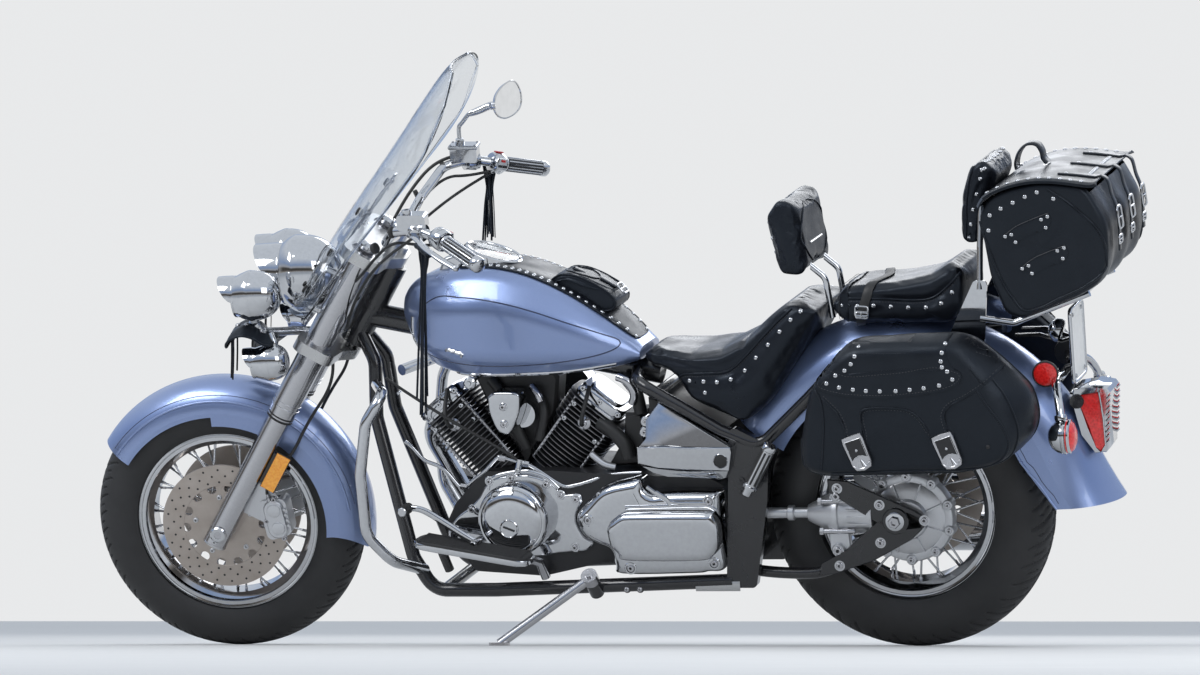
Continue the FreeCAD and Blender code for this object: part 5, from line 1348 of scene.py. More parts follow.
# Bags and trunk: lofted leather shells that bulge, with flaps, piping, studs, straps and buckles
bagLook = {
    "gusset": [(-160, 486), (-160, 545), (-136, 654), (-108, 690), (-39, 764), (215, 770), (284, 706),
               (338, 640),
               (350, 585), (340, 545), (300, 500), (195, 473), (-120, 468)],
    "face": [(-156, 490), (-154, 545), (-132, 650), (-106, 688), (-44, 752), (208, 758), (236, 700),
             (286, 618),
             (312, 560), (306, 516), (270, 490), (200, 478), (-120, 474)],
    "corner": 34, "inner": 195.5, "outer": 339, "edge": 22, "wall": 4.5, "bulge": 6, "innerDrop": 22,
    "splitAt": 752, "splitLean": 0.547, "gap": 0.6,
    "ovalStuds": [(-85, 680), (-57, 671), (-26, 666), (3, 663), (34, 662), (69, 662), (100, 664), (131, 667),
                  (165, 672), (194, 684)],
    "oval": [(-122, 694), (-112, 672), (-88, 659), (-36, 649), (42, 646), (119, 651), (180, 660), (208, 674),
             (216, 692), (203, 706), (155, 704), (89, 709), (33, 705), (-34, 701), (-70, 697), (-100, 702)],
    "panel": [(-29, 772), (-29, 745), (-42, 723), (-68, 704), (-95, 694), (-34, 690), (80, 694), (190, 694),
              (204, 701), (187, 719), (181, 745), (187, 776)],
    "panelStuds": [(-13, 756), (-19, 738), (-28, 721), (-43, 707), (-64, 697), (180, 760), (174, 742),
                   (171, 724),
                   (173, 711), (184, 702)],
    "flap": [(-112, 700), (-99, 647), (-82, 631), (-65, 612), (-52, 580), (-46, 556), (-11, 556), (-15, 597),
             (-13, 614), (-2, 623), (29, 625), (73, 623), (99, 615), (120, 595), (134, 570), (141, 552),
             (176, 556),
             (170, 596), (173, 614), (188, 629), (217, 642), (263, 670), (290, 694), (296, 708), (240, 742),
             (215, 765), (-39, 759)],
    "frontSeam": [(-122, 672), (-104, 646), (-99, 600), (-104, 540), (-112, 486)],
    "rearSeam": [(213, 743), (205, 721), (222, 692), (241, 663), (262, 626), (288, 588), (304, 549),
                 (300, 521),
                 (274, 496), (218, 484), (63, 481), (-93, 478)],
    "earSeams": [[(231, 752), (214, 730), (226, 704)], [(240, 744), (224, 727), (236, 700)],
                 [(-76, 726), (-88, 706), (-112, 690)], [(-66, 738), (-78, 716), (-104, 700)]],
    "buckles": [(-25, 526, 19), (174, 527, 19)], "buckleSize": (50, 80), "studRadius": 5.2,
}


def roundedRing(outline, corner, spacing):
    # outline of (x, z) places with its corners eased
    spots = [Vector((x, 0, z)) for x, z in outline]
    line = []
    for i, spot in enumerate(spots):
        before, after = spots[i - 1], spots[(i + 1) % len(spots)]
        reach = min(corner, (before - spot).length * 0.45, (after - spot).length * 0.45)
        start = spot + (before - spot).normalized() * reach
        end = spot + (after - spot).normalized() * reach
        for j in range(7):
            t = j / 6
            line.append(start.lerp(spot, t).lerp(spot.lerp(end, t), t))
    line.append(line[0].copy())
    return evenPath(line, spacing)[:-1]


def spokesOf(outline, corner, middle, count):
    # distances from the middle to a rounded outline, in even turns
    ring = roundedRing(outline, corner, 4)
    reaches = []
    for i in range(count):
        turn = 2 * pi * i / count
        way = spoke(turn)
        best = 0
        for a, b in zip(ring, ring[1:] + ring[:1]):
            first, second = a - middle, b - middle
            cross = first.x * second.z - first.z * second.x
            if abs(cross) < 1e-9:
                continue
            u = (way.x * second.z - way.z * second.x) / cross
            v = (first.x * way.z - first.z * way.x) / cross
            if u >= 0 and v >= 0 and u + v > 0:
                best = max(best, 1 / (u + v))
        reaches.append(best)
    return reaches


def leatherShell(look, side):
    # closed skin from the inner panel over the puffed gussets to the outer face
    middle = Vector((80, 0, 615))
    count = 150
    gusset = spokesOf(look["gusset"], look["corner"], middle, count)
    face = spokesOf(look["face"], look["corner"], middle, count)
    inner, outer, edge = look["inner"], look["outer"], look["edge"]
    rows = [("flat", share, inner) for share in (0.02, 0.2, 0.4, 0.6, 0.8, 0.93)]
    rows += [("wall", 4.0, inner + 0.5), ("wall", 1.2, inner + 3), ("wall", 0, inner + 9)]
    rows += [("wall", 0, inner + 14 + (outer - edge - inner - 14) * i / 12) for i in range(13)]
    for i in range(1, 7):
        turn = radians(90 * i / 6)
        rows.append(("wall", edge * (1 - cos(turn)), outer - edge + edge * sin(turn)))
    rows += [("front", share, outer) for share in (0.9, 0.8, 0.7, 0.6, 0.5, 0.4, 0.3, 0.2, 0.1, 0.02)]
    rings = []
    for kind, value, y in rows:
        part = (y - inner) / (outer - inner)
        line = []
        for i in range(count):
            turn = 2 * pi * i / count
            way = spoke(turn)
            blend = max(0.0, part - 0.42) / 0.58
            reach = gusset[i] + (face[i] - gusset[i]) * blend ** 1.5
            if kind == "wall":
                reach -= value
                reach += look["bulge"] * 0.7 * sin(pi * min(1, part * 1.08)) ** 0.8
            elif kind == "flat":
                reach = (gusset[i] - 4) * value
            else:
                reach = (face[i] - edge) * value
            spot = middle + way * reach
            drop = max(0.0, min(1, (spot.z - 640) / 110)) * look["innerDrop"] * max(0.0,
                                                                                    1 - part / 0.55) ** 1.5
            spot.z -= drop
            crease = noise.noise(spot * 0.012 + Vector((0, y * 0.012, side))) * 2.4
            crease += noise.noise(spot * 0.035 + Vector((0, y * 0.03, side))) * 0.7
            deep = 0.0
            if kind == "front":
                deep = look["bulge"] * (1 - value ** 2.2) + crease
            elif kind == "wall":
                spot += way * crease
            line.append(Vector((spot.x, side * (y + deep), spot.z)))
        rings.append(line)
    shape = Shape()
    shape.loft(rings, "bagLeather")
    return shape


def thicken(piece, wall):
    # an open skin gets the thickness of leather, inwards
    thick = piece.modifiers.new("wall", "SOLIDIFY")
    thick.thickness = wall / 1000
    thick.offset = -1
    settle(piece)
    piece.data.shade_smooth()
    piece.data.set_sharp_from_angle(angle=radians(60))


def cutShell(name, shape, point, normal, keepAbove, wall, body, stands):
    # one part of a shell, cut by a plane and given the thickness of leather
    piece = shape.build(name, body, None, "leather", sharp=60)
    work = bmesh.new()
    work.from_mesh(piece.data)
    cutPoint = leaning @ Vector(point)
    cutNormal = (leaning.to_3x3() @ Vector(normal)).normalized()
    bmesh.ops.bisect_plane(work, geom=work.verts[:] + work.edges[:] + work.faces[:], dist=1e-6,
                           plane_co=cutPoint,
                           plane_no=cutNormal, clear_inner=keepAbove, clear_outer=not keepAbove)
    work.to_mesh(piece.data)
    work.free()
    thicken(piece, wall)
    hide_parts(*stands)
    return piece


def flatSheet(shape, ground, outline, side, lift, thick, key, spacing=9):
    # a sheet of leather laid on a face: a grid inside the outline, a rounded rim; side 0 lays it from above
    way = Vector((0, -side, 0)) if side else Vector((0, 0, -1))
    polygon = [Vector((x, z)) for x, z in outline]
    border = evenPath([Vector((x, 0, z)) for x, z in outline + outline[:1]], spacing)[:-1]
    flat = bmesh.new()
    corners = [flat.verts.new((spot.x, spot.z, 0)) for spot in border]
    flat.faces.new(corners)
    # a grid of cuts makes the sheet follow the ground
    low = [min(spot[i] for spot in polygon) for i in (0, 1)]
    high = [max(spot[i] for spot in polygon) for i in (0, 1)]
    for i in (0, 1):
        at = low[i] + spacing
        while at < high[i] - 1:
            place = Vector((at, 0, 0)) if i == 0 else Vector((0, at, 0))
            facing = Vector((1, 0, 0)) if i == 0 else Vector((0, 1, 0))
            bmesh.ops.bisect_plane(flat, geom=flat.verts[:] + flat.edges[:] + flat.faces[:], dist=0.01,
                                   plane_co=place, plane_no=facing)
            at += spacing
    top, bottom = {}, {}
    points, faces = [], []
    flat.verts.index_update()
    edges = {vertex.index for edge in flat.edges if edge.is_boundary for vertex in edge.verts}
    for vertex in flat.verts:
        x, y = vertex.co.x, vertex.co.y
        start = Vector((x, side * outside["aside"], y)) if side else Vector((x, y, outside["above"]))
        spot, normal = land(ground, start, way)
        normal = (-way).lerp(normal, 0.6).normalized()
        rise = thick if vertex.index not in edges else thick * 0.55
        top[vertex.index] = len(points)
        points.append(spot + normal * (lift + rise))
        bottom[vertex.index] = len(points)
        points.append(spot + normal * lift)
    for face in flat.faces:
        loop = [vertex.index for vertex in face.verts]
        faces.append([top[i] for i in loop])
        faces.append([bottom[i] for i in reversed(loop)])
    for edge in flat.edges:
        if edge.is_boundary:
            a, b = [vertex.index for vertex in edge.verts]
            faces.append([top[a], top[b], bottom[b], bottom[a]])
    flat.free()
    shape.add(points, faces, key)


def shieldBuckle(shape, centre, out, tilt, wide, tall):
    # large plated buckle: rounded frame, sunk dark window with a strap end, engraved-looking lower shell
    out = Vector(out).normalized()
    turn = radians(tilt)
    down = Vector((sin(turn), 0, -cos(turn)))
    down = (down - out * down.dot(out)).normalized()
    across = down.cross(out)
    outline = [(-0.46, -0.5), (0.0, -0.52), (0.46, -0.5), (0.5, -0.36), (0.48, 0.1), (0.46, 0.32),
               (0.34, 0.46),
               (0.0, 0.52), (-0.34, 0.46), (-0.46, 0.32), (-0.48, 0.1), (-0.5, -0.36)]
    shape.plate([(a * wide, b * tall) for a, b in outline], 0, 7, "wornChrome", 2.4, across=out, flatX=across,
                flatZ=down, at=centre)
    window = [(-0.36, -0.38), (0.36, -0.38), (0.37, 0.16), (0.18, 0.1), (0.0, 0.08), (-0.18, 0.1),
              (-0.37, 0.16)]
    shape.plate([(a * wide, b * tall) for a, b in window], 7, 7.6, "engineBlack", 0, across=out, flatX=across,
                flatZ=down, at=centre)
    rim = [Vector(centre) + across * a * wide + down * b * tall + out * 7.4 for a, b in window]
    shape.tube(rim, 1.5, "chrome", 6, closed=True)
    shape.stud(Vector(centre) + down * -0.08 * tall + out * 7.6, out, 3.2)
    shell = []
    for i in range(9):
        part = radians(-70 + 140 * i / 8)
        shell.append(Vector(centre) + across * sin(part) * wide * 0.42
                     + down * (0.22 + 0.22 * cos(part)) * tall
                     + out * 7.2)
    shape.tube(shell, 1.8, "wornChrome", 6)
    for i in range(5):
        part = radians(-44 + 22 * i)
        start = Vector(centre) + down * 0.2 * tall + across * sin(part) * wide * 0.1 + out * 7.2
        end = (Vector(centre) + down * (0.22 + 0.2 * cos(part)) * tall
               + across * sin(part) * wide * 0.38
               + out * 7.2)
        shape.tube([start, end], 0.9, "chrome", 5)


def dressSaddlebag(side):
    tail = sideName(side)
    node = "saddlebag_" + tail.lower()
    lid = "saddlebag_lid_" + tail.lower()
    look = bagLook
    normal = Vector((0, side * look["splitLean"], 1)).normalized()
    point = Vector((0, side * look["inner"], look["splitAt"]))
    shell = leatherShell(look, side)
    base = cutShell("saddlebagShell" + tail, shell, point, normal, False, look["wall"], "root", (node,))
    cover = cutShell("saddlebagCover" + tail, shell, point + normal * look["gap"], normal, True, look["wall"],
                     lid, (lid,))
    ground = skin(leaning, base, cover)
    # piping and panel seams on the body
    trim = Shape()
    for key in ("frontSeam", "rearSeam"):
        line, faces = sideLine(ground, side, look[key], 0.3, 7)
        trim.tube(line, 2.4, "bagLeather", 8)
    for seam in look["earSeams"]:
        line, faces = sideLine(ground, side, seam, 0.2, 6)
        trim.tube(line, 1.8, "bagLeather", 8)
    spot, facing = landAside(ground, side, 261, 534)
    trim.stud(spot, facing, 4.5, "engineBlack")
    rear = roundedRing(look["gusset"], look["corner"], 9)
    for shift in (22, 120):
        loop = []
        for spot in rear:
            if spot.x > 120 or spot.z < 560:
                away = (spot - Vector((80, 0, 620))).normalized()
                loop.append(land(ground, spot + Vector((0, side * (look["inner"] + shift), 0)) + away * 90,
                                 -away, 0.4)[0])
        start = max(range(len(loop)), key=lambda i: (loop[i] - loop[i - 1]).length)
        loop = loop[start:] + loop[:start]
        trim.tube(loop, 2.2, "bagLeather", 8)
    trim.build("saddlebagTrim" + tail, "root", None, "leather", sharp=50)
    # the scalloped flap, panel and oval ride with the lid
    flap = Shape()
    flatSheet(flap, ground, look["flap"], side, 1.2, 2.4, "bagLeather")
    sheet = flap.build("saddlebagFlap" + tail, lid, None, "leather", sharp=50)
    onFlap = skin(leaning, base, cover, sheet)
    top = Shape()
    flatSheet(top, onFlap, look["panel"], side, 0.2, 2.0, "bagLeather")
    flatSheet(top, onFlap, look["oval"], side, 1.4, 2.6, "bagLeather")
    panel = top.build("saddlebagPanel" + tail, lid, None, "leather", sharp=50)
    onPanel = skin(leaning, base, cover, sheet, panel)
    finer = Shape()
    outlineLoop = look["flap"][1:25]
    line, faces = sideLine(onFlap, side, outlineLoop, 0.4, 6)
    finer.tube(line, 2.0, "bagLeather", 8)
    inset = insetLoop(look["flap"][1:25], 6)
    line, faces = sideLine(onFlap, side, inset, 0.2, 3.4)
    stitches(finer, line)
    line, faces = sideLine(onPanel, side, look["oval"] + look["oval"][:1], 0.2, 6)
    finer.tube(line, 2.2, "bagLeather", 8)
    inset = insetLoop(look["oval"] + look["oval"][:1], 7)
    line, faces = sideLine(onPanel, side, inset, 0.3, 3.4)
    stitches(finer, line)
    for key in ("ovalStuds", "panelStuds"):
        sideStuds(finer, onPanel, side, look[key], look["studRadius"])
    for x, z, tilt in look["buckles"]:
        spot, facing = landAside(onPanel, side, x, z)
        facing = Vector((0, side, 0))
        spot = spot + facing * 3
        end = spot + Vector((0, side * -1.6, 0))
        finer.strap([end + Vector((-tilt * 0.1, 0, 58)), end + Vector((0, 0, 20)),
                     end + Vector((tilt * 0.1, 0, -34))],
                    facing, 30, 1.8, "bagLeather")
        shieldBuckle(finer, spot, facing, tilt, *look["buckleSize"])
    finer.build("saddlebagFlapTrim" + tail, lid, None, "leather", sharp=45)


def insetLoop(points, distance):
    # the same loop, moved to its inner side
    middle = sum((Vector(point) for point in points), Vector((0, 0))) / len(points)
    line = [Vector(point) for point in points]
    moved = []
    for i, spot in enumerate(line):
        ahead = line[min(i + 1, len(line) - 1)] - line[max(i - 1, 0)]
        out = Vector((ahead.y, -ahead.x)).normalized()
        if out.dot(middle - spot) < 0 and abs(out.dot((middle - spot).normalized())) > 0.3:
            out = -out
        moved.append((spot.x + out.x * distance, spot.y + out.y * distance))
    return moved


for side in sides:
    dressSaddlebag(side)
print("saddlebags made")


trunkLook = {
    "outline": [(240, 1015), (262, 1052), (309, 1074), (375, 1085), (478, 1076), (521, 990), (521, 914),
                (502, 860),
                (446, 829), (323, 784), (286, 796), (258, 880)],
    "corner": 24, "half": 214, "edge": 12, "wall": 4, "mouthLow": 1046, "mouthRear": 484,
    "studs": [(263, 982), (268, 1015), (293, 1029), (320, 1041), (347, 1053), (374, 1062), (409, 1047)],
    "ornaments": [[(299, 968), (313, 972), (321, 955), (380, 1003), (394, 1009), (389, 985)],
                  [(332, 897), (346, 903), (353, 886), (411, 934), (426, 940), (422, 917)]],
    "ornamentTop": [(297, 970), (323, 989), (356, 1003), (396, 1017)],
    "ornamentLow": [(323, 954), (350, 969), (377, 977), (394, 983), (402, 1000)],
    "ornamentShift": (33, -71),
    "pipe": [(398, 1068), (435, 1042), (476, 1006), (504, 973), (515, 934), (509, 888), (467, 856),
             (411, 831),
             (366, 811), (331, 806), (308, 832), (284, 876), (258, 952), (245, 1002)],
    "lid": [(241, 1034), (252, 1052), (270, 1064), (309, 1079), (345, 1086), (385, 1088), (428, 1085),
            (470, 1079),
            (491, 1076), (503, 1079)],
    "handle": [(290, 0, 1082), (289, 0, 1096), (297, 0, 1118), (314, 0, 1134), (334, 0, 1134),
               (344, 0, 1120), (347, 0, 1104), (356, 0, 1092)],
    "lidHalf": 221, "lidSheet": 3, "strapY": (-140, 0, 140), "studRadius": 5.2,
}


def openShell(name, shape, look):
    # the trunk's skin with its top left open between the end panels
    piece = shape.build(name, "root", None, "leather", sharp=60)
    work = bmesh.new()
    work.from_mesh(piece.data)
    back = leaning.inverted()
    top = []
    for face in work.faces:
        spot = back @ face.calc_center_median()
        if (abs(spot.y) < look["half"] - look["edge"] - 4 and spot.z > look["mouthLow"]
                and spot.x < look["mouthRear"]):
            top.append(face)
    bmesh.ops.delete(work, geom=top, context="FACES")
    work.to_mesh(piece.data)
    work.free()
    thicken(piece, look["wall"])
    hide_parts("trunk_bag")
    return piece


def dressTrunk():
    look = trunkLook
    ring = roundedRing(look["outline"], look["corner"], 9)
    middle = sum(ring, Vector()) / len(ring)
    half, edge = look["half"], look["edge"]
    rows = [(share, 0, -half) for share in (0.02, 0.15, 0.3, 0.45, 0.6, 0.75, 0.88)]
    for i in range(5):
        turn = radians(90 * (4 - i) / 4)
        rows.append((None, edge * (1 - cos(turn)), -half + edge - edge * sin(turn)))
    for i in range(1, 24):
        rows.append((None, 0, -half + edge + (2 * half - 2 * edge) * i / 24))
    for i in range(5):
        turn = radians(90 * i / 4)
        rows.append((None, edge * (1 - cos(turn)), half - edge + edge * sin(turn)))
    rows += [(share, 0, half) for share in (0.88, 0.75, 0.6, 0.45, 0.3, 0.15, 0.02)]
    rings = []
    for share, inset, y in rows:
        line = []
        for spot in ring:
            away = spot - middle
            near = middle + away * (1 - inset / away.length)
            if share is not None:
                near = middle + away * (1 - edge / away.length) * share
            puff = 0.0
            if share is None and spot.x > 440 and spot.z < 1060:
                # the back sags between the straps
                if abs(y) < half:
                    puff = 4.5 * cos(y / half * pi * 2.5) * cos(y / half * pi / 2) ** 0.5
            crease = noise.noise(Vector((spot.x * 0.014, y * 0.011, spot.z * 0.014))) * 2.0
            near = near + away.normalized() * (puff + crease - 2.0)
            line.append(Vector((near.x, y + (crease if share is not None else 0) * (1 if y > 0 else -1) * 0.6,
                                near.z)))
        rings.append(line)
    shape = Shape()
    shape.loft(rings, "bagLeather")
    body = openShell("trunkShell", shape, look)
    ground = skin(leaning, body)
    trim = Shape()
    for side in sides:
        line, faces = sideLine(ground, side, look["pipe"], 0.4, 7)
        trim.tube(line, 3.0, "bagLeather", 8)
        sideStuds(trim, ground, side, look["studs"], look["studRadius"])
        for shift in ((0, 0), look["ornamentShift"]):
            top = [(x + shift[0], z + shift[1]) for x, z in look["ornamentTop"]]
            low = [(x + shift[0], z + shift[1]) for x, z in look["ornamentLow"]]
            outline = top + low[::-1]
            flatSheet(trim, ground, outline, side, 0.3, 2.2, "bagLeather", 7)
            line, faces = sideLine(ground, side, top, 2.4, 6)
            trim.tube(line, 0.9, "stitch", 6)
        for group in look["ornaments"]:
            for x, z in group:
                spot, normal = landAside(ground, side, x, z, 1.8)
                trim.stud(spot, normal, 4.6)
    trim.build("trunkTrim", "root", None, "leather", sharp=45)
    # lid: one curved sheet with a raised rim, hinged along its front edge
    profile = evenPath(smoothPath([Vector((x, 0, z)) for x, z in look["lid"]], 6), 8)
    cover = Shape()
    rings = []
    for i, spot in enumerate(profile):
        ahead = profile[min(i + 1, len(profile) - 1)] - profile[max(i - 1, 0)]
        up = Vector((-ahead.z, 0, ahead.x)).normalized()
        line = []
        wide = look["lidHalf"]
        for way, sheet in ((1, 0), (-1, look["lidSheet"])):
            for j in range(33):
                y = way * (-wide + 2 * wide * j / 32)
                drop = 6 * max(0, (abs(y) - wide + 14) / 14) ** 2
                dent = noise.noise(Vector((spot.x * 0.015, y * 0.012, 3))) * 1.2
                line.append(spot + Vector((0, y, 0)) + up * (2.5 - sheet - drop + dent))
        rings.append(line)
    cover.loft(rings, "bagLeather")
    lid = cover.build("trunkCover", "trunk_lid", None, "leather", sharp=50, stands=("trunk_lid",))
    onLid = skin(leaning, lid)
    finer = Shape()
    for side in sides:
        for x in range(262, 470, 23):
            spot, normal = landAbove(onLid, x, side * (look["lidHalf"] - 19))
            finer.stud(spot, normal, 4.8)
        line, faces = lineOn(onLid, [(x, side * (look["lidHalf"] - 2), outside["above"])
                                     for x in (256, 300, 380, 470, 502)],
                             (0, 0, -1), 0.3)
        finer.tube(line, 2.6, "bagLeather", 8)
    for y in list(range(-124, -16, 12)) + list(range(20, 128, 12)):
        spot, normal = landAbove(onLid, 470, y)
        finer.stud(spot, normal, 4.4)
    for y in look["strapY"]:
        line, faces = lineOn(onLid, [(x, y, outside["above"]) for x in (408, 440, 470, 500)], toGround, 1.2)
        finer.strap(line, faces, 26, 2.2, "bagLeather")
        spot, normal = landAbove(onLid, 424, y, 2.4)
        finer.stud(spot, normal, 4.2)
        end = line[-1]
        drop = [end, end + Vector((14, 0, -10)), Vector((521, y, 1040)), Vector((532, y, 1000)),
                Vector((532, y, 920))]
        finer.strap(smoothPath(drop, 5), (1, 0, 0.2), 26, 2.2, "bagLeather")
        buckle(finer, (536, y, 992), (1, 0, 0.1), (-0.1, 0, 1), 42, 46)
        buckle(finer, (535, y, 944), toTail, toSky, 36, 16)
    # carrying loop at the front
    loop = smoothPath(look["handle"], 6)
    faces = []
    for k, spot in enumerate(loop):
        ahead = loop[min(k + 1, len(loop) - 1)] - loop[max(k - 1, 0)]
        faces.append(Vector((-ahead.z, 0, ahead.x)).normalized())
    finer.strap(loop, faces, 44, 4.5, "bagLeather")
    for x in (292, 354):
        for y in (-14, 14):
            finer.bolt((x, y, 1086), toSky, 5)
    onCover = finer.build("trunkCoverTrim", "trunk_lid", None, "leather", sharp=45)
    # the cover's leather is its own hinge; the cover and its trim are taken off their body and their placing
    # is baked into the mesh
    for piece in (lid, onCover):
        piece.parent = None
        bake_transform(piece)


dressTrunk()
print("trunk made")

# Tail: lamp with a plated cap and ribs, bullet indicators, reflector, blank plate in its frame
tailLook = {
    "lens": [(397, 582), (448, 589), (455, 532), (457, 470), (446, 456), (436, 462), (420, 512)],
    "cap": [(390, 583), (392, 596), (438, 603), (468, 597), (474, 588), (449, 589), (398, 582)],
    "rear": [(449, 590), (470, 590), (463, 462), (458, 454), (447, 455), (457, 470), (455, 532)],
    "back": [(384, 588), (398, 584), (420, 512), (437, 462), (446, 453), (434, 452), (404, 492)],
    "half": 55, "plateX": 398, "plateLow": 612, "plateTop": 775, "plateHalf": 68,
    "indicator": (404, 226, 529), "indicatorRadius": 39, "reflector": (348, -122, 646), "reflectorRadius": 26,
}


def dressTail():
    look = tailLook
    half = look["half"]
    shape = Shape()
    shape.plate(look["lens"], -half + 3, half - 3, "redLens", 3)
    shape.plate(look["cap"], -half, half, "chrome", 3)
    shape.plate(look["rear"], -half + 1, half - 1, "chrome", 2)
    shape.plate(look["back"], -half + 2, half - 2, "chrome", 2)
    for side in sides:
        for i in range(9):
            z = 474 + i * 12.5
            x = 458 + (z - 470) * 0.075
            shape.tube([(x, side * (half - 0.5), z), (x + 9, side * (half + 0.5), z + 9)], 2.4, "chrome", 8)
            shape.tube([(x + 3, side * (half - 1.4), z + 7), (x + 9, side * (half - 1), z + 13)], 0.9,
                       "redLens", 6)
        shape.tube([(449, side * half, 589), (456, side * half, 532), (458, side * half, 468)], 1.8, "chrome",
                   8)
        shape.bolt((402, side * (half - 2), 578), (0, side, 0), 4)
    shape.tube([(400, -60, 570), (396, 0, 566), (400, 60, 570)], 16, "blackFrame", 12)
    # indicators on curved arms
    radius = look["indicatorRadius"]
    for side in sides:
        x, y, z = look["indicator"]
        centre = (x, side * y, z)
        rows = [(0, -36), (radius * 0.42, -33), (radius * 0.72, -25), (radius * 0.92, -13),
                (radius * 0.99, -3),
                (radius * 0.93, -1.5), (radius * 0.93, 0), (radius, 1.5), (radius, 5), (radius * 0.92, 6.5)]
        shape.turn(rows, centre, toTail, "chrome", 48, hollow=True)
        shape.turn([(radius * 0.92, 6.5), (radius * 0.9, 9)], centre, toTail, "redLens", 48, hollow=True)
        shape.turn([(radius * 0.9, 9), (radius * 0.97, 10.5), (radius * 0.95, 14), (radius * 0.86, 16)],
                   centre,
                   (1, 0, 0), "chrome", 48, hollow=True)
        shape.turn([(radius * 0.86, 15.5), (radius * 0.74, 21), (radius * 0.4, 26), (0, 27)], centre, toTail,
                   "redLens", 40)
        arm = smoothPath([(x - 6, side * (y - 4), z + 30), (x - 12, side * (y - 22), z + 62),
                          (x - 24, side * 168, z + 92),
                          (x - 34, side * 112, z + 104), (x - 34, side * 52, z + 100)], 6)
        shape.tube(arm, 9.5, "chrome", 14)
        shape.turn([(13, -6), (14, 0), (13, 6)], (x - 7, side * (y - 6), z + 40), (-0.2, side * -0.3, 1),
                   "chrome", 24)
        # round side reflector in a black cup
        rx, ry, rz = look["reflector"]
        spot = (rx, ry * -side, rz)
        reach = look["reflectorRadius"]
        shape.turn([(reach + 2, -8), (reach + 3.4, -2), (reach + 3, 3), (reach + 0.5, 4), (reach, 2)], spot,
                   (0, side, 0), "softBlack", 40, hollow=True)
        shape.turn([(reach + 0.4, 1.5), (reach - 2, 3.4), (reach * 0.5, 4.4), (0, 4.8)], spot, (0, side, 0),
                   "redLens",
                   40)
        shape.turn([(reach + 2, -8), (6, -9), (0, -9)], spot, (0, side, 0), "softBlack", 32)
        shape.tube([(rx, ry * -side * 0.97, rz), (rx + 6, side * 96, rz - 2), (rx + 12, side * 60, rz - 6)],
                   6,
                   "blackFrame", 10)
    shape.build("tailLampPieces", "root", None, "chrome", sharp=40, stands=("tail_lamp",))
    plate = Shape()
    wide, low, high, x = look["plateHalf"], look["plateLow"], look["plateTop"], look["plateX"]
    corner = 12
    rim = []
    for sy, sz, first in ((1, 1, 0), (-1, 1, 90), (-1, -1, 180), (1, -1, 270)):
        for i in range(5):
            turn = radians(first + 22.5 * i)
            rim.append((sy * (wide - corner) + corner * cos(turn),
                        (high - corner if sz > 0 else low + corner) + corner * sin(turn)))
    plate.loft([[Vector((x + depth, a, b)) for a, b in rim] for depth in (0, 1.4)], "plateWhite")
    plate.tube([Vector((x, a, b)) for a, b in rim], 4.6, "chrome", 10, closed=True)
    plate.loft([[Vector((x - depth, a * 0.97, (b - 690) * 0.97 + 690)) for a, b in rim] for depth in (3, 5)],
               "wornChrome")
    for y, z in ((-48, high - 14), (48, high - 14), (-48, low + 14), (48, low + 14)):
        plate.bolt((x + 1.4, y, z), toTail, 4.6, "chrome", 3)
    for side in sides:
        plate.strap([(x - 5, side * 30, 706), (370, side * 32, 700), (322, side * 36, 716),
                     (268, side * 38, 716)],
                    (0.1, 0, 1), 22, 5, "blackFrame")
    # chromed lamp for the plate, above it
    plate.turn([(0, -24), (14, -22), (24, -12), (27, 0), (26, 6), (20, 9)], (364, -30, 724), (0.86, 0, -0.3),
               "chrome",
               32)
    plate.tube([(x - 6, 0, 640), (372, 0, 634), (352, 0, 610)], 9, "blackFrame", 10)
    plate.build("plateCarrier", "root", None, "white_plate", sharp=40, stands=("number_plate",))


dressTail()
print("tail dressed")


# Leather bib over the tank, with two rows of studs, and a small padded pouch
bibLook = {
    "outline": [(-1020, 66), (-960, 77), (-880, 80), (-780, 80), (-700, 76), (-640, 66), (-600, 50)],
    "lift": 0.8, "thick": 2.6, "studStart": -1012, "studEnd": -604, "studCount": 25, "studInset": 9,
    "pouch": [(-802, 842), (-796, 868), (-772, 884), (-735, 880), (-698, 864), (-656, 838), (-640, 818),
              (-644, 800), (-664, 792), (-720, 816), (-770, 832)],
    "pouchHalf": 54,
}


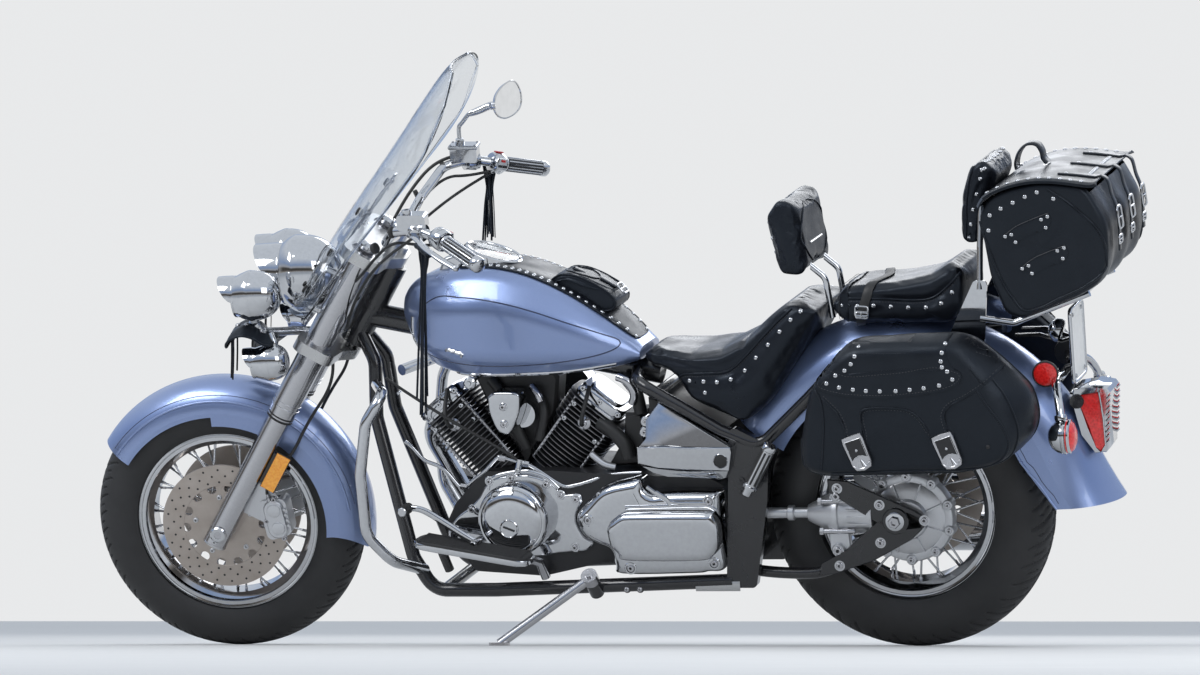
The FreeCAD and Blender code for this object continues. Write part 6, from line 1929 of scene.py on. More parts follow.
def dressBib():
    look = bibLook
    ground = skin(leaning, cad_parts["fuel_tank"])
    outline = look["outline"] + [(x, -y) for x, y in reversed(look["outline"])]
    border = roundedRing(outline, 26, 10)
    sheet = Shape()
    flatSheet(sheet, ground, [(spot.x, spot.z) for spot in border], 0, look["lift"], look["thick"], "leather",
              12)
    piece = sheet.build("tankBibLeather", "root", None, "leather", sharp=50, stands=("tank_bib",))
    trim = Shape()
    onBib = skin(leaning, piece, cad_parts["tank_console"])
    line, faces = lineOn(onBib, [Vector((spot.x, spot.z, outside["above"]))
                                 for spot in roundedRing(outline, 26, 14)], toGround,
                         -0.4, 8)
    trim.tube(line, 2.6, "leather", 8, closed=True)
    for side in sides:
        for i in range(look["studCount"]):
            x = look["studStart"] + (look["studEnd"] - look["studStart"]) * i / (look["studCount"] - 1)
            edge = look["outline"]
            for a, b in zip(edge, edge[1:]):
                if a[0] <= x <= b[0]:
                    y = a[1] + (b[1] - a[1]) * (x - a[0]) / (b[0] - a[0]) - look["studInset"]
            spot, normal = landAbove(onBib, x, side * y)
            trim.stud(spot, normal, 5.4)
    trim.build("tankBibTrim", "root", None, "leather", sharp=45)
    pouch = Shape()
    ring = roundedRing([(x, z) for x, z in look["pouch"]], 16, 8)
    middle = sum(ring, Vector()) / len(ring)
    rows = []
    half = look["pouchHalf"]
    for y, share in ((-half - 3, 0.02), (-half - 2.5, 0.5), (-half - 1, 0.8), (-half, 0.92),
                     (-half + 4, 0.985),
                     (-half + 10, 1), (-half / 3, 1.01), (half / 3, 1.01), (half - 10, 1), (half - 4, 0.985),
                     (half, 0.92),
                     (half + 1, 0.8), (half + 2.5, 0.5), (half + 3, 0.02)):
        rows.append([Vector((middle.x + (spot.x - middle.x) * share, y, middle.z + (spot.z - middle.z) * share
                             + noise.noise(Vector((spot.x, y, spot.z)) * 0.03) * 1.6)) for spot in ring])
    pouch.loft(rows, "leather")
    bag = pouch.build("tankPouch", "root", None, "leather", sharp=50)
    onPouch = skin(leaning, bag)
    finer = Shape()
    for side in sides:
        loop = [Vector((middle.x + (spot.x - middle.x) * 0.97, side * (half - 1),
                        middle.z + (spot.z - middle.z) * 0.97))
                for spot in ring]
        finer.tube(loop, 2.6, "leather", 8, closed=True)
    flapRows = []
    for x, wide in ((-800, 44), (-780, 54), (-750, 58), (-715, 59), (-690, 56), (-668, 44), (-654, 30)):
        row = []
        for j in range(15):
            y = (-1 + j / 7) * wide
            spot, normal = landAbove(onPouch, x, y * 0.93, 1.4)
            if abs(j - 7) == 7:
                spot = spot + Vector((0, (1 if y > 0 else -1) * 4, -10))
            row.append(spot)
        flapRows.append(row + [spot - Vector((0, 0, 2.4)) for spot in reversed(row)])
    finer.loft(flapRows, "leather")
    rim = ([row[0] for row in flapRows] + [flapRows[-1][j] for j in range(1, 14)]
           + [row[14] for row in reversed(flapRows)])
    finer.tube(smoothPath(rim, 3), 2.2, "leather", 8)
    oval = [(-730 + 38 * cos(2 * pi * i / 32), 34 * sin(2 * pi * i / 32),
             outside["above"]) for i in range(33)]
    flap = skin(leaning, finer.build("tankPouchFlap", "root", None, "leather", sharp=50))
    last = Shape()
    line, faces = lineOn(flap, oval, toGround, 0.8, 6)
    last.tube(line, 1.6, "leather", 6)
    strap, faces = lineOn(flap, [(x, 0, outside["above"]) for x in (-690, -675, -660, -650)], toGround, 1.6,
                          8)
    strap = strap + [strap[-1] + Vector((10, 0, -10)), strap[-1] + Vector((14, 0, -30))]
    last.strap(smoothPath(strap, 3), (0.5, 0, 0.86), 22, 2, "leather")
    buckle(last, (-640, 0, 838), (0.75, 0, 0.66), (0.66, 0, -0.75), 34, 26)
    last.build("tankPouchTrim", "root", None, "leather", sharp=45)


dressBib()
print("bib laid")

# Engine: finned cylinders, covers with their bolts, shield, lines and cables
engineLook = {
    "crank": (-890, 0, 352), "tilt": 39.5, "finFrom": 100, "finTo": 286, "finPitch": 10.6, "finThick": 2.8,
    "barrel": 57, "headFrom": 214, "finHalf": 76, "headHalf": 72,
    "shield": [(-947, 612), (-938, 620), (-924, 624), (-884, 623), (-872, 617), (-871, 607), (-874, 580),
               (-884, 555),
               (-894, 536), (-905, 525), (-915, 525), (-930, 534), (-940, 556), (-947, 583)],
    "shieldBolts": [(-911, 590), (-912, 550)],
    "gearCover": [(-744, 335), (-739, 351), (-713, 377), (-682, 406), (-654, 419), (-614, 427), (-582, 430),
                  (-575, 408),
                  (-558, 397), (-530, 399), (-412, 398), (-403, 388), (-403, 344), (-403, 280), (-403, 220),
                  (-443, 213),
                  (-474, 209), (-644, 208), (-660, 230), (-668, 265), (-697, 278), (-720, 290), (-738, 312)],
    "gearBolts": [(-711, 338), (-424, 379), (-422, 236), (-619, 226)],
    "smallBolts": [(-597, 410), (-683, 394)],
    "oval": [(-664, 317), (-657, 334), (-642, 347), (-624, 357), (-596, 360), (-424, 359), (-410, 351),
             (-402, 332),
             (-401, 305), (-404, 277), (-420, 256), (-453, 246), (-621, 247), (-641, 263), (-657, 282)],
    "ridges": [[(-620, 367), (-521, 369), (-475, 370), (-428, 369), (-408, 358)],
               [(-566, 414), (-545, 398), (-520, 380), (-514, 370)],
               [(-546, 402), (-524, 388), (-505, 376), (-428, 374)]],
    "round": (-895, 336), "roundRadius": 84, "cap": (-897, 322), "plug": (-926, 395),
    "case": [(-1064, 262), (-1070, 300), (-1046, 334), (-1012, 358), (-988, 380), (-972, 404), (-950, 424),
             (-905, 432), (-862, 432), (-822, 420),
             (-800, 404), (-785, 386), (-745, 387), (-740, 367), (-754, 344), (-757, 317), (-741, 287),
             (-719, 272),
             (-740, 252), (-771, 250), (-813, 246), (-850, 240), (-950, 240), (-1010, 246)],
    "caseBolts": [(-1052, 306), (-1040, 276), (-958, 418), (-905, 426), (-1006, 352), (-822, 410),
                  (-790, 384), (-754, 374), (-765, 262)],
    "zig": [(-1159, 511), (-1142, 497), (-1115, 467), (-1083, 453), (-1064, 439), (-1035, 403), (-1023, 401),
            (-1001, 417), (-967, 442), (-936, 471), (-924, 472), (-881, 460), (-869, 458), (-838, 440),
            (-785, 405),
            (-753, 406), (-721, 414), (-684, 425), (-640, 431), (-596, 432)],
    "cable": [(-1190, 662), (-1075, 581), (-956, 511), (-884, 467), (-883, 452), (-888, 430)],
    "sideUpper": [(-582, 504), (-566, 520), (-566, 560), (-551, 580), (-536, 599), (-511, 585), (-437, 541),
                  (-372, 504), (-368, 500), (-468, 501), (-526, 505), (-556, 503)],
    "sideLower": [(-586, 466), (-584, 504), (-556, 503), (-526, 504), (-468, 500), (-366, 499), (-364, 490),
                  (-374, 446), (-470, 448), (-540, 454)],
    "sideSill": [(-580, 458), (-540, 452), (-470, 446), (-376, 445), (-384, 428), (-396, 424), (-478, 428),
                 (-524, 432), (-556, 444)],
    "sidePlug": (-391, 470),
    "pipes": [
        ([(-960, -40, 640), (-930, -50, 600), (-900, -56, 520), (-885, -52, 480)], 13, "softBlack"),
        ([(-850, -30, 600), (-835, -52, 560), (-850, -60, 500)], 11, "softBlack"),
        ([(-860, -48, 624), (-846, -58, 610), (-838, -60, 590)], 9, "wornChrome"),
        ([(-700, -60, 540), (-668, -70, 520), (-640, -76, 490), (-632, -76, 460)], 17, "softBlack"),
        ([(-720, -80, 470), (-690, -86, 448), (-664, -84, 440)], 8, "castSilver"),
        ([(-640, -40, 640), (-610, -60, 610), (-600, -62, 560)], 15, "softBlack"),
        ([(-1010, -20, 440), (-990, -30, 470), (-960, -30, 500)], 12, "softBlack"),
        ([(-640, -90, 650), (-616, -96, 640), (-604, -92, 612), (-612, -84, 588)], 10, "wornChrome"),
    ],
}


def finOutline(half, wide, power):
    line = []
    for i in range(44):
        turn = 2 * pi * i / 44
        a, b = cos(turn), sin(turn)
        line.append((copysign(abs(a) ** (2 / power), a) * half,
                     copysign(abs(b) ** (2 / power), b) * wide))
    return line


def dressCylinders():
    look = engineLook
    crank = Vector(look["crank"])
    for sign, name in ((-1, "Front"), (1, "Rear")):
        turn = radians(look["tilt"]) * sign
        up = Vector((sin(turn), 0, cos(turn)))
        across = Vector((cos(turn), 0, -sin(turn)))
        y = Vector((0, 1, 0))
        shape = Shape()
        core = [(crank + up * reach) for reach in (92, look["finTo"] + 4)]
        shape.tube(core, look["barrel"], "engineBlack", 36)
        reach = look["finFrom"]
        while reach < look["finTo"]:
            head = reach > look["headFrom"]
            half = look["headHalf"] if head else look["finHalf"]
            wide = look["finHalf"] + (2 if head else -3)
            outline = finOutline(wide - 0.6, half, power=4.0 if head else 3.0)
            rings = []
            for share, rise in ((0.985, 0), (1.0, 0.8), (1.0, look["finThick"] - 0.8),
                                (0.985, look["finThick"])):
                rings.append([crank + up * (reach + rise) + across * a * share + y * b * share for a,
                              b in outline])
            # each fin's rim takes the lighter grey: painted highlight on the fin edges
            for band in (rings[1:3], rings[:2], rings[2:]):
                shape.loft(band, "paintedFinHighlight", caps=False)
            for ring in (rings[0][::-1], rings[3]):
                shape.add(ring, [list(range(len(ring)))], "engineBlack")
            reach += look["finPitch"]
        # studs, spark plug boss, oil line, head nuts
        for a in (-52, 52):
            foot = crank + up * 100 + across * a - y * 60
            shape.tube([foot, foot + up * 180], 4.2, "wornChrome", 10)
            shape.bolt(foot + up * 286 - y * 8, up, 6)
        plug = crank + up * 246 - y * 72
        shape.turn([(15, -8), (15, 3), (11, 5), (8, 6), (8, 16), (5, 18)], plug, toLeft, "wornChrome", 20)
        shape.tube(smoothPath([plug - y * 10, plug - y * 30 + up * 4, plug - y * 34 + up * 30
                               - across * 12 * sign,
                               crank + up * 318 - y * 60 - across * 40 * sign], 6), 5, "softBlack", 10)
        for a, b in ((-44, 226), (-44, 268), (44, 226), (44, 268)):
            shape.bolt(crank + up * b + across * a - y * 74.5, toLeft, 4.6)
        shape.build("cylinder" + name, "root", None, "black_fins", sharp=35, stands=("cylinders",))
    cover = Shape()
    for sign in (-1, 1):
        # polished head covers: bevelled slab with a lower flange and bolts
        turn = radians(look["tilt"]) * sign
        up = Vector((sin(turn), 0, cos(turn)))
        across = Vector((cos(turn), 0, -sin(turn)))
        for low, high, wide, half, soft in ((287, 293, 64, 68, 1.0), (293, 316, 60, 64, 6),
                                            (316, 321.5, 44, 48, 4)):
            outline = finOutline(wide, half, power=5)
            rings = []
            for share, rise in ((0.99, 0), (1.0, soft * 0.4), (1.0, high - low - soft),
                                (0.985, high - low - soft * 0.5),
                                (0.95, high - low)):
                rings.append([crank + up * (low + rise) + across * a * share + Vector((0, b * share, 0))
                              for a, b in outline])
            cover.loft(rings, "chrome")
        for a in (-50, 0, 50):
            cover.bolt(crank + up * 305 + across * a + Vector((0, -62 + abs(a) * 0.08, 0)), toLeft, 6)
            cover.bolt(crank + up * 305 + across * a + Vector((0, 62 - abs(a) * 0.08, 0)), toRight, 6)
    cover.build("headCovers", "root", None, "chrome", sharp=35, stands=("rocker_covers",))


def bossBolt(shape, x, z, y):
    # socket bolt sunk in a round boss; the floor of the boss's recess is painted black, painted shade
    spot, radius = (x, y, z), 7.5
    shape.turn([(radius * 1.9, -2), (radius * 1.9, 0.8), (radius * 1.7, 1.8), (radius * 1.35, 1.8),
                (radius * 1.3, 0)], spot, toLeft, "chrome", 28)
    shape.turn([(radius * 1.3, 0.2), (0, 0.2)], spot, toLeft, "engineBlack", 24)
    shape.bolt(spot, toLeft, radius, "wornChrome", radius * 0.5)


def coverSlab(shape, outline, low, high, key, rounding):
    # cover with a softly rounded outer edge; low and high are distances from the middle plane
    line = [Vector((x, 0, z)) for x, z in outline]
    ring = evenPath(smoothPath(line + line[:1], 4), 7)[:-1]
    middle = sum(ring, Vector()) / len(ring)
    count = len(ring)
    normals = []
    for i in range(count):
        ahead = (ring[(i + 1) % count] - ring[i - 1]).normalized()
        out = Vector((ahead.z, 0, -ahead.x))
        if out.dot(ring[i] - middle) < 0:
            out = -out
        normals.append(out)
    rings = []
    rows = [(0, low)] + [(rounding * (1 - cos(radians(90 * i / 6))),
                          high - rounding + rounding * sin(radians(90 * i / 6))) for i in range(7)]
    for inset, y in rows:
        spots = [Vector((ring[i].x - normals[i].x * inset, -y, ring[i].z - normals[i].z * inset))
                 for i in range(count)]
        for step in range(12):
            # corners tighter than the rounding are drawn together, so the rim never folds over itself
            folded = [i for i in range(count) if (spots[(i + 1) % count] - spots[i]).dot(
                Vector((ring[(i + 1) % count].x - ring[i].x, 0, ring[(i + 1) % count].z - ring[i].z))) < 8]
            for i in folded:
                j = (i + 1) % count
                drawn = (spots[i - 1] + spots[i] + spots[j] + spots[(i + 2) % count]) / 4
                spots[i], spots[j] = drawn.lerp(spots[i], 0.3), drawn.lerp(spots[j], 0.3)
        rings.append(spots)
    last = rings[-1]
    heart = sum(last, Vector()) / count
    for share in (0.75, 0.5, 0.25, 0.02):
        rings.append([heart + (spot - heart) * share for spot in last])
    shape.loft(rings, key, caps=True)


def dressCovers():
    look = engineLook
    shape = Shape()
    # crankcase face, gear case, raised oval with its ridges
    coverSlab(shape, look["case"], 100, 118, "chrome", 7)
    coverSlab(shape, look["gearCover"], 112, 172, "chrome", 26)
    coverSlab(shape, look["oval"], 150, 202, "chrome", 20)
    for ridge in look["ridges"]:
        shape.tube([(x, -171, z) for x, z in smoothOutline(ridge)], 5, "chrome", 12, flat=0.6, up=toLeft)
    for x, z in look["gearBolts"]:
        bossBolt(shape, x, z, -171.5)
    for x, z in look["smallBolts"]:
        shape.bolt((x, -160, z), toLeft, 6, "wornChrome")
    for x, z in look["caseBolts"]:
        shape.turn([(12, -16), (12, -1), (10.5, 0.5), (0, 0.5)], (x, -118, z), toLeft, "chrome", 24)
        shape.bolt((x, -118.5, z), toLeft, 6.4, "wornChrome")
    # round cover: outer ring, dish, raised cap
    x, z = look["round"]
    r = look["roundRadius"]
    shape.turn([(r, 104), (r, 150), (r - 1, 158), (r - 4, 164), (r - 9, 168), (r - 14, 170), (r - 16, 172),
                (r - 22, 176), (r - 34, 180), (r - 52, 182), (0, 183)], (x, 0, z), toLeft, "chrome", 72)
    shape.turn([(r - 6.5, 166.5), (r - 5, 169), (r - 8, 171), (r - 11, 170)], (x, 0, z), toLeft, "chrome", 72,
               hollow=True)
    x, z = look["cap"]
    shape.turn([(23, 178), (22, 184), (20, 186), (18.5, 184.5), (0, 184.2)], (x, 0, z), toLeft, "chrome", 48)
    # black strip across the cap for its slot: painted shade
    shape.strap([(x - 13, -185, z + 5), (x + 13, -185, z - 5)], toLeft, 4.5, 2, "engineBlack")
    x, z = look["plug"]
    shape.turn([(13.5, 140), (13.5, 170), (12, 173), (10, 171), (0, 171)], (x, 0, z), toLeft, "chrome", 36)
    # black strip across the plug for its slot: painted shade
    shape.strap([(x - 7, -172, z), (x + 7, -172, z)], toLeft, 2.5, 1.5, "engineBlack")
    # fill the arch behind the round cover
    shape.tube(smoothPath([(-962, -112, 398), (-950, -112, 424), (-905, -112, 436), (-862, -112, 438),
                           (-822, -112, 424), (-795, -112, 398)], 6), 7, "chrome", 14)
    # right side: clutch cover with ring and bolts
    shape.turn([(97, 110), (97, 160), (93, 172), (86, 178), (70, 180), (66, 176), (62, 176), (58, 179.5),
                (0, 181)],
               (-870, 0, 342), toRight, "chrome", 72)
    for i in range(9):
        turn = radians(40 * i + 12)
        shape.bolt((-870 + 79 * cos(turn), 179, 342 + 79 * sin(turn)), toRight, 5.6, "wornChrome")
    shape.build("caseCovers", "root", None, "chrome", sharp=30, stands=("engine_covers",))
    shield = Shape()
    coverSlab(shield, look["shield"], 62, 113, "chrome", 6)
    for x, z in look["shieldBolts"]:
        shield.turn([(9.5, 112), (9.5, 114.5), (8, 115.5)], (x, 0, z), toLeft, "chrome", 28)
        shield.bolt((x, -115, z), toLeft, 6.4, "wornChrome")
    shield.build("veeShield", "root", None, "chrome", sharp=30, stands=("vee_cover",))


def smoothOutline(points):
    return [(spot.x, spot.z) for spot in smoothPath([Vector((x, 0, z)) for x, z in points], 6)]


def dressLines():
    look = engineLook
    shape = Shape()
    shape.tube(smoothPath([(x, -106 - (6 if -1000 < x < -700 else 0), z) for x, z in look["zig"]], 5), 4.6,
               "chrome", 12)
    for x, z in ((-924, 470), (-869, 456), (-1023, 404)):
        shape.turn([(7.5, -8), (7.5, 8)], (x, -111, z), (1, 0, -0.2), "wornChrome", 6)
    # clamp and clutch arm on top of the case
    shape.strap([(-881, -116, 468), (-884, -118, 452), (-890, -117, 436)], toLeft, 13, 5, "chrome")
    shape.bolt((-887, -121, 444), toLeft, 5)
    # dark pipes and clutter in the vee, and behind the rear cylinder; the black blocks there are partly dark
    # parts and partly painted shade of the gaps
    for points, radius, key in look["pipes"]:
        shape.tube(smoothPath(points, 5), radius, key, 12)
    # black blocks filling the vee and the gap behind the rear cylinder: dark parts, with painted shade of the
    # gaps
    shape.plate([(-893, 436), (-972, 566), (-1000, 640), (-984, 662), (-816, 664), (-800, 640), (-812, 560)],
                -34, 34,
                "softBlack", 8)
    shape.plate([(-690, 436), (-648, 500), (-640, 560), (-600, 560), (-596, 440)], -60, 40, "softBlack", 8)
    shape.build("engineLines", "root", None, "black_rubber", sharp=40)
    makeHose("caseCable", [Vector((x, -114, z)) for x, z in look["cable"]], 7.2, "root", leaning)


def slopedPanel(shape, outline, base, face, slope, level, key, rim=4):
    # panel whose face leans: its distance from the middle falls off above (or below) a level
    line = [Vector((x, 0, z)) for x, z in outline]
    middle = sum(line, Vector()) / len(line)
    rings = []
    for inset, depth in ((0, None), (0, -rim), (rim * 0.35, -rim * 0.35), (rim, 0)):
        ring = []
        for spot in line:
            away = (spot - middle).normalized()
            near = spot - away * inset
            y = base if depth is None else face - slope * abs(near.z - level) + depth
            ring.append(Vector((near.x, -y, near.z)))
        rings.append(ring)
    shape.loft(rings, key)


def dressSideCover():
    look = engineLook
    shape = Shape()
    slopedPanel(shape, look["sideUpper"], 128, 164, 0.34, 500, "chrome")
    slopedPanel(shape, look["sideLower"], 128, 168, 0.12, 500, "chrome")
    slopedPanel(shape, look["sideSill"], 128, 160, 0.5, 448, "chrome", 3)
    shape.plate([(-592, 470), (-586, 524), (-516, 598), (-360, 506), (-366, 430), (-522, 436)], 141, 168,
                "chrome", 6)
    shape.plate([(-566, 446), (-566, 606), (-486, 590), (-392, 530), (-392, 446)], -112, 112, "softBlack", 6)
    x, z = look["sidePlug"]
    shape.turn([(17, 148), (17, 166), (15.5, 168)], (x, 0, z), toLeft, "chrome", 36, hollow=True)
    shape.turn([(15.6, 160), (15, 167), (11, 169), (0, 170)], (x, 0, z), toLeft, "softBlack", 36)
    shape.tube([(px, -165, pz) for px, pz in smoothOutline([(-580, 500), (-526, 503), (-468, 500),
                                                            (-366, 499)])], 2.6,
               "chrome", 10)
    for px, pz in ((-568, 556), (-572, 532)):
        shape.turn([(12, 110), (12, 136), (10, 138), (0, 138)], (px, 0, pz), toLeft, "chrome", 24)
        shape.bolt((px, -138, pz), toLeft, 5, "wornChrome")
    shape.build("sideCoverDress", "root", None, "chrome", sharp=30, stands=("side_covers",))


dressCylinders()
dressCovers()
dressLines()
dressSideCover()
print("engine dressed")


# Floorboards, shifter, peg, rail plate and stand fittings
footLook = {
    "boardFrom": (-1112, 0, 309), "boardTo": (-836, 0, 260), "boardInner": 172, "boardOuter": 258,
    "pegTop": (-266, 190, 508), "pegLow": (-318, 186, 420),
    "shifter": [(-1128, -206, 378), (-1104, -206, 376), (-1080, -205, 366), (-1040, -204, 340),
                (-1004, -202, 314),
                (-972, -198, 292)],
    "pedal": [(-1150, 222, 350), (-1080, 212, 338), (-1010, 206, 300), (-1000, 150, 236), (-1000, 128, 180)],
}


def dressBoards():
    for side in sides:
        shape = Shape()
        # rounded board: plated rim, ribbed rubber on top; it drops a little to the rear
        start, end = Vector(footLook["boardFrom"]), Vector(footLook["boardTo"])
        along = (end - start).normalized()
        up = Vector((-along.z, 0, along.x))
        inner, outer = footLook["boardInner"], footLook["boardOuter"]
        outline = []
        length = (end - start).length
        for a, b in ((0.02, 0.2), (0.0, 0.5), (0.02, 0.8), (0.07, 0.95), (0.16, 1.0), (0.5, 1.0), (0.86, 1.0),
                     (0.95, 0.95), (0.99, 0.82), (1.0, 0.5), (0.99, 0.18), (0.95, 0.05), (0.86, 0.0),
                     (0.5, 0.0),
                     (0.16, 0.0), (0.07, 0.05)):
            outline.append(Vector((a * length, inner + b * (outer - inner), 0)))
        outline = evenPath(smoothPath(outline + outline[:1], 5), 8)[:-1]

        def ringAt(rise, share):
            middle = Vector((length / 2, (inner + outer) / 2, 0))
            ring = []
            for spot in outline:
                near = middle + (spot - middle) * share
                high = start + along * near.x + up * rise
                ring.append(Vector((high.x, side * near.y, high.z)))
            return ring

        shape.loft([ringAt(-13, 0.96), ringAt(-11, 0.995), ringAt(-9, 1.0), ringAt(-1, 1.0),
                    ringAt(1.0, 0.985)],
                   "chrome")
        shape.loft([ringAt(0.6, 0.965), ringAt(4.6, 0.955), ringAt(6, 0.93)], "rubber")
        for i in range(9):
            y = inner + 10 + i * 8.2
            line = [start + along * a + up * 6.6 for a in (18, length - 18)]
            shape.tube([Vector((spot.x, side * y, spot.z)) for spot in line], 1.9, "rubber", 6)
        shape.tube([(-860, side * 176, 250), (-842, side * 150, 236), (-836, side * 132, 196)], 11,
                   "wornChrome", 12)
        shape.tube([(-1080, side * 176, 292), (-1076, side * 150, 262), (-1068, side * 132, 214)], 11,
                   "blackFrame", 12)
        shape.build("boardDress" + sideName(side), "root", None, "black_rubber", sharp=35,
                    stands=("floorboards",))
    shape = Shape()
    # shifter with its rubber pad, brake pedal, passenger pegs with inlaid strips, blank plate on the rail
    shape.tube([(-1128, -200, 378), (-1128, -244, 378)], 11.5, "rubber", 18)
    shape.turn([(10.5, -1), (10.5, 3), (8.5, 5), (0, 5)], (-1128, -244, 378), toLeft, "chrome", 24)
    for i in range(5):
        shape.turn([(11.9, -1.5), (12.7, 0), (11.9, 1.5)], (-1128, -206 - i * 8.5, 378), toLeft, "rubber", 18,
                   hollow=True)
    shape.tube(smoothPath(footLook["shifter"], 5), [7 + 2.5 * i / 25 for i in range(26)], "chrome", 12,
               flat=0.7, up=toLeft)
    shape.tube([(-976, -212, 294), (-972, -122, 290)], 10, "wornChrome", 16)
    shape.bolt((-976, -212, 294), toLeft, 6)
    shape.tube(smoothPath(footLook["pedal"], 5), 7.5, "chrome", 12)
    shape.plate([(-1184, 352), (-1178, 364), (-1120, 349), (-1126, 338)], 202, 260, "chrome", 2)
    shape.plate([(-1180, 364), (-1177, 370), (-1119, 355), (-1122, 349)], 205, 257, "rubber", 1.5)
    for side in sides:
        top, low = mirrorPoint(footLook["pegTop"], side), mirrorPoint(footLook["pegLow"], side)
        way = (low - top).normalized()
        shape.turn([(0, -3), (15, -2), (17, 2), (17, 10), (15, 12)], top, way, "chrome", 28)
        shape.tube([top + way * 8, low], 14, "chrome", 24)
        shape.turn([(15, 0), (17, 2), (17, 8), (12, 10), (11, 26), (0, 26)], low, way, "chrome", 28)
        first = way.orthogonal().normalized()
        second = way.cross(first)
        for i in range(8):
            turn = 2 * pi * i / 8
            off = first * cos(turn) * 13.6 + second * sin(turn) * 13.6
            shape.tube([top + way * 16 + off, low - way * 4 + off], 2.6, "rubber", 8)
        shape.tube([low + way * 14, (-334, side * 168, 398), (-336, side * 136, 400)], 11, "wornChrome", 16)
        shape.bolt((-352, side * 140, 420), (0, side, 0), 7, "blackFrame")
        shape.bolt((-352, side * 140, 396), (0, side, 0), 7, "blackFrame")
    shape.strap([(-478, -143.2, 176), (-374, -143.2, 176)], toLeft, 22, 1.4, "satinAlloy")
    for x in (-641, -610):
        shape.turn([(9, -10), (9, 3), (7, 5), (0, 5)], (x, -140, 170), toLeft, "blackFrame", 20)
        shape.bolt((x, -145, 170), toLeft, 5, "wornChrome")
    shape.build("footDress", "root", None, "chrome", sharp=35, stands=("foot_controls",))


dressBoards()
print("foot parts dressed")

# Tank: pinstripe, plated strip and knob, console dial; fender edges
tankLook = {
    "stripe": [(-1105, 730), (-1109, 752), (-1104, 785), (-1086, 824), (-1054, 845), (-1027, 851),
               (-994, 849),
               (-946, 845), (-876, 832), (-806, 811), (-738, 784), (-670, 755), (-628, 733), (-640, 716),
               (-700, 702),
               (-800, 692), (-920, 689), (-1030, 700), (-1086, 714)],
    "strip": [(-1118, 800), (-1122, 750), (-1108, 704), (-1052, 676), (-984, 668), (-904, 667), (-753, 670),
              (-640, 682)],
    "knob": (-972, -150, 655), "dial": (-957, 0, 885), "dialUp": (0.35, 0, 0.937), "dialRadius": 66,
}


def dressTank():
    look = tankLook
    ground = skin(leaning, "fuel_tank")
    stripe = Shape()
    for side in sides:
        line, faces = sideLine(ground, side, look["stripe"] + look["stripe"][:1], 0.2, 8)
        stripe.strap(line, faces, 3.2, 0.7, "darkBlue")
    stripe.build("tankStripe", "root", None, "paint", sharp=60)
    shape = Shape()
    for side in sides:
        line, faces = sideLine(ground, side, look["strip"], 0.6, 8)
        shape.strap(line, faces, 9, 3.4, "chrome")
        x, y, z = look["knob"]
        shape.tube([(x, -y * side * 0.5, z + 6), (x, -y * side, z)], 6, "wornChrome", 12)
        shape.turn([(13, -8), (15, -4), (15, 5), (11, 9), (6, 9), (5, 12), (0, 12)], (x, -y * side, z),
                   (0, side, 0),
                   "chrome", 8)
    # dial with bezel, face, scale marks and needle
    centre, up = Vector(look["dial"]), Vector(look["dialUp"]).normalized()
    r = look["dialRadius"]
    rise = 46
    shape.turn([(r + 2, rise - 16), (r + 3, rise - 6), (r + 2, rise + 1), (r - 2, rise + 4),
                (r - 7, rise + 3),
                (r - 9, rise - 1)], centre, up, "chrome", 72, hollow=True)
    shape.turn([(r - 8.5, rise + 0.4), (0, rise + 0.4)], centre, up, "dialFace", 60)
    shape.turn([(r - 8.5, rise + 2.2), (r * 0.5, rise + 3.2), (0, rise + 3.6)], centre, up, "clearGlass", 60)
    east = Vector((0, 1, 0))
    north = up.cross(east)
    for i in range(25):
        turn = radians(-135 + 270 * i / 24)
        way = east * sin(turn) + north * cos(turn)
        long = 9 if i % 3 == 0 else 5
        start, end = centre + up * (rise + 0.9) + way * (r - 13), centre + up * (rise + 0.9) + way * (r - 13
                                                                                                      - long)
        shape.tube([start, end], 0.8, "engineBlack", 5)
    shape.tube([centre + up * (rise + 1.6) - east * 6, centre + up * (rise + 1.6) + east * 20 - north * 34],
               1.3,
               "redSwitch", 6)
    shape.turn([(6, rise + 0.6), (5, rise + 2), (0, rise + 2.2)], centre, up, "engineBlack", 20)
    shape.plate([(-20, -8), (20, -8), (20, 6), (-20, 6)], rise + 0.4, rise + 1.0, "engineBlack", 0, across=up,
                flatX=east,
                flatZ=north, at=centre - north * 26)
    shape.build("tankDress", "root", None, "chrome", sharp=40)


fenderLook = {"front_fender": (4, 178), "rear_fender": (2, 120), "step": 3, "bead": 3.0, "lineInset": 13}


def rimLine(node, where, axle, side, first, last, lift, inset=0):
    # the lower edge of a fender's side, found by looking along the axle direction from outside
    ground = skin(where, node)
    spots, faces = [], []
    turn = first
    while turn <= last:
        way = spoke(radians(turn))

        def seen(radius):
            return ground.ray_cast(axle + way * radius + Vector((0, side * 400, 0)), Vector((0, -side, 0)))[0]

        for radius in range(300, 540, 4):
            spot = seen(radius)
            if spot is not None and abs(spot.y) > 40:
                spot = seen(radius + inset + 2)
                if spot is not None:
                    spots.append(spot + Vector((0, side * lift, 0)))
                    faces.append(Vector((0, side, 0)))
                break
        turn += fenderLook["step"]
    return spots, faces


def dressFenders():
    for node, where, body, axle in (("front_fender", steering, "fork", frontAxle),
                                    ("rear_fender", leaning, "root", rearAxle)):
        first, last = fenderLook[node]
        shape = Shape()
        for side in sides:
            spots, faces = rimLine(node, where, axle, side, first, last, 0.6)
            if len(spots) > 4:
                shape.tube(spots, fenderLook["bead"], "paint", 10)
            spots, faces = rimLine(node, where, axle, side, first + 2, last - 4, 0.4, fenderLook["lineInset"])
            if len(spots) > 4:
                shape.strap(spots, faces, 1.6, 0.7, "darkBlue")
        shape.build(node.split("_")[0] + "FenderEdge", body, where, "paint", sharp=50)


dressTank()
dressFenders()
print("tank and fenders dressed")

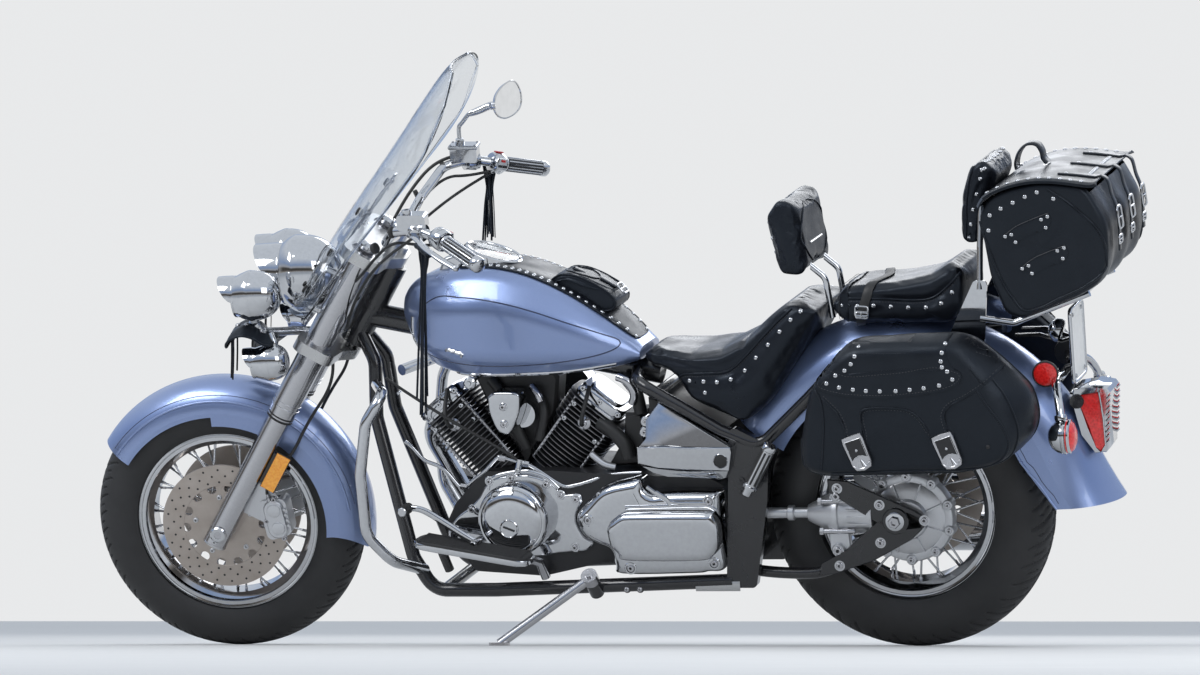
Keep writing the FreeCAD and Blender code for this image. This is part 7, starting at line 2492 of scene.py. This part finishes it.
# Swingarm bracket, shaft and bevel drive on the left, arm on the right
driveLook = {
    "upperLeg": [(-150, 424), (-106, 420), (46, 350), (70, 334), (62, 312), (0, 304), (-34, 318),
                 (-150, 396)],
    "lowerLeg": [(-40, 330), (30, 350), (66, 334), (58, 308), (34, 286), (-60, 236), (-150, 208), (-184, 206),
                 (-176, 232), (-120, 262)],
    "bracketBolts": [(-128, 404), (-34, 366), (-37, 280), (-134, 228), (66, 330)],
    "housing": [(19, -4), (21, 0), (24, 6), (38, 34), (47, 56), (50, 62), (50, 70), (46, 73), (44, 96),
                (47, 128),
                (52, 150)],
    "hub": [(99, 74), (101, 80), (101, 102), (98, 109), (90, 112), (82, 111), (78, 114), (60, 118), (46, 121),
            (42, 132), (30, 134), (0, 134)],
    "armFace": 117.7, "axle": (0, 0, 328.9), "hubMiddle": (18, 0, 322.9), "shaft": (-205, -114, 338),
}


def dressDrive():
    look = driveLook
    shape = Shape()
    for key in ("upperLeg", "lowerLeg"):
        shape.plate(look[key], -148, -163, "blackFrame", 3)
    arm = look["armFace"]
    shape.plate([(-384, 352), (-384, 306), (-60, 300), (28, 306), (40, 329), (28, 352), (-60, 362)], arm - 10,
                arm,
                "blackFrame", 3)
    shape.tube([(-362, -arm, 330), (-362, arm, 330)], 16, "blackFrame", 24)
    shape.tube(smoothPath([(-362, -101, 205), (-290, -104, 198), (-200, -132, 204), (-140, -148, 222)], 6),
               13,
               "blackFrame", 20)
    shape.tube([(-362, -101, 200), (-362, -101, 330)], 14, "blackFrame", 20)
    shape.tube([(0, -150, 328.9), (0, 128, 328.9)], 12, "wornChrome", 28)
    shape.turn([(18, 104), (18, arm)], look["axle"], toRight, "wornChrome", 28)
    shape.turn([(20, arm), (20, arm + 3)], look["axle"], toRight, "chrome", 28)
    shape.turn([(14, arm + 3), (14, arm + 13), (12, arm + 15)], look["axle"], toRight, "wornChrome", 6)
    shape.turn([(30, 162), (30, 165), (28, 167), (0, 167)], look["axle"], toLeft, "blackFrame", 40)
    shape.turn([(21, 167), (21, 170), (19, 171), (0, 171)], look["axle"], toLeft, "chrome", 32)
    shape.turn([(14, 171), (14, 180), (12.5, 182), (7, 182), (7, 176), (0, 176)], look["axle"], toLeft,
               "wornChrome",
               6)
    for x, z in look["bracketBolts"]:
        shape.turn([(12, 162), (12, 164.5), (0, 164.5)], (x, 0, z), toLeft, "chrome", 24)
        shape.bolt((x, -164.5, z), toLeft, 7.5, "wornChrome")
    shape.build("swingarmDress", "root", None, "black_paint", sharp=35, stands=("swingarm",))

    shape = Shape()
    shape.tube([(-318, -112, 338), (-196, -114, 338)], 12, "castSilver", 24)
    shape.turn([(15, -8), (17, -6), (17, 6), (15, 8)], (-250, -113, 338), toTail, "castSilver", 24)
    shape.turn(look["housing"], look["shaft"], (1, 0, 0.0), "castSilver", 40)
    flange = [(-152, 386), (-138, 400), (-118, 398), (-108, 386), (-112, 334), (-110, 268), (-120, 250),
              (-140, 246),
              (-156, 260), (-160, 330)]
    shape.plate(flange, -150, -128, "castSilver", 4)
    for x, z in ((-132, 386), (-136, 262)):
        shape.turn([(15, 140), (15, 158), (13, 161), (0, 161)], (x, 0, z), toLeft, "castSilver", 28)
        shape.bolt((x, -161, z), toLeft, 9, "wornChrome")
    for z in (372, 304):
        shape.tube([(-176, -152, z), (-96, -152, z)], 6, "wornChrome", 12)
        shape.turn([(9, -8), (9, 0)], (-168, -152, z), toTail, "wornChrome", 6)
    for z in (338, 322, 354):
        shape.strap([(-112, -159, z), (-60, -160, z)], toLeft, 3, 3, "castSilver")
    shape.turn(look["hub"], look["hubMiddle"], toLeft, "castSilver", 80)
    middle = Vector(look["hubMiddle"])
    for i in range(10):
        turn = radians(18 + 36 * i)
        spot = middle + Vector((cos(turn) * 95, 0, sin(turn) * 95))
        shape.turn([(12, 84), (12, 113), (10, 116), (0, 116)], spot, toLeft, "castSilver", 20)
        shape.bolt(spot + Vector((0, -116, 0)), toLeft, 6, "wornChrome")
    for i in range(8):
        turn = radians(22.5 + 45 * i)
        way = spoke(turn)
        shape.strap([middle + way * 46 + Vector((0, -121, 0)), middle + way * 82 + Vector((0, -112, 0))],
                    toLeft, 5, 5,
                    "castSilver")
    shape.build("driveDress", "root", None, "cast_silver", sharp=35, stands=("final_drive",))


dressDrive()
print("drive dressed")


# Plain pale floor, soft backdrop, level light
stageSizes = {"nearColour": (0.09, 0.085, 0.08), "lowColour": (0.36, 0.33, 0.30),
              "hazeColour": (0.52, 0.54, 0.58),
              "floor": 60.0, "floorColour": (0.62, 0.62, 0.61), "horizonColour": (0.90, 0.91, 0.92),
              "middleColour": (0.34, 0.46, 0.70), "overheadColour": (0.86, 0.92, 1.0)}
floorMesh = bpy.data.meshes.new("floor")
half = stageSizes["floor"]
floorMesh.from_pydata([(-half, -half, 0), (half, -half, 0), (half, half, 0), (-half, half, 0)], [],
                      [(0, 1, 2, 3)])
floor = linked("floor", floorMesh)
floorMaterial, floorNodes, floorLinks, floorShader = finishBase("floorPaint", stageSizes["floorColour"], 0.0,
                                                                0.7)
vary(floorNodes, floorLinks, floorShader.inputs["Roughness"], 0.62, 0.78, 5.0, source=place(floorNodes))
floorMesh.materials.append(floorMaterial)

world = bpy.data.worlds.new("studio")
bpy.context.scene.world = world
world.use_nodes = True
worldNodes, worldLinks = world.node_tree.nodes, world.node_tree.links
background = worldNodes["Background"]
background.inputs["Strength"].default_value = 0.9
direction = worldNodes.new("ShaderNodeTexCoord").outputs["Generated"]
apart = worldNodes.new("ShaderNodeSeparateXYZ")
worldLinks.new(direction, apart.inputs["Vector"])
heights = worldNodes.new("ShaderNodeValToRGB")  # pale at the horizon, a band of blue, bright overhead
heights.color_ramp.elements[0].position = 0.0
heights.color_ramp.elements[0].color = (*stageSizes["horizonColour"], 1)
heights.color_ramp.elements[1].position = 0.62
heights.color_ramp.elements[1].color = (*stageSizes["overheadColour"], 1)
middle = heights.color_ramp.elements.new(0.24)
middle.color = (*stageSizes["middleColour"], 1)
edge = heights.color_ramp.elements.new(0.16)
edge.color = (*stageSizes["horizonColour"], 1)
worldLinks.new(apart.outputs["Z"], heights.inputs["Fac"])
nearSide = worldNodes.new("ShaderNodeValToRGB")  # darker on the near side, under the same sky
nearSide.color_ramp.elements[0].position = 0.0
nearSide.color_ramp.elements[0].color = (*stageSizes["lowColour"], 1)
nearSide.color_ramp.elements[1].position = 0.6
nearSide.color_ramp.elements[1].color = (*stageSizes["overheadColour"], 1)
for position, shade in ((0.05, "nearColour"), (0.14, "nearColour"), (0.20, "hazeColour"),
                        (0.32, "middleColour")):
    nearSide.color_ramp.elements.new(position).color = (*stageSizes[shade], 1)
worldLinks.new(apart.outputs["Z"], nearSide.inputs["Fac"])
turnAbout = worldNodes.new("ShaderNodeMapRange")
turnAbout.inputs["From Min"].default_value = -0.35
turnAbout.inputs["From Max"].default_value = 0.35
worldLinks.new(apart.outputs["Y"], turnAbout.inputs["Value"])
blend = worldNodes.new("ShaderNodeMix")
blend.data_type = "RGBA"
worldLinks.new(turnAbout.outputs["Result"], blend.inputs[0])
worldLinks.new(nearSide.outputs["Color"], blend.inputs[6])
worldLinks.new(heights.outputs["Color"], blend.inputs[7])
worldLinks.new(blend.outputs[2], background.inputs["Color"])


def softLamp(name, position, target, wide, high, power):
    data = bpy.data.lights.new(name, "AREA")
    data.shape = "RECTANGLE"
    data.size, data.size_y = wide, high
    data.energy = power
    lamp = linked(name, data)
    lamp.location = position
    lamp.rotation_euler = (Vector(target) - Vector(position)).to_track_quat("-Z", "Y").to_euler()


softLamp("keyLamp", (-2.6, -3.6, 4.2), (0, 0, 0.5), 3.0, 2.0, 120)
softLamp("fillLamp", (3.6, -3.4, 2.6), (0, 0, 0.5), 2.5, 2.5, 50)
softLamp("backLamp", (0.5, 4.4, 3.6), (0, 0, 0.6), 4.0, 2.0, 80)
bpy.context.scene.view_settings.view_transform = "Standard"

print("stage set")
